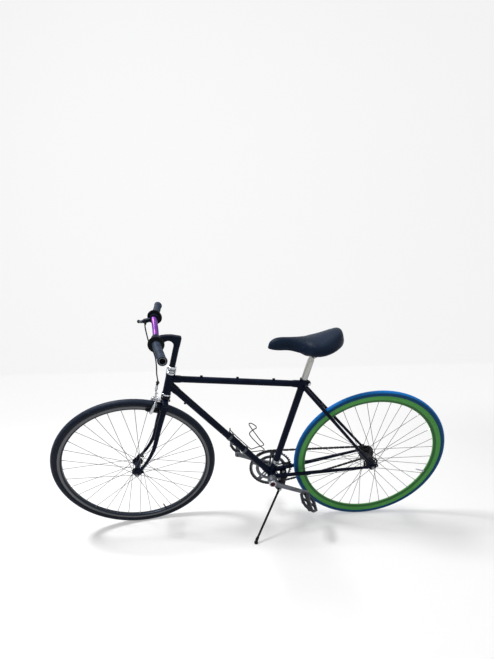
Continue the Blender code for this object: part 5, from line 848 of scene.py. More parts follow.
def seat_cluster():
    """The sleeve at the top of the seat tube with its lugs and two ears, and the binder bolt through them."""
    top_end = top_tube_end()
    cluster = np.linalg.norm(top_end - BRACKET)
    lug_piece = Piece("seat_cluster_lug", "frame", "black_paint")
    sleeve_low = BRACKET + (cluster - 0.004) * SEAT_DIRECTION
    sleeve_high = BRACKET + SEAT_TUBE_TOP * SEAT_DIRECTION
    height = float(np.linalg.norm(sleeve_high - sleeve_low))
    profile = [(0.0130, 0), (0.0164, 0), (0.0164, height - 0.004), (0.0172, height - 0.0025),
               (0.0172, height), (0.0130, height)]
    lug_piece.add_turned(profile, 0.0007, 64, paint, aimed(sleeve_low, SEAT_DIRECTION))
    lug_piece.add(lug(sleeve_low + 0.004 * SEAT_DIRECTION, -SEAT_DIRECTION, MAIN_TUBE_RADIUS, 0.036, 0.4),
                  paint)
    lug_piece.add(lug(top_end, -TOP_TUBE_DIRECTION, TOP_TUBE_RADIUS, 0.050), paint)
    ears_at = BRACKET + BINDER_HEIGHT * SEAT_DIRECTION + 0.0215 * SEAT_BACK
    ear = soft([(-0.010, -0.009), (-0.010, 0.009), (0.003, 0.009), (0.0085, 0.0045), (0.0085, -0.0045),
                (0.003, -0.009)], 0.003, True)
    for side in (-1, 1):
        spot = shift(*(ears_at + (0, side * 0.0049, 0))) @ turn("y", pi / 2 - SEAT_ANGLE)
        lug_piece.add(slab(ear, 0.0062, 0.0012), paint, spot)
    lug_piece.done("seat_lug")
    binder = Piece("seat_binder", "frame", "chrome")
    bolt_at = BRACKET + BINDER_HEIGHT * SEAT_DIRECTION + 0.0241 * SEAT_BACK
    binder.add(disc(0.003, -0.0125, 0.0125, 0.0004, 20), chrome, aimed(bolt_at, (0, 1, 0)))
    binder.add(nut(0.0058, 0.0083, 0.0125), chrome, aimed(bolt_at, (0, 1, 0)))
    binder.add(bolt_head(0.0055, 0.0083, 0.0128), chrome, aimed(bolt_at, (0, -1, 0)))
    binder.done("seat_binder_bolt")


def bracket_shell():
    """The bracket's shell with its four lugs, and a bearing cup each side, the left with a notched ring."""
    shell_half = 0.034
    shell = Piece("bottom_bracket_lugged", "frame", "black_paint")
    barrel = turned(soft(box_ring(0.0172, 0.020, -shell_half, shell_half), 0.0010, True), 64)
    shell.add(about_y(barrel), paint, shift(*BRACKET), ring=True)
    shell.add(lug(BRACKET, -DOWN_TUBE_DIRECTION, MAIN_TUBE_RADIUS, 0.066), paint)
    shell.add(lug(BRACKET, SEAT_DIRECTION, MAIN_TUBE_RADIUS, 0.062), paint)
    for side in (-1, 1):
        front, rear = stay_ends(side)
        shell.add(lug(front, unit(rear - front), STAY_RADIUS, 0.046, 0.25, wall=0.0016), paint)
    shell.done("bottom_bracket_shell")
    for word, sign in (("left", -1), ("right", 1)):
        cup = Piece(word + "_bearing_cup", "frame", "chrome")
        spot = aimed(BRACKET + (0, sign * shell_half, 0), (0, sign, 0), (1, 0, 0))
        cup.add_ring([(0.0091, -0.012), (0.0160, -0.012), (0.0165, 0.0003), (0.0188, 0.0003),
                      (0.0190, 0.0012), (0.0186, 0.0028), (0.0125, 0.0030), (0.0110, 0.0022),
                      (0.0091, 0.0022)], 0.0004, 64, chrome, spot)
        if sign < 0:
            for k in range(6):
                tooth = [(-0.0022, 0.0186), (0.0022, 0.0186), (0.0018, 0.0203), (-0.0018, 0.0203)]
                cup.add(slab(tooth, 0.0026, 0.0003), chrome,
                        shift(*(BRACKET + (0, -0.0356, 0))) @ turn("y", k * pi / 3))
        cup.done(word + "_bottom_bracket_cup")


def stay_ends(side):
    """A chain stay's middle line, from the bracket to its dropout."""
    return BRACKET + (0, side * 0.0205, 0), REAR_AXLE + (-0.036, side * REAR_END_OUT, -0.004)


def seat_stay_ends(side):
    """A seat stay's middle line, from the cluster to its dropout."""
    top = BRACKET + 0.452 * SEAT_DIRECTION + 0.010 * SEAT_BACK
    return top * (1, 0, 1) + (0, side * 0.0215, 0), REAR_AXLE + (-0.012, side * REAR_END_OUT, 0.020)


def rear_stays():
    """Both pairs of stays, their dropouts with eyes, and the bridge where the seat stays pass the tyre."""
    for side, word in ((-1, "left"), (1, "right")):
        front, rear = stay_ends(side)
        ahead = unit(rear - front)
        stay = Piece(word + "_chain_stay_round", "frame", "black_paint")
        share = np.linspace(0, 1, 20)
        path = front + np.outer(share * (np.linalg.norm(rear - front) - 0.004) + 0.016 * (1 - share), ahead)
        known = (0, 0.25, 0.45, 0.65, 1)
        wide = np.interp(share, known, (STAY_RADIUS, STAY_RADIUS, 0.0072, 0.0072, 0.0062))
        tall = np.interp(share, known, (STAY_RADIUS, STAY_RADIUS, 0.0090, 0.0080, 0.0062))
        stay.add(sweep(path, oval(2 * wide, 2 * tall, count=28), (0, 1, 0)), paint)
        stay.add(disc(0.0062, -0.001, 0.0035, 0.003, 24), paint, aimed(rear, ahead))
        hook = np.vstack([arc((0, 0), 0.017, radians(-150), radians(60), 20),
                          [(-0.002, 0.024), (-0.005, 0.031), (-0.013, 0.031), (-0.0165, 0.024),
                           (-0.020, 0.013), (-0.030, 0.006), (-0.041, 0.002), (-0.041, -0.010),
                           (-0.030, -0.011), (-0.020, -0.011)]])
        plane = REAR_AXLE + (0, side * REAR_END_OUT, 0)
        stay.add(slab(soft(hook, 0.001, True), END_THICKNESS, 0.0007), paint, shift(*plane))
        eye = soft(box_ring(0.0026, 0.0068, -END_THICKNESS / 2, END_THICKNESS / 2), 0.0006, True)
        stay.add(about_y(turned(eye, 32)), paint, shift(*(plane + (0.0190, 0, 0.004))), ring=True)
        stay.done(word + "_chain_stay")
        top, low = seat_stay_ends(side)
        upper = Piece(word + "_seat_stay_round", "frame", "black_paint")
        up = unit(top - low)
        line = np.array([low - 0.004 * up, low, low + 0.04 * (top - low) / 0.45, top - 0.020 * up,
                         top - 0.006 * up, top + 0.004 * up, top + 0.010 * up])
        upper.add(round_rod(line, [0.0040, 0.0055, 0.0058, 0.0075, 0.0073, 0.0058, 0.0025], 28), paint)
        upper.done(word + "_seat_stay")
    top, low = seat_stay_ends(1)
    bridge_reach = 0.352
    places = [low + (top - low) * step / 100 for step in range(101)]
    centre = next(spot for spot in places if np.linalg.norm((spot - REAR_AXLE)[[0, 2]]) >= bridge_reach)
    half = centre[1] - 0.004
    bridge = Piece("stay_bridge", "frame", "black_paint")
    path = [(centre[0], y, centre[2]) for y in np.linspace(-half, half, 9)]
    bridge.add(round_rod(path, [0.0066, 0.0058, 0.0052, 0.0052, 0.0060, 0.0052, 0.0052, 0.0058, 0.0066], 28),
               paint)
    bridge.add(disc(0.0070, -0.0065, 0.0065, 0.0010, 24), paint,
               aimed((centre[0], 0, centre[2]), unit(centre - REAR_AXLE) * (1, 0, 1)))
    bridge.done("brake_bridge")


head_tube_piece()
top_tube_piece()
down_tube_piece()
seat_tube_piece()
seat_cluster()
bracket_shell()
rear_stays()


# Headset, fork, front brake


def headset():
    """Two cups in the head tube, then a knurled race, a dark washer and a six-sided lock nut, each of them a
    turned ring whose profile is a list of (radius, height)."""
    low = HEAD_LOW - SEAM
    cups = Piece("lower_head_cup", "frame", "chrome", HEAD)
    cups.add_ring([(0.0171, low + 0.0118), (0.0179, low + 0.0118), (0.0184, low + 0.0108),
                   (0.0184, low + 0.0062), (0.0171, low + 0.0062)], 0.0005, 64, chrome)
    cups.add_ring([(0.0130, low + 0.004), (0.0150, low + 0.004), (0.0158, low), (0.0174, low),
                   (0.0183, low - 0.0022), (0.0183, low - 0.0060), (0.0172, low - 0.0085),
                   (0.0130, low - 0.0085)], 0.0006, 64, black_steel)
    cups.done("lower_headset_cup")
    low = HEAD_HIGH + SEAM
    cups = Piece("upper_head_cup", "frame", "chrome", HEAD)
    cups.add_ring([(0.0130, low + 0.0080), (0.0160, low + 0.0080), (0.0184, low + 0.0062),
                   (0.0184, low + 0.0022), (0.0174, low), (0.0150, low), (0.0150, low - 0.006),
                   (0.0130, low - 0.006)], 0.0006, 64, chrome)
    cups.add_ring([(0.0130, low + 0.011), (0.0152, low + 0.011), (0.0158, low + 0.0078),
                   (0.0130, low + 0.0078)], 0.0004, 64, black_steel)
    cups.done("upper_headset_cup")
    low += 0.0113
    race = Piece("adjusting_race", "fork_group", "chrome", STEER)
    race.add_ring([(0.0130, low + 0.0056), (0.0166, low + 0.0056), (0.0180, low + 0.0044), (0.0180, low),
                   (0.0130, low)], 0.0006, 72, chrome)
    knurls = 24
    for k in range(knurls):
        notch = turn("z", 2 * pi * k / knurls) @ shift(0.0176, 0, low + 0.0028)
        race.add(sweep([(0, 0, -0.0018), (0, 0, 0.0018)], oval(0.0017, 0.0014, 3, 8)), chrome, notch)
    race.add_ring(box_ring(0.0130, 0.0146, low + 0.0089, low + 0.0054), 0.0003, 64, black_steel)
    race.done("headset_adjusting_race")
    low += 0.0092
    lock = Piece("top_locknut", "fork_group", "chrome", STEER)
    top = 0.504
    sides = soft([(0.0114, top), (0.0146, top), (0.0170, top - 0.0016), (0.0170, low + 0.0026),
                  (0.0114, low + 0.0026)], 0.0004, True)
    lock.add(turned(sides, 72, flats=6), chrome, ring=True)
    lock.add_ring(box_ring(0.0114, 0.0148, low + 0.0028, low + 0.0012), 0.0003, 64, black_steel)
    lock.add_ring(box_ring(0.0114, 0.0174, low + 0.0014, low), 0.0003, 64, chrome)
    lock.done("headset_locknut")


def fork_piece():
    """Steerer and crown race, a crown whose section changes across it, and two blades that rake forward, with
    their sleeves, their dropouts and the dropouts' eyes."""
    made = Piece("raked_fork", "fork_group", "black_paint", STEER)
    made.add_turned([(0.0130, 0.356), (0.0130, 0.3640), (0.0168, 0.3635), (0.0172, 0.3645), (0.0166, 0.3660),
                     (0.0127, 0.3665), (0.0127, 0.4900)], 0.0006, 64, black_steel)
    across = np.array([-0.0425, -0.0405, -0.037, -0.030, -0.020, -0.011, 0, 0.011, 0.020, 0.030, 0.037,
                       0.0405, 0.0425])
    tall = np.array([0.010, 0.0155, 0.0190, 0.0215, 0.0205, 0.0205, 0.0215, 0.0205, 0.0205, 0.0215, 0.0190,
                     0.0155, 0.010])
    deep = np.array([0.012, 0.0185, 0.0225, 0.0250, 0.0235, 0.0270, 0.0310, 0.0270, 0.0235, 0.0250, 0.0225,
                     0.0185, 0.012])
    high = 0.3635 - tall / 2 - 0.06 * abs(across)
    path = flow(np.stack([0 * across, across, high, tall, deep], 1), 4)
    made.add(sweep(path[:, :3], oval(path[:, 4], path[:, 3], 3.2, 32), (1, 0, 0)), paint)
    heights = np.array([0.352, 0.317, 0.239, 0.155, 0.120, 0.091, 0.060, 0.0335, 0.017, 0.010])
    ahead = np.array([0.0, 0.0004, 0.005, 0.007, 0.012, 0.019, 0.0295, 0.0415, 0.0490, 0.0520])
    blade_top = heights[0]
    known = (0.010, 0.017, 0.10, 0.20, blade_top)
    for side in (-1, 1):
        out = 0.0305 + 0.022 * (blade_top - heights) / blade_top
        wide = np.interp(heights, known, (0.004, 0.0058, 0.0066, 0.0082, 0.0090))
        long = np.interp(heights, known, (0.004, 0.0058, 0.0072, 0.0098, 0.0118))
        line = flow(np.stack([-ahead, side * out, heights, wide, long], 1), 6)
        made.add(sweep(line[:, :3], oval(2 * line[:, 3], 2 * line[:, 4], count=32), (0, 1, 0)), paint)
        sleeve_path = [(0, side * 0.0303, 0.346), (-0.0001, side * 0.0308, 0.330),
                       (-0.0006, side * 0.0315, 0.318)]
        section = oval(np.linspace(0.0205, 0.0186, 9), np.linspace(0.0256, 0.0240, 9), count=32)
        made.add(sweep(flow(sleeve_path, 4), section, (0, 1, 0)), paint)
        hook = np.vstack([arc((0, 0), 0.0105, radians(-215), radians(35), 22),
                          [(0.0125, 0.018), (0.0145, 0.026), (0.0045, 0.030), (-0.0045, 0.020)]])
        end = side * FORK_END_OUT
        made.add(slab(soft(hook, 0.001, True), END_THICKNESS, 0.0007), paint, shift(-FORK_RAKE, end, 0))
        eye = soft(box_ring(0.0022, 0.0058, -0.0022, 0.0022), 0.0006, True)
        made.add(about_y(turned(eye, 28)), paint, shift(-FORK_RAKE + 0.0195, end, 0.0160), ring=True)
        neck = [(-FORK_RAKE + 0.0110, end, 0.0140), (-FORK_RAKE + 0.0150, end, 0.0150)]
        made.add(sweep(neck, oval(0.0042, 0.0070, 3, 12)), paint)
    made.done("fork")


def front_brake():
    """The caliper on one bolt: two arms that are ovals along smooth paths, the right one up to the cable's
    adjuster, a block and holder at each lower end, and the bent spring behind them."""
    pivot, pad_drop, stud_ahead = 0.354, 0.0465, -0.0120
    bolt = Piece("brake_bolt", "fork_group", "black_metal", STEER)
    spot = aimed((0, 0, pivot), (-1, 0, 0))
    bolt.add(disc(0.003, -0.019, 0.0525, 0.0005, 24), chrome, spot)
    bolt.add(nut(0.0058, -0.0200, -0.0165), black_steel, spot)
    bolt.add_turned([(0.0028, 0.0165), (0.0100, 0.0165), (0.0100, 0.0190), (0.0082, 0.0205), (0.0082, 0.0290),
                     (0.0094, 0.0310), (0.0094, 0.0328), (0.0028, 0.0328)], 0.0004, 40, cast_alloy, spot)
    bolt.add(nut(0.0080, 0.0412, 0.0468), chrome, spot)
    bolt.add_turned([(0.0028, 0.0468), (0.0050, 0.0470), (0.0046, 0.0500), (0.0024, 0.0525), (0, 0.0527)],
                    0.0008, 32, chrome, spot)
    bolt.done("brake_centre_bolt")
    lower = np.array([(0.0035, -0.0020), (0.014, -0.0055), (0.0240, -0.0120), (0.0305, -0.0240),
                      (0.0320, -0.0360), (0.0300, -0.0510)])
    width = np.array([0.0165, 0.0140, 0.0135, 0.0130, 0.0105, 0.0085])
    for word, side, plane in (("left", -1, -0.0352), ("right", 1, -0.0388)):
        arm = Piece(word + "_caliper_arm", word + "_brake_group", "chrome", STEER @ shift(plane, 0, pivot))
        line = flow(np.column_stack([lower * (side, 1), width]), 6)
        drop = -line[:, 1] / 0.051
        path = np.stack([-0.013 * np.clip(drop, 0, 1), line[:, 0], line[:, 1]], 1)
        thick = np.interp(drop, (0.15, 0.35, 1), (0.0033, 0.0105, 0.0120))
        arm.add(sweep(path, oval(thick, line[:, 2], 3.5, 20), (1, 0, 0)), cast_alloy)
        arm.add_ring(box_ring(0.0031, 0.0088, -0.00165, 0.00165), 0.0006, 40, cast_alloy,
                     aimed((0, 0, 0), (1, 0, 0)))
        if side > 0:
            upper = flow([(0.002, 0.002, 0.0150), (0.012, 0.006, 0.0130), (0.022, 0.014, 0.0110),
                          (0.0235, 0.025, 0.0110), (0.0205, 0.034, 0.0130)], 6)
            thick = np.interp(upper[:, 1], (0.016, 0.026), (0.0033, 0.0085))
            adjuster = [(0.0030, 0.0300), (0.0056, 0.0300), (0.0056, 0.0400), (0.0046, 0.0408),
                        (0.0046, 0.0548), (0.0026, 0.0555), (0.0026, 0.0495), (0, 0.0495)]
            arm.add_turned(adjuster, 0.0004, 32, chrome, shift(0, 0.020, 0))
        else:
            upper = flow([(0.002, 0.002, 0.0150), (0.012, 0.0045, 0.0120), (0.0200, 0.0110, 0.0105),
                          (0.0250, 0.0165, 0.0085)], 6)
            thick = 0.0033
            anchor = aimed((0, 0.0200, 0.0145), (-1, 0, 0))
            arm.add(disc(0.0040, -0.0062, 0.0030, 0.0005, 24), chrome, anchor)
            arm.add(nut(0.0042, 0.0020, 0.0055), chrome, anchor)
        path = np.stack([0 * upper[:, 0], upper[:, 0], upper[:, 1]], 1)
        arm.add(sweep(path, oval(thick, upper[:, 2], 3.5, 20), (1, 0, 0)), cast_alloy)
        stud = aimed((stud_ahead, 0, -pad_drop), (0, side, 0))
        arm.add(disc(0.0036, 0.0225, 0.0395, 0.0006, 20), chrome, stud)
        arm.add(nut(0.0062, 0.0340, 0.0390), chrome, stud)
        arm.done(word + "_brake_arm")
        pad = Piece(word + "_pad_block", word + "_brake_group", "pad_rubber", STEER @ shift(-0.037, 0, pivot))
        length = np.array([-0.031, -0.0305, -0.029, -0.008, 0.008, 0.020, 0.0215, 0.022])
        tall = np.array([0.0075, 0.0092, 0.010, 0.010, 0.010, 0.010, 0.0092, 0.0075])
        inner_face, half_thick = 0.01295, 0.0047
        centre = inner_face + half_thick
        path = np.stack([length, 0 * length + side * centre, 0 * length - pad_drop], 1)
        pad.add(sweep(path, oval(0.0090 * tall / 0.010, tall, 5, 24), (0, 1, 0)), pad_rubber)
        holder = np.stack([length * 0.8, 0 * length + side * (centre + 0.0038), 0 * length - pad_drop], 1)
        pad.add(sweep(holder, oval(0.0022, tall * 1.08, 5, 20), (0, 1, 0)), black_steel)
        for k in range(-2, 3):
            rib = [(0.0086 * k, side * (centre - 0.0042), z) for z in (-pad_drop - 0.004, -pad_drop + 0.004)]
            pad.add(sweep(rib, oval(0.0008, 0.0009, 4, 8), (0, 1, 0)), pad_rubber)
        pad.done(word + "_brake_pad")
    spring = Piece("brake_spring", "fork_group", "chrome", STEER @ shift(-0.0315, 0, pivot))
    half = [(0, 0.0, 0.0085), (0, 0.0075, 0.0062), (0, 0.0135, -0.0015), (0, 0.0215, -0.0150),
            (0, 0.0290, -0.0230)]
    line = flow([(x, -y, z) for x, y, z in half[:0:-1]] + half, 6)
    spring.add(round_rod(line, 0.0009, 10, (1, 0, 0)), chrome)
    spring.done()


headset()
fork_piece()
front_brake()


# Stem, handlebar, lever and cable

CABLE_SPLIT = 38


def stem_piece():
    """A turned column, an arm that is a slab of its side outline with a round throat, and the bar's clamp."""
    made = Piece("drop_arm_stem", "stem_group", "black_metal", STEER)
    heights = np.array([0.436, 0.437, 0.540, 0.580, 0.600, 0.612])
    radii = np.array([0.0105, 0.01105, 0.01105, 0.01105, 0.0112, 0.0110])
    made.add(turned(np.column_stack([radii, heights]), 48), black_alloy)
    throat, throat_radius = (-0.0288, 0.5825), 0.0180
    outline = [(0.0109, throat[1]), (0.0116, 0.6160), (0.0105, 0.6225), (0.0070, 0.6243), (-0.024, 0.6225),
               (-0.0428, 0.6180), (-0.060, 0.6115), (-0.073, 0.6040), (-0.073, 0.5810), (-0.060, 0.5800)]
    outline = np.vstack([outline, arc(throat, throat_radius, radians(122), 0, 12)])
    made.add(slab(soft(outline, 0.004, True), 0.0212, 0.0042, 5), black_alloy)
    made.add(bolt_head(0.0062, 0.0, 0.0022, 0.55), black_steel, aimed((-0.0005, 0, 0.6222), (0.05, 0, 1)))
    clamp = [(0.0114, -0.021), (0.0168, -0.021), (0.0175, -0.0198), (0.0178, -0.010), (0.0180, 0),
             (0.0178, 0.010), (0.0175, 0.0198), (0.0168, 0.021), (0.0114, 0.021)]
    centre = (-0.073, 0, 0.588)
    made.add(about_y(turned(soft(clamp, 0.0008, True), 72)), black_alloy, shift(*centre), ring=True)
    lobe = soft([(-0.008, -0.0055), (-0.0055, -0.0165), (0.0045, -0.0175), (0.0085, -0.0120),
                 (0.0085, -0.0035)], 0.003, True)
    for side in (-1, 1):
        made.add(slab(lobe, 0.0150, 0.0012), black_alloy,
                 shift(centre[0] + 0.004, side * 0.0085, centre[2] - 0.0065))
    made.add(bolt_head(0.0042, 0.0, 0.0040), chrome,
             aimed((centre[0] + 0.0045, 0.0150, centre[2] - 0.0185), (0, 1, 0)))
    made.add(bolt_head(0.0042, 0.0, 0.0030), chrome,
             aimed((centre[0] + 0.0045, -0.0155, centre[2] - 0.0185), (0, -1, 0)))
    made.done("stem")


def bar_points():
    """The bar's middle line from its left end to its right one: two straight ends and a bent middle."""
    ahead_slope, rise_slope = (0.0821 - 0.0676) / 0.1293, (0.6344 - 0.6279) / 0.1293
    straight_part = BAR_REACH - 0.150
    start = (0.150, 0.0676 + straight_part * ahead_slope, 0.6344 - straight_part * rise_slope)
    half = [(0.030, 0.073, 0.588), (0.045, 0.0738, 0.5915), (0.060, 0.0755, 0.5990), (0.078, 0.0790, 0.6110),
            (0.092, 0.0820, 0.6195), (0.103, 0.0838, 0.6247), (0.1115, 0.0846, 0.6270), start,
            (BAR_REACH, 0.0676, 0.6344)]
    right = np.array([(-ahead, y, z) for y, ahead, z in half])
    return np.vstack([right[::-1] * (1, -1, 1), right])


def grip_profile(length):
    """A barrel of small ribs from behind its flange, and a thicker end ring round the open bar."""
    radius, step = 0.0136, 0.0032
    profile = [(0.0114, 0.0030), (0.0146, 0.0030), (0.0146, 0.0062), (0.0139, 0.0070), (radius, 0.0095)]
    ribs = int((length - 0.022) / step)
    for k in range(ribs):
        low = 0.0105 + step * k
        swell = radius + 0.0004 * sin(pi * k / ribs)
        profile += [(swell - 0.0007, low), (swell, low + 0.0006), (swell, low + 0.0019),
                    (swell - 0.0007, low + 0.0026)]
    end = [(0.0138, 0.0095), (0.0150, 0.0070), (0.0153, 0.0020), (0.0147, 0.0003), (0.0130, 0),
           (0.0113, 0.0006), (0.0104, 0.003), (0.0100, 0.014), (0, 0.014)]
    return profile + [(wide, length - back) for wide, back in end]


def handlebar_piece():
    """The bar, thickest in its clamp, and two ribbed grips with wide flanges and open ends."""
    bar = Piece("bent_handlebar", "handlebar_group", "purple_metal", STEER)
    points = bar_points()
    line = flow(points, 8)
    swell = 0.0111 + 0.0002 * np.exp(-(line[:, 1] / 0.02) ** 2)
    keep = abs(line[:, 1]) < 0.252
    bar.add(round_rod(line[keep], swell[keep], 40, (0, 0, 1)), purple)
    bar.done("handlebar")
    for word, end, inner in (("left", points[0], points[1]), ("right", points[-1], points[-2])):
        direction = unit(end - inner)
        start = end - direction * (BAR_REACH - 0.1290) / abs(direction[1])
        length = float(np.linalg.norm(end - start)) + 0.001
        grip = Piece(word + "_ribbed_grip", "handlebar_group", "grip_rubber", STEER)
        spot = aimed(start, direction)
        grip.add(turned(grip_profile(length), 64), grip_rubber, spot)
        flange = [(0.0114, 0), (0.0262, 0), (0.0270, 0.0009), (0.0270, 0.0027), (0.0262, 0.0036),
                  (0.0114, 0.0036)]
        grip.add_ring(flange, 0.0004, 72, pad_rubber, spot)
        grip.add(disc(0.0099, length - 0.0139, length - 0.0130, 0.0002, 32), pad_rubber, spot)
        grip.add_ring(box_ring(0.0096, 0.0108, length - 0.0060, length - 0.0004), 0.0003, 48, alloy, spot)
        grip.done(word + "_grip", angle=50)


def lever_places():
    """The lever's clamp and the bar's direction there, then its pivot, its ball end and its hinge line."""
    points = bar_points()
    direction = unit(points[-1] - points[-2])
    clamp = points[-1] - direction * (BAR_REACH - 0.117) / direction[1]
    pivot = clamp + (-0.030, 0.004, -0.018)
    ball = np.array([-0.1335, 0.200, 0.573])
    hinge = unit(np.cross(ball - pivot, unit((1, 0, 1))))
    return clamp, direction, pivot, ball, hinge


def lever_piece():
    """The bracket from its band to the pivot's two cheeks, and a blade whose oval section swells and thins on
    the way to its ball end."""
    clamp, direction, pivot, ball, hinge = lever_places()
    reach = pivot - clamp
    made = Piece("lever_bracket", "handlebar_group", "black_metal", STEER)
    band(clamp, direction, 0.0114, 0.0164, 0.0145, black_alloy, made)
    body = flow([clamp + reach * s for s in (0.38, 0.6, 0.85, 1.1, 1.3)], 4)
    size = np.interp(np.linspace(0, 1, len(body)), (0, 0.3, 0.8, 1), (0.0215, 0.0205, 0.0210, 0.0150))
    made.add(sweep(body, oval(size * 0.74, size, 3, 24), hinge), black_alloy)
    for side in (-1, 1):
        start = pivot + hinge * side * 0.0040
        made.add(disc(0.0062, 0, 0.0022, 0.0006, 28), black_alloy, aimed(start, hinge * side, unit(reach)))
        made.add(bolt_head(0.0036, 0.0022, 0.0042), black_steel, aimed(start, hinge * side, unit(reach)))
    stop = clamp + reach * 0.98 + (0, -0.0060, -0.0015)
    heading = unit(np.array([0.001, -0.011, -0.012]))
    made.add_turned([(0.0026, -0.004), (0.0050, -0.004), (0.0050, 0.0055), (0.0040, 0.0065), (0.0040, 0.0110),
                     (0.0027, 0.0115)], 0.0005, 28, black_steel, aimed(stop, heading))
    bolt_at = clamp + unit(reach) * 0.0148 + (0, -0.0064, 0.006)
    made.add(bolt_head(0.0042, 0.0, 0.0050), black_steel, aimed(bolt_at, (0, -1, 0.3)))
    made.done("brake_lever_bracket")
    lever = Piece("lever_blade", "brake_lever_group", "black_metal", STEER)
    ahead = unit(ball - pivot)
    up = np.cross(ahead, hinge)
    length = float(np.linalg.norm(ball - pivot))
    share = np.array([-0.05, 0.0, 0.10, 0.25, 0.45, 0.65, 0.85, 0.96, 1.0])
    lift = np.array([0.000, 0.0, 0.0015, 0.0038, 0.0040, 0.0020, -0.0005, -0.0004, 0])
    tall = np.array([0.0080, 0.0150, 0.0175, 0.0165, 0.0138, 0.0112, 0.0090, 0.0062, 0.0040])
    wide = np.array([0.0040, 0.0050, 0.0054, 0.0080, 0.0092, 0.0088, 0.0076, 0.0060, 0.0040])
    path = pivot + np.outer(share * length, ahead) + np.outer(lift, up)
    line = flow(np.column_stack([path, wide, tall]), 6)
    lever.add(sweep(line[:, :3], oval(line[:, 3], line[:, 4], 2.6, 28), hinge), black_alloy)
    ball_radius, end_angle = 0.0068, pi / 2 - 0.05
    half_circle = arc((0, 0), ball_radius, -end_angle, end_angle, 18)
    lever.add(turned(half_circle, 32), black_alloy, aimed(ball, ahead, hinge))
    lever.done("brake_lever")


def cable_pieces():
    """The cable's sleeve in two lengths, one for each bend, and its ferrule at the caliper."""
    clamp, _, pivot, _, _ = lever_places()
    start = clamp + (pivot - clamp) * 0.98 + (0, -0.0088, -0.0035)
    end = np.array([-0.037 - 0.00175, 0.020, 0.354 + 0.0500])
    path = [start, start + (0.001, -0.011, -0.012), (-0.101, 0.080, 0.568), (-0.0925, 0.066, 0.553),
            (-0.066, 0.034, 0.518), (-0.0550, 0.022, 0.486), (-0.0475, 0.020, 0.450), end + (0, 0, 0.016),
            end]
    line = flow(path, 10)
    upper = Piece("cable_upper", None, "cable_sleeve", STEER)
    upper.add(round_rod(line[:CABLE_SPLIT + 1], CABLE_RADIUS, 16, (1, 0, 0.2)), sleeve)
    top = upper.done("brake_cable")
    lower = Piece("cable_lower", None, "cable_sleeve", STEER)
    lower.add(round_rod(line[CABLE_SPLIT:], CABLE_RADIUS, 16, (1, 0, 0.2)), sleeve)
    ferrule = [(0.0024, 0), (0.0050, 0), (0.0050, 0.0090), (0.0070, 0.0094), (0.0070, 0.0124),
               (0.0040, 0.0130), (0.0030, 0.0180), (0.0024, 0.0180)]
    lower.add_turned(ferrule, 0.0004, 24, black_steel, aimed(line[-1], -unit(line[-1] - line[-6])))
    low = lower.done()
    return top, low, [tuple(point) for point in moved(line, STEER)]


stem_piece()
handlebar_piece()
lever_piece()
cable_top, cable_low, cable_line = cable_pieces()
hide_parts("brake_cable")
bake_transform(cable_top)
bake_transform(cable_low)


# Crankset, chain, freewheel and pedals

RING_PITCH = CHAIN_PITCH / (2 * sin(pi / RING_TEETH))
SPROCKET_PITCH = CHAIN_PITCH / (2 * sin(pi / SPROCKET_TEETH))
TOOTH_RISE = 0.0019
TOOTH_THICKNESS = 0.0028
ARM_PLANE = 0.070


def toothed_ring(teeth, tip, inner):
    """A flat ring whose outer radius rises to the tip and falls back by a clipped cosine once a tooth."""
    per_tooth, tooth_depth = 8, 0.005
    angle = np.linspace(0, 2 * pi, teeth * per_tooth, endpoint=False)
    outer = tip - tooth_depth * (1 - np.clip(0.5 - 0.85 * np.cos(teeth * angle), 0, 1))
    half = TOOTH_THICKNESS / 2
    near = np.full_like(outer, inner)
    radius = np.stack([near + 0.0003, outer - 0.0012, outer, outer,
                       outer - 0.0012, near + 0.0003, near, near], 1)
    height = np.array([-half, -half, -0.35 * half, 0.35 * half, half, half, half - 0.0003, -half + 0.0003])
    ahead, up = radius * np.cos(angle)[:, None], radius * np.sin(angle)[:, None]
    return np.stack([ahead, height + 0 * radius, up], -1)


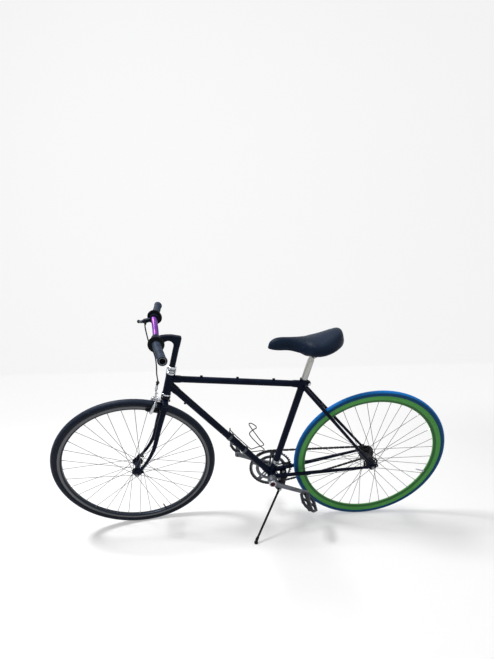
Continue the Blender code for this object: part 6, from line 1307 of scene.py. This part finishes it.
def crankset():
    """The spindle; two arms whose outer faces are hollowed by a fourth power across them, with their bosses,
    caps and eyes; and the chainring: a toothed ring, an inner ring and spokes with their webs and bolts."""
    spindle = Piece("steel_spindle", "crank", "chrome", CRANK)
    spindle.add(about_y(turned([(0.0085, -0.0730), (0.0085, -0.0420), (0.0092, -0.0390), (0.0092, 0.0390),
                                (0.0085, 0.0420), (0.0085, 0.0730)], 40)), chrome)
    spindle.done("crank_spindle")
    for word, side in (("left", -1), ("right", 1)):
        arm = Piece(word + "_arm_forged", "crank", "alloy", CRANK)
        reach = np.array([0.008, 0.020, 0.034, 0.060, 0.100, 0.135, 0.150, 0.158])
        wide = np.array([0.0290, 0.0255, 0.0218, 0.0200, 0.0190, 0.0186, 0.0202, 0.0228])
        thick = np.array([0.0128, 0.0130, 0.0126, 0.0122, 0.0116, 0.0114, 0.0118, 0.0120])
        line = flow(np.column_stack([-side * reach, 0 * reach + side * ARM_PLANE, 0 * reach, thick, wide]), 8)
        grid = sweep(line[:, :3], oval(line[:, 3], line[:, 4], 4, 56), (0, 1, 0))
        from_axle = abs(line[:, 0])
        window = np.clip((from_axle - 0.030) / 0.008, 0, 1) * np.clip((0.140 - from_axle) / 0.008, 0, 1)
        outside = side * (grid[..., 1] - side * ARM_PLANE) > 0.0035
        hollow = 0.0012 * np.clip(1 - (grid[..., 2] / 0.0055) ** 4, 0, 1) * window[:, None] * outside
        grid[..., 1] -= side * hollow
        arm.add(grid, crank_alloy)
        outer = aimed((0, side * ARM_PLANE, 0), (0, side, 0), (1, 0, 0))
        arm.add_ring([(0.0093, -0.0072), (0.0150, -0.0072), (0.0163, -0.0058), (0.0163, 0.0055),
                      (0.0152, 0.0067), (0.0114, 0.0068), (0.0112, 0.0040), (0.0093, 0.0040)], 0.0006, 64,
                     cast_alloy, outer)
        arm.add_turned([(0, 0.0030), (0.0109, 0.0030), (0.0109, 0.0058), (0.0098, 0.0064), (0.0045, 0.0066),
                        (0.0040, 0.0050), (0, 0.0050)], 0.0004, 48, dull_red, outer)
        eye = aimed((-side * CRANK_LENGTH, side * ARM_PLANE, 0), (0, side, 0), (1, 0, 0))
        arm.add_turned([(0, -0.0062), (0.0112, -0.0062), (0.0124, -0.0050), (0.0124, 0.0048),
                        (0.0112, 0.0062), (0, 0.0062)], 0.0006, 48, crank_alloy, eye)
        arm.add(disc(0.0045, -0.0066, -0.0058, 0.0003, 24), dark_steel, eye)
        arm.add(nut(0.0090, 0.0066, 0.0120), chrome, eye)
        pedal_pin = [(0.0060, 0.0062), (0.0060, 0.0700), (0.0050, 0.0710), (0.0050, 0.0980), (0, 0.0980)]
        arm.add(turned(pedal_pin, 32), chrome, eye)
        arm.done(word + "_crank_arm")
    ring = Piece("slotted_chainring", "crank", "alloy", CRANK)
    tip = RING_PITCH + TOOTH_RISE
    ring.add(toothed_ring(RING_TEETH, tip, tip - 0.013), crank_alloy, shift(0, CHAIN_LINE, 0), ring=True)
    flat = soft(box_ring(0.0555, 0.0705, -0.0016, 0.0016), 0.0005, True)
    ring.add(about_y(turned(flat, 120)), crank_alloy, shift(0, CHAIN_LINE, 0), ring=True)
    for k in range(5):
        spot = turn("y", -(2 * pi * k / 5 + pi / 5))
        for edge in (-0.0068, 0.0068):
            path = np.array([(0.016, CHAIN_LINE + 0.0008, edge * 1.05), (0.040, CHAIN_LINE + 0.0006, edge),
                             (0.060, CHAIN_LINE + 0.0003, edge)])
            ring.add(sweep(flow(path, 4), oval([0.0046] * 4 + [0.0040] * 5, 0.0078, 5, 20), (0, 1, 0)),
                     crank_alloy, spot)
        web = np.array([(0.0690, CHAIN_LINE, 0), (0.0780, CHAIN_LINE, 0), (tip - 0.0105, CHAIN_LINE, 0)])
        web_width = np.interp(np.linspace(0, 1, 9), (0, 0.4, 1), (0.026, 0.019, 0.024))
        ring.add(sweep(flow(web, 4), oval(0.0029, web_width, 6, 20), (0, 1, 0)), crank_alloy, spot)
        for outwards, height in ((1, 0.0034), (-1, 0.0026)):
            bolt_at = aimed((0.066, CHAIN_LINE, 0), (0, outwards, 0), (1, 0, 0))
            ring.add(disc(0.0046, 0.0014, height, 0.0005, 24), chrome, spot @ bolt_at)
    boss = soft([(0.0093, -0.0395), (0.0215, -0.0395), (0.0220, -0.0410), (0.0220, -0.0470),
                 (0.0190, -0.0520), (0.0180, -0.0625), (0.0093, -0.0625)], 0.0008, True)
    ring.add(about_y(turned(boss, 64)), crank_alloy, ring=True)
    ring.done("chainring")


def chain_path():
    """Arcs round both sprockets, a straight upper run, and a lower run that bows by a cosine."""
    big, small = BRACKET[[0, 2]], REAR_AXLE[[0, 2]]
    apart = small - big
    heading = atan2(apart[1], apart[0])
    lean = acos((RING_PITCH - SPROCKET_PITCH) / np.linalg.norm(apart))
    front = arc(big, RING_PITCH, heading + lean, heading - lean + 2 * pi, 200)
    rear = arc(small, SPROCKET_PITCH, heading - lean, heading + lean, 80)
    share = np.linspace(0, 1, 100)[1:-1, None]
    bow = 0.006 * (1 - np.cos(2 * pi * share)) / 2 * np.array([sin(heading), -cos(heading)])
    lower = front[-1] * (1 - share) + rear[0] * share + bow
    upper = rear[-1] * (1 - share) + front[0] * share
    return np.vstack([front, lower, rear, upper, front[:1]])


def chain_piece():
    """Links a pitch apart along the loop: inner and outer pairs of waisted plates by turns, with pins."""
    loop = chain_path()
    length = np.concatenate([[0], np.cumsum(np.linalg.norm(np.diff(loop, axis=0), axis=1))])
    count = 2 * round(length[-1] / CHAIN_PITCH / 2)
    at = np.linspace(0, length[-1], count, endpoint=False)
    joints = np.stack([np.interp(at, length, loop[:, k]) for k in (0, 1)], 1)
    pitch = length[-1] / count
    outline = np.vstack([arc((pitch, 0), 0.0041, -1.35, 1.35, 5), [(pitch / 2, 0.0029)],
                         arc((0, 0), 0.0041, pi - 1.35, pi + 1.35, 5), [(pitch / 2, -0.0029)]])
    made = Piece("roller_chain", "frame", "dark_steel")
    for k in range(count):
        step = joints[(k + 1) % count] - joints[k]
        spot = shift(joints[k][0], CHAIN_LINE, joints[k][1]) @ turn("y", -atan2(step[1], step[0]))
        gap = 0.0022 if k % 2 else 0.0034
        for side in (-1, 1):
            made.add(slab(outline, 0.0010, 0), chain_steel, spot @ shift(0, side * gap, 0))
        made.add(about_y(turned([(0.0038, -0.0016), (0.0038, 0.0016)], 8)), chain_steel, spot)
        made.add(about_y(turned([(0.0017, -0.0041), (0.0017, 0.0041)], 6)), chain_steel, spot)
    made.done("chain")


def freewheel():
    """The toothed sprocket on its stepped, turned body."""
    made = Piece("toothed_freewheel", "sprocket_group", "dark_steel", REAR_WHEEL)
    sprocket = toothed_ring(SPROCKET_TEETH, SPROCKET_PITCH + TOOTH_RISE, 0.0200)
    made.add(sprocket, dark_steel, shift(0, CHAIN_LINE, 0), ring=True)
    body = soft([(0.0145, 0.0375), (0.0222, 0.0375), (0.0225, 0.0385), (0.0225, 0.0470), (0.0215, 0.0482),
                 (0.0160, 0.0482), (0.0155, 0.0494), (0.0105, 0.0494), (0.0100, 0.0470), (0.0145, 0.0450)],
                0.0004, True)
    spot = aimed((0, 0, 0), (0, 1, 0), (1, 0, 0))
    made.add(turned(body, 64), dark_steel, spot, ring=True)
    made.done("rear_sprocket")


def pedal_piece(word, side):
    """An oval cage with serrated long sides round a sleeve on the arm's axle, and four openings."""
    place = CRANK @ shift(-side * CRANK_LENGTH, side * (0.0765 + 0.009 + 0.046), 0)
    place = place @ turn("y", PEDAL_TILT + CRANK_AT_REST)
    made = Piece(word + "_cage_pedal", word + "_pedal_group", "black_metal", place)
    half_w, half_l, corner = 0.0390, 0.0430, 0.0270
    inner_w, inner_l = half_w - corner, half_l - corner
    path = np.vstack([arc((cx * inner_w, cy * inner_l), corner, radians(a), radians(a + 90), 9)
                      for cx, cy, a in ((1, 1, 0), (-1, 1, 90), (-1, -1, 180), (1, -1, 270))])
    path = np.column_stack([path, 0 * path[:, 0]])
    made.add(sweep(path, oval(0.0130, 0.0056, 5, 20), (0, 0, 1), ring=True), pedal_black, ring=True)
    bar_line = [(x, 0, 0) for x in (-half_w, -0.020, 0.020, half_w)]
    made.add(sweep(bar_line, oval([0.0125, 0.0100, 0.0100, 0.0125], 0.0058, 5, 16), (0, 0, 1)), pedal_black)
    for end in (-0.0395, 0.0395):
        made.add(sweep([(-0.016, end, 0), (0.016, end, 0)], oval(0.0120, 0.0048, 5, 16), (0, 0, 1)),
                 pedal_black)
    points = 25
    along_y = np.linspace(-0.030, 0.030, points)
    high = 0.0060 + 0.0024 * (np.arange(points) % 2)
    outline = np.vstack([np.column_stack([along_y, high]), np.column_stack([along_y[::-1], -high[::-1]])])
    for side_x in (-1, 1):
        made.add(slab(outline, 0.0018, 0.0003), pedal_black, shift(side_x * 0.0410, 0, 0) @ turn("z", pi / 2))
    inner, outer = -side * 0.0455, side * 0.0455
    sleeve_line = [(0.0080, 0), (0.0125, 0.0003), (0.0125, 0.0060), (0.0112, 0.0080), (0.0100, 0.0300),
                   (0.0100, 0.0620), (0.0112, 0.0830), (0.0120, 0.0850), (0.0120, 0.0895), (0.0100, 0.0908),
                   (0, 0.0910)]
    made.add_turned(sleeve_line, 0.0006, 48, pedal_black, aimed((0, inner, 0), (0, outer, 0), (1, 0, 0)))
    made.done(word + "_pedal")


crank_alloy = worn("dull_crank_alloy", (0.135, 0.145, 0.165), (0.080, 0.086, 0.100), (0.040, 0.036, 0.033),
                   0.45, 0.34, 1300, 0.00005, (1, 1, 5), streak=0.12, Metallic=0.9)
chain_steel = worn("oiled_chain_steel", (0.014, 0.014, 0.019), (0.030, 0.028, 0.031), (0.11, 0.070, 0.048),
                   0.5, 0.36, 2000, 0.00006, cloud=55, Specular_IOR_Level=0.3, Metallic=0.6)
crankset()
chain_piece()
freewheel()
pedal_piece("left", -1)
pedal_piece("right", 1)


# Seat post, clamp, rails and saddle

SEAT_TOP = 0.6045
CLAMP_DROP = 0.013
RAIL_HEIGHT = 0.838
SADDLE_AT = np.array([(BRACKET + (SEAT_TOP - CLAMP_DROP) * SEAT_DIRECTION)[0], 0, RAIL_HEIGHT])


def seat_pieces():
    """The post with its narrower top and the clamp's band, the clamp's plates and pin, and the wire rails."""
    post = Piece("pillar_seatpost", "seatpost_group", "chrome", SEAT)
    post.add_turned([(0, 0.400), (0.0128, 0.400), (0.0128, SEAT_TOP - 0.0430), (0.0122, SEAT_TOP - 0.0395),
                     (0.0112, SEAT_TOP - 0.0345), (0.0110, SEAT_TOP - 0.0300), (0.0110, SEAT_TOP - 0.0006),
                     (0.0102, SEAT_TOP), (0, SEAT_TOP)], 0.0012, 64, post_steel)
    band_line = [(0.0109, -0.012), (0.0152, -0.012), (0.0160, -0.0108), (0.0160, 0.0108), (0.0152, 0.012),
                 (0.0109, 0.012)]
    post.add_ring(band_line, 0.0006, 64, post_steel, shift(0, 0, SEAT_TOP - CLAMP_DROP))
    post.done("seatpost")
    clamp = Piece("saddle_clip", "saddle_group", "chrome", BIKE @ shift(*SADDLE_AT))
    clamp.add(about_y(turned([(0, -0.0340), (0.0034, -0.0340), (0.0040, -0.0334), (0.0040, 0.0334),
                              (0.0034, 0.0340), (0, 0.0340)], 32)), chrome)
    for side in (-1, 1):
        spot = aimed((0, 0, 0), (0, side, 0), (1, 0, 0))
        clamp.add_ring([(0.0041, 0.0166), (0.0092, 0.0166), (0.0102, 0.0176), (0.0102, 0.0212),
                        (0.0041, 0.0212)], 0.0004, 48, clamp_steel, spot)
        clamp.add_ring([(0.0041, 0.0226), (0.0108, 0.0226), (0.0108, 0.0270), (0.0085, 0.0290),
                        (0.0041, 0.0290)], 0.0006, 48, clamp_steel, spot)
        for edge in (-0.0052, 0.0052):
            for out, thick in ((0.0196, 0.0040), (0.0245, 0.0050)):
                lip = [(x, side * out, edge) for x in (-0.0085, 0.0085)]
                clamp.add(sweep(lip, oval(0.0066, thick, 4, 16), (0, 1, 0)), clamp_steel)
        clamp.add(nut(0.0068, 0.0288, 0.0332), chrome, spot)
    clamp.done("saddle_clamp")
    left = [(-0.222, -0.030, 0.8722), (-0.236, -0.027, 0.860), (-0.252, -0.023, 0.844),
            (-0.264, -0.022, 0.838), (-0.290, -0.022, 0.838), (-0.314, -0.022, 0.8395),
            (-0.332, -0.0195, 0.8470), (-0.350, -0.0150, 0.8550), (-0.368, -0.0100, 0.8610),
            (-0.388, -0.005, 0.8650), (-0.392, 0, 0.8655)]
    path = left + [(x, -y, z) for x, y, z in left[-2::-1]]
    rails = Piece("bent_saddle_rails", "saddle_group", "chrome")
    rails.add(round_rod(flow(path, 6), 0.0035, 20, (0, 0, 1)), dark_steel)
    rails.done("saddle_rails")


def saddle_form():
    """The cover, from smooth lines along it: half width w, top t, edge e, skirt's foot and the hollow's lift.
    Its top is (w cos a, e + (t - e) sin(a)^0.85), less two shallow dips, and its underside turns in."""
    count = 56
    known = np.array([-0.456, -0.450, -0.435, -0.413, -0.377, -0.326, -0.300, -0.275, -0.250, -0.225, -0.204,
                      -0.190, -0.182])
    rows = np.array([
        (0.003, 0.011, 0.017, 0.020, 0.022, 0.045, 0.066, 0.074, 0.0755, 0.069, 0.054, 0.037, 0.020),
        (0.868, 0.884, 0.896, 0.901, 0.9015, 0.9015, 0.903, 0.907, 0.914, 0.923, 0.929, 0.922, 0.900),
        (0.866, 0.866, 0.867, 0.868, 0.866, 0.857, 0.857, 0.858, 0.862, 0.869, 0.876, 0.881, 0.884),
        (0.862, 0.861, 0.859, 0.858, 0.857, 0.849, 0.846, 0.847, 0.852, 0.860, 0.868, 0.874, 0.879),
        (0.0004, 0.001, 0.003, 0.008, 0.014, 0.020, 0.022, 0.022, 0.020, 0.016, 0.009, 0.003, 0.0004),
    ])
    line = flow(np.vstack([known, rows]).T, 12)
    x, w, t, e, b, lift = line.T
    b, lift = np.minimum(b, e - 0.003), np.maximum(lift, 0.0003)
    w, t = np.maximum(w, 0.002), np.maximum(t, e + 0.001)
    a = np.linspace(0, pi, count)
    top_y = w[:, None] * np.cos(a) * (1 + 0.02 * np.sin(a) ** 2)
    top_z = e[:, None] + (t - e)[:, None] * np.sin(a) ** 0.85
    where_dipped = np.clip((x + 0.40) / 0.05, 0, 1)[:, None]
    dip = 0.0012 * np.exp(-(np.linspace(-1, 1, count) / 0.35) ** 2) * where_dipped
    top_z -= dip * np.clip((-0.215 - x) / 0.03, 0, 1)[:, None]
    half_under = [(-0.985, 0.25, 0), (-0.94, 0.60, 0), (-0.90, 0.92, 0), (-0.86, 1, 0), (-0.80, 0.98, 0.05),
                  (-0.76, 1, 0.2), (-0.70, 1, 1), (-0.3, 1, 1.04)]
    under = half_under + [(-out, drop, up) for out, drop, up in half_under[::-1]]
    low_y = np.stack([w * s for s, _, _ in under], 1)
    low_z = np.stack([e + (b - e) * drop + lift * up for _, drop, up in under], 1)
    y, z = np.hstack([top_y, low_y]), np.hstack([top_z, low_z])
    return np.stack([np.broadcast_to(x[:, None], y.shape), y, z], -1)


def saddle_piece():
    """The padded saddle in vinyl."""
    made = Piece("padded_saddle", "saddle_group", "saddle_cover")
    made.add(saddle_form(), vinyl)
    cover = made.done("saddle", angle=60)


seat_pieces()
saddle_piece()


# Side stand and bottle cage

FOLD_TURN, FOLD_DIP = radians(-62.4), radians(-12.2)
FOLD = np.array([cos(FOLD_TURN) * cos(FOLD_DIP), sin(FOLD_TURN) * cos(FOLD_DIP), sin(FOLD_DIP)])
STAND_PIVOT = np.array([-0.404, -0.045, 0.215])


def side_stand():
    """The mount clamped under the chain stays, its arm and barrel, the bolt, and the leg with its shoe."""
    bracket = Piece("stand_mount", "frame", "black_metal")
    plate_place = shift(-0.380, 0, 0.26145) @ turn("y", -0.155)
    across = [(0, y, 0) for y in (-0.030, -0.0285, 0.0285, 0.030)]
    section = oval([0.0300, 0.0320, 0.0320, 0.0300], [0.0064, 0.0080, 0.0080, 0.0064], 6, 28)
    bracket.add(sweep(across, section, (1, 0, 0)), black_steel, plate_place)
    for side in (-1, 1):
        rib = [(x, side * 0.0225, -0.0045) for x in (-0.015, 0.015)]
        bracket.add(sweep(rib, oval(0.0030, 0.0040, 4, 12)), black_steel, plate_place)
    heights = np.array([-0.0225, -0.0205, -0.010, 0.010, 0.0205, 0.0225])
    path = np.stack([0 * heights, 0 * heights, heights], 1)
    section = oval([0.0235, 0.026, 0.026, 0.026, 0.027, 0.027],
                   [0.033, 0.036, 0.036, 0.036, 0.038, 0.040], 5, 28)
    block_place = shift(-0.384, -0.012, 0.2380) @ turn("y", 0.1)
    bracket.add(sweep(path, section, (1, 0, 0)), black_steel, block_place)
    start = np.array([-0.384, -0.016, 0.232])
    end = STAND_PIVOT - 0.013 * FOLD
    line = flow([start, (start + end) / 2 + (0, 0, 0.002), end, STAND_PIVOT - 0.010 * FOLD], 5)
    bracket.add(round_rod(line, np.linspace(0.0128, 0.0112, len(line)), 28), black_steel)
    bracket.add_ring([(0.0034, -0.0262), (0.0105, -0.0262), (0.0116, -0.0250), (0.0116, -0.0020),
                      (0.0108, -0.0006), (0.0034, -0.0006)], 0.0006, 48, black_steel,
                     aimed(STAND_PIVOT, FOLD))
    bracket.add(nut(0.0075, 0.0040, 0.0085), chrome, aimed((-0.380, 0, 0.2655), (-0.155, 0, 1)))
    bracket.done("kickstand_bracket")
    bolt = Piece("stand_pivot_bolt", "frame", "black_metal")
    bolt.add(disc(0.0032, -0.0300, 0.0120, 0.0004, 24), chrome, aimed(STAND_PIVOT, FOLD))
    bolt.add(nut(0.0068, -0.0308, -0.0266), chrome, aimed(STAND_PIVOT, FOLD))
    bolt.add(bolt_head(0.0066, 0.0097, 0.0136), chrome, aimed(STAND_PIVOT, FOLD))
    bolt.done("kickstand_bolt")
    leg = Piece("stand_leg_bent", "kickstand", "black_metal", np.eye(4))
    world_fold = BIKE[:3, :3] @ FOLD
    top = moved([STAND_PIVOT + 0.0045 * FOLD], BIKE)[0]
    foot = moved([(-0.516, -0.198, 0.03)], BIKE)[0]
    low = np.array([foot[0], foot[1], 0.0123])
    leg.add_ring([(0.0036, -0.0045), (0.0095, -0.0045), (0.0105, -0.0035), (0.0105, 0.0035), (0.0095, 0.0045),
                  (0.0036, 0.0045)], 0.0006, 48, black_steel, aimed(top, world_fold))
    down = unit(low - top)
    share = np.array([0.030, 0.06, 0.12, 0.3, 0.6, 0.85, 0.96, 1.0])
    spread = np.array([0.0062, 0.0056, 0.0050, 0.0050, 0.0050, 0.0050, 0.0049, 0.0046])
    line = top + np.outer(share * np.linalg.norm(low - top), down)
    leg.add(round_rod(line, spread, 28), black_steel)
    sock = [low - 0.020 * down, low - 0.012 * down, low - 0.004 * down]
    leg.add(round_rod(sock, [0.0062, 0.0068, 0.0070], 24), pad_rubber)
    leg.done("kickstand_leg")
    shoe = Piece("stand_shoe", "kickstand", "pad_rubber", shift(foot[0], foot[1], 0))
    shoe.add_turned([(0, GROUND_CLEAR), (0.0080, GROUND_CLEAR), (0.0085, 0.0010), (0.0085, 0.0035),
                     (0.0079, 0.0042), (0.0079, 0.0050), (0.0084, 0.0057), (0.0080, 0.0105), (0.0068, 0.0120),
                     (0, 0.0120)], 0.0004, 48, pad_rubber)
    shoe.done("kickstand_foot")


def bottle_cage():
    """One closed wire loop, the same on both sides of the down tube, held by two steel bands with bolts."""
    up = -DOWN_TUBE_DIRECTION
    out = np.array([-up[2], 0, up[0]])
    out = -out if out[2] < 0 else out

    def at(s, n, y):
        """A place s up the down tube from the bracket, n out from it and y to the right."""
        return BRACKET + up * s + out * n + np.array([0, y, 0])

    half = [(0.3045, 0.0300, 0), (0.3030, 0.0285, 0.006), (0.2950, 0.0215, 0.009), (0.2430, 0.0190, 0.009),
            (0.1700, 0.0185, 0.009), (0.1590, 0.0215, 0.010), (0.1480, 0.0420, 0.015),
            (0.1350, 0.0660, 0.018), (0.1370, 0.0720, 0.019), (0.1460, 0.0735, 0.021),
            (0.1675, 0.0740, 0.026), (0.2086, 0.0790, 0.034), (0.2400, 0.0840, 0.038),
            (0.2510, 0.0900, 0.037), (0.2500, 0.1000, 0.030), (0.2420, 0.1100, 0.016),
            (0.2350, 0.1140, 0.006)]
    path = [at(*p) for p in half] + [at(s, n, -y) for s, n, y in half[:0:-1]]
    cage = Piece("wire_bottle_cage", "frame", "chrome")
    cage.add(round_rod(flow(path, 6, ring=True), 0.0021, 14, (0, 1, 0), ring=True), black_steel, ring=True)
    cage.done("bottle_cage")
    for word, place in (("lower", 0.185), ("upper", 0.275)):
        strap = Piece(word + "_strap", "frame", "chrome")
        centre = BRACKET + up * place
        band(centre, up, 0.01445, 0.0161, 0.0120, clamp_steel, strap, 64)
        spot = np.eye(4)
        spot[:3, 0], spot[:3, 1], spot[:3, 2] = up, (0, 1, 0), np.cross(up, (0, 1, 0))
        spot[:3, 3] = centre + out * (MAIN_TUBE_RADIUS + 0.0012)
        block = soft([(-0.0047, -0.0045), (0.0047, -0.0045), (0.0047, 0.0045), (-0.0047, 0.0045)], 0.0015,
                     True)
        strap.add(slab(block, 0.0138, 0.0008), clamp_steel, spot)
        strap.add(bolt_head(0.0040, 0.0, 0.0035), chrome, aimed(centre + out * 0.0198, out))
        strap.done(word + "_cage_band")


side_stand()
bottle_cage()


# Floor, backdrop, lights and camera


def backdrop():
    """One pale sheet: a floor that turns up through a quarter circle into a wall."""
    made = Finish("pale_studio", Roughness=0.85)
    wide = made.noise(0.9, 2).spread(0.3, 0.7)
    made.feed("Base Color", made.mix(wide, (0.800, 0.800, 0.800), (0.815, 0.815, 0.815)))
    axes = made.node("SeparateXYZ", None, {"Vector": made.where}).outputs
    wall_share = Value(made, axes["Z"]).spread(0.002, 0.035)
    far_share = Value(made, axes["Y"]).spread(0.55, 1.7)
    pale = made.mix(wall_share, (0.965, 0.965, 0.965), (0.940, 0.940, 0.943))
    glow = made.node("Emission", None, {"Color": pale, "Strength": 1.0})
    rays = made.node("LightPath")
    seen = Value(made, rays.outputs["Is Camera Ray"]) + Value(made, rays.outputs["Is Glossy Ray"])
    seen = seen + Value(made, rays.outputs["Is Transmission Ray"])
    output = made.tree.nodes["Material Output"]
    share = seen * (0.36 + 0.55 * far_share)
    both = made.node("MixShader", None, {0: share, 1: made.shader.outputs["BSDF"],
                                         2: glow.outputs["Emission"]})
    made.tree.links.new(both.outputs["Shader"], output.inputs["Surface"])
    wall, radius, height, half_width = 2.75, 0.04, 6.0, 9.0
    floor = [(y, 0.0) for y in (-7.0, -3.0, 0.0, wall - radius)]
    angles = np.linspace(0, pi / 2, 24)[1:]
    curve = [(wall - radius + radius * sin(a), radius - radius * cos(a)) for a in angles]
    profile = np.array(floor + curve + [(wall, height)])
    columns = (-half_width, 0.0, half_width)
    points = np.array([[(x, y, z - GROUND_CLEAR) for x in columns] for y, z in profile]).reshape(-1, 3)
    rows = len(profile)
    faces = [(3 * i + j, 3 * i + j + 1, 3 * i + j + 4, 3 * i + j + 3) for i in range(rows - 1)
             for j in range(2)]
    mesh = bpy.data.meshes.new("studio_sweep")
    mesh.from_pydata(points.tolist(), [], faces)
    mesh.materials.append(made.material)
    mesh.shade_smooth()
    sheet = bpy.data.objects.new("studio_sweep", mesh)
    bpy.context.scene.collection.objects.link(sheet)


def soft_light(name, place, target, size, power):
    """A white rectangular lamp at a place, turned towards its target."""
    lamp = bpy.data.lights.new(name, "AREA")
    lamp.shape = "RECTANGLE"
    lamp.size, lamp.size_y = size
    lamp.energy = power
    made = bpy.data.objects.new(name, lamp)
    aim = aimed(place, np.asarray(place) - np.asarray(target), (0, 0, 1))
    made.matrix_world = Matrix(aim.tolist())
    bpy.context.scene.collection.objects.link(made)


backdrop()
soft_light("key_light", (-1.8, 0.22, 3.5), (0.0, 0.1, 0.2), (0.70, 0.70), 146)
soft_light("fill_light", (2.2, -2.0, 1.8), (0.0, 0.1, 0.4), (2.2, 1.6), 20)
soft_light("top_light", (0.9, 0.5, 3.2), (0.5, 0.3, 0.2), (2.6, 2.0), 26)

# The world lights softly, and looks pale to the camera and in reflections
world = bpy.data.worlds.new("studio")
world.use_nodes = True
world.node_tree.nodes["Background"].inputs["Color"].default_value = (1, 1, 1, 1)
world_light, world_seen = 0.24, 0.93
rays = world.node_tree.nodes.new("ShaderNodeLightPath")
strength = world.node_tree.nodes.new("ShaderNodeMapRange")
strength.inputs["To Min"].default_value, strength.inputs["To Max"].default_value = world_light, world_seen
shown = rays.outputs["Is Camera Ray"]
for kind in ("Is Glossy Ray", "Is Transmission Ray"):
    either = world.node_tree.nodes.new("ShaderNodeMath")
    either.operation = "MAXIMUM"
    world.node_tree.links.new(shown, either.inputs[0])
    world.node_tree.links.new(rays.outputs[kind], either.inputs[1])
    shown = either.outputs[0]
world.node_tree.links.new(shown, strength.inputs["Value"])
world.node_tree.links.new(strength.outputs["Result"], world.node_tree.nodes["Background"].inputs["Strength"])
bpy.context.scene.world = world
bpy.context.scene.view_settings.view_transform = "Standard"

lens = bpy.data.cameras.new("camera")
lens.sensor_width, lens.sensor_fit, lens.lens = 36, "AUTO", 19.97
lens.shift_x, lens.shift_y = -0.0118, 0.1558
lens.clip_start, lens.clip_end = 0.05, 60
camera = bpy.data.objects.new("camera", lens)
camera.matrix_world = Matrix((
    (0.99909, 0.031376, -0.028872, -0.040658),
    (-0.039508, 0.426433, -0.903656, -1.330335),
    (-0.01604, 0.903975, 0.427285, 1.147824),
    (0, 0, 0, 1),
))
bpy.context.scene.collection.objects.link(camera)
bpy.context.scene.camera = camera
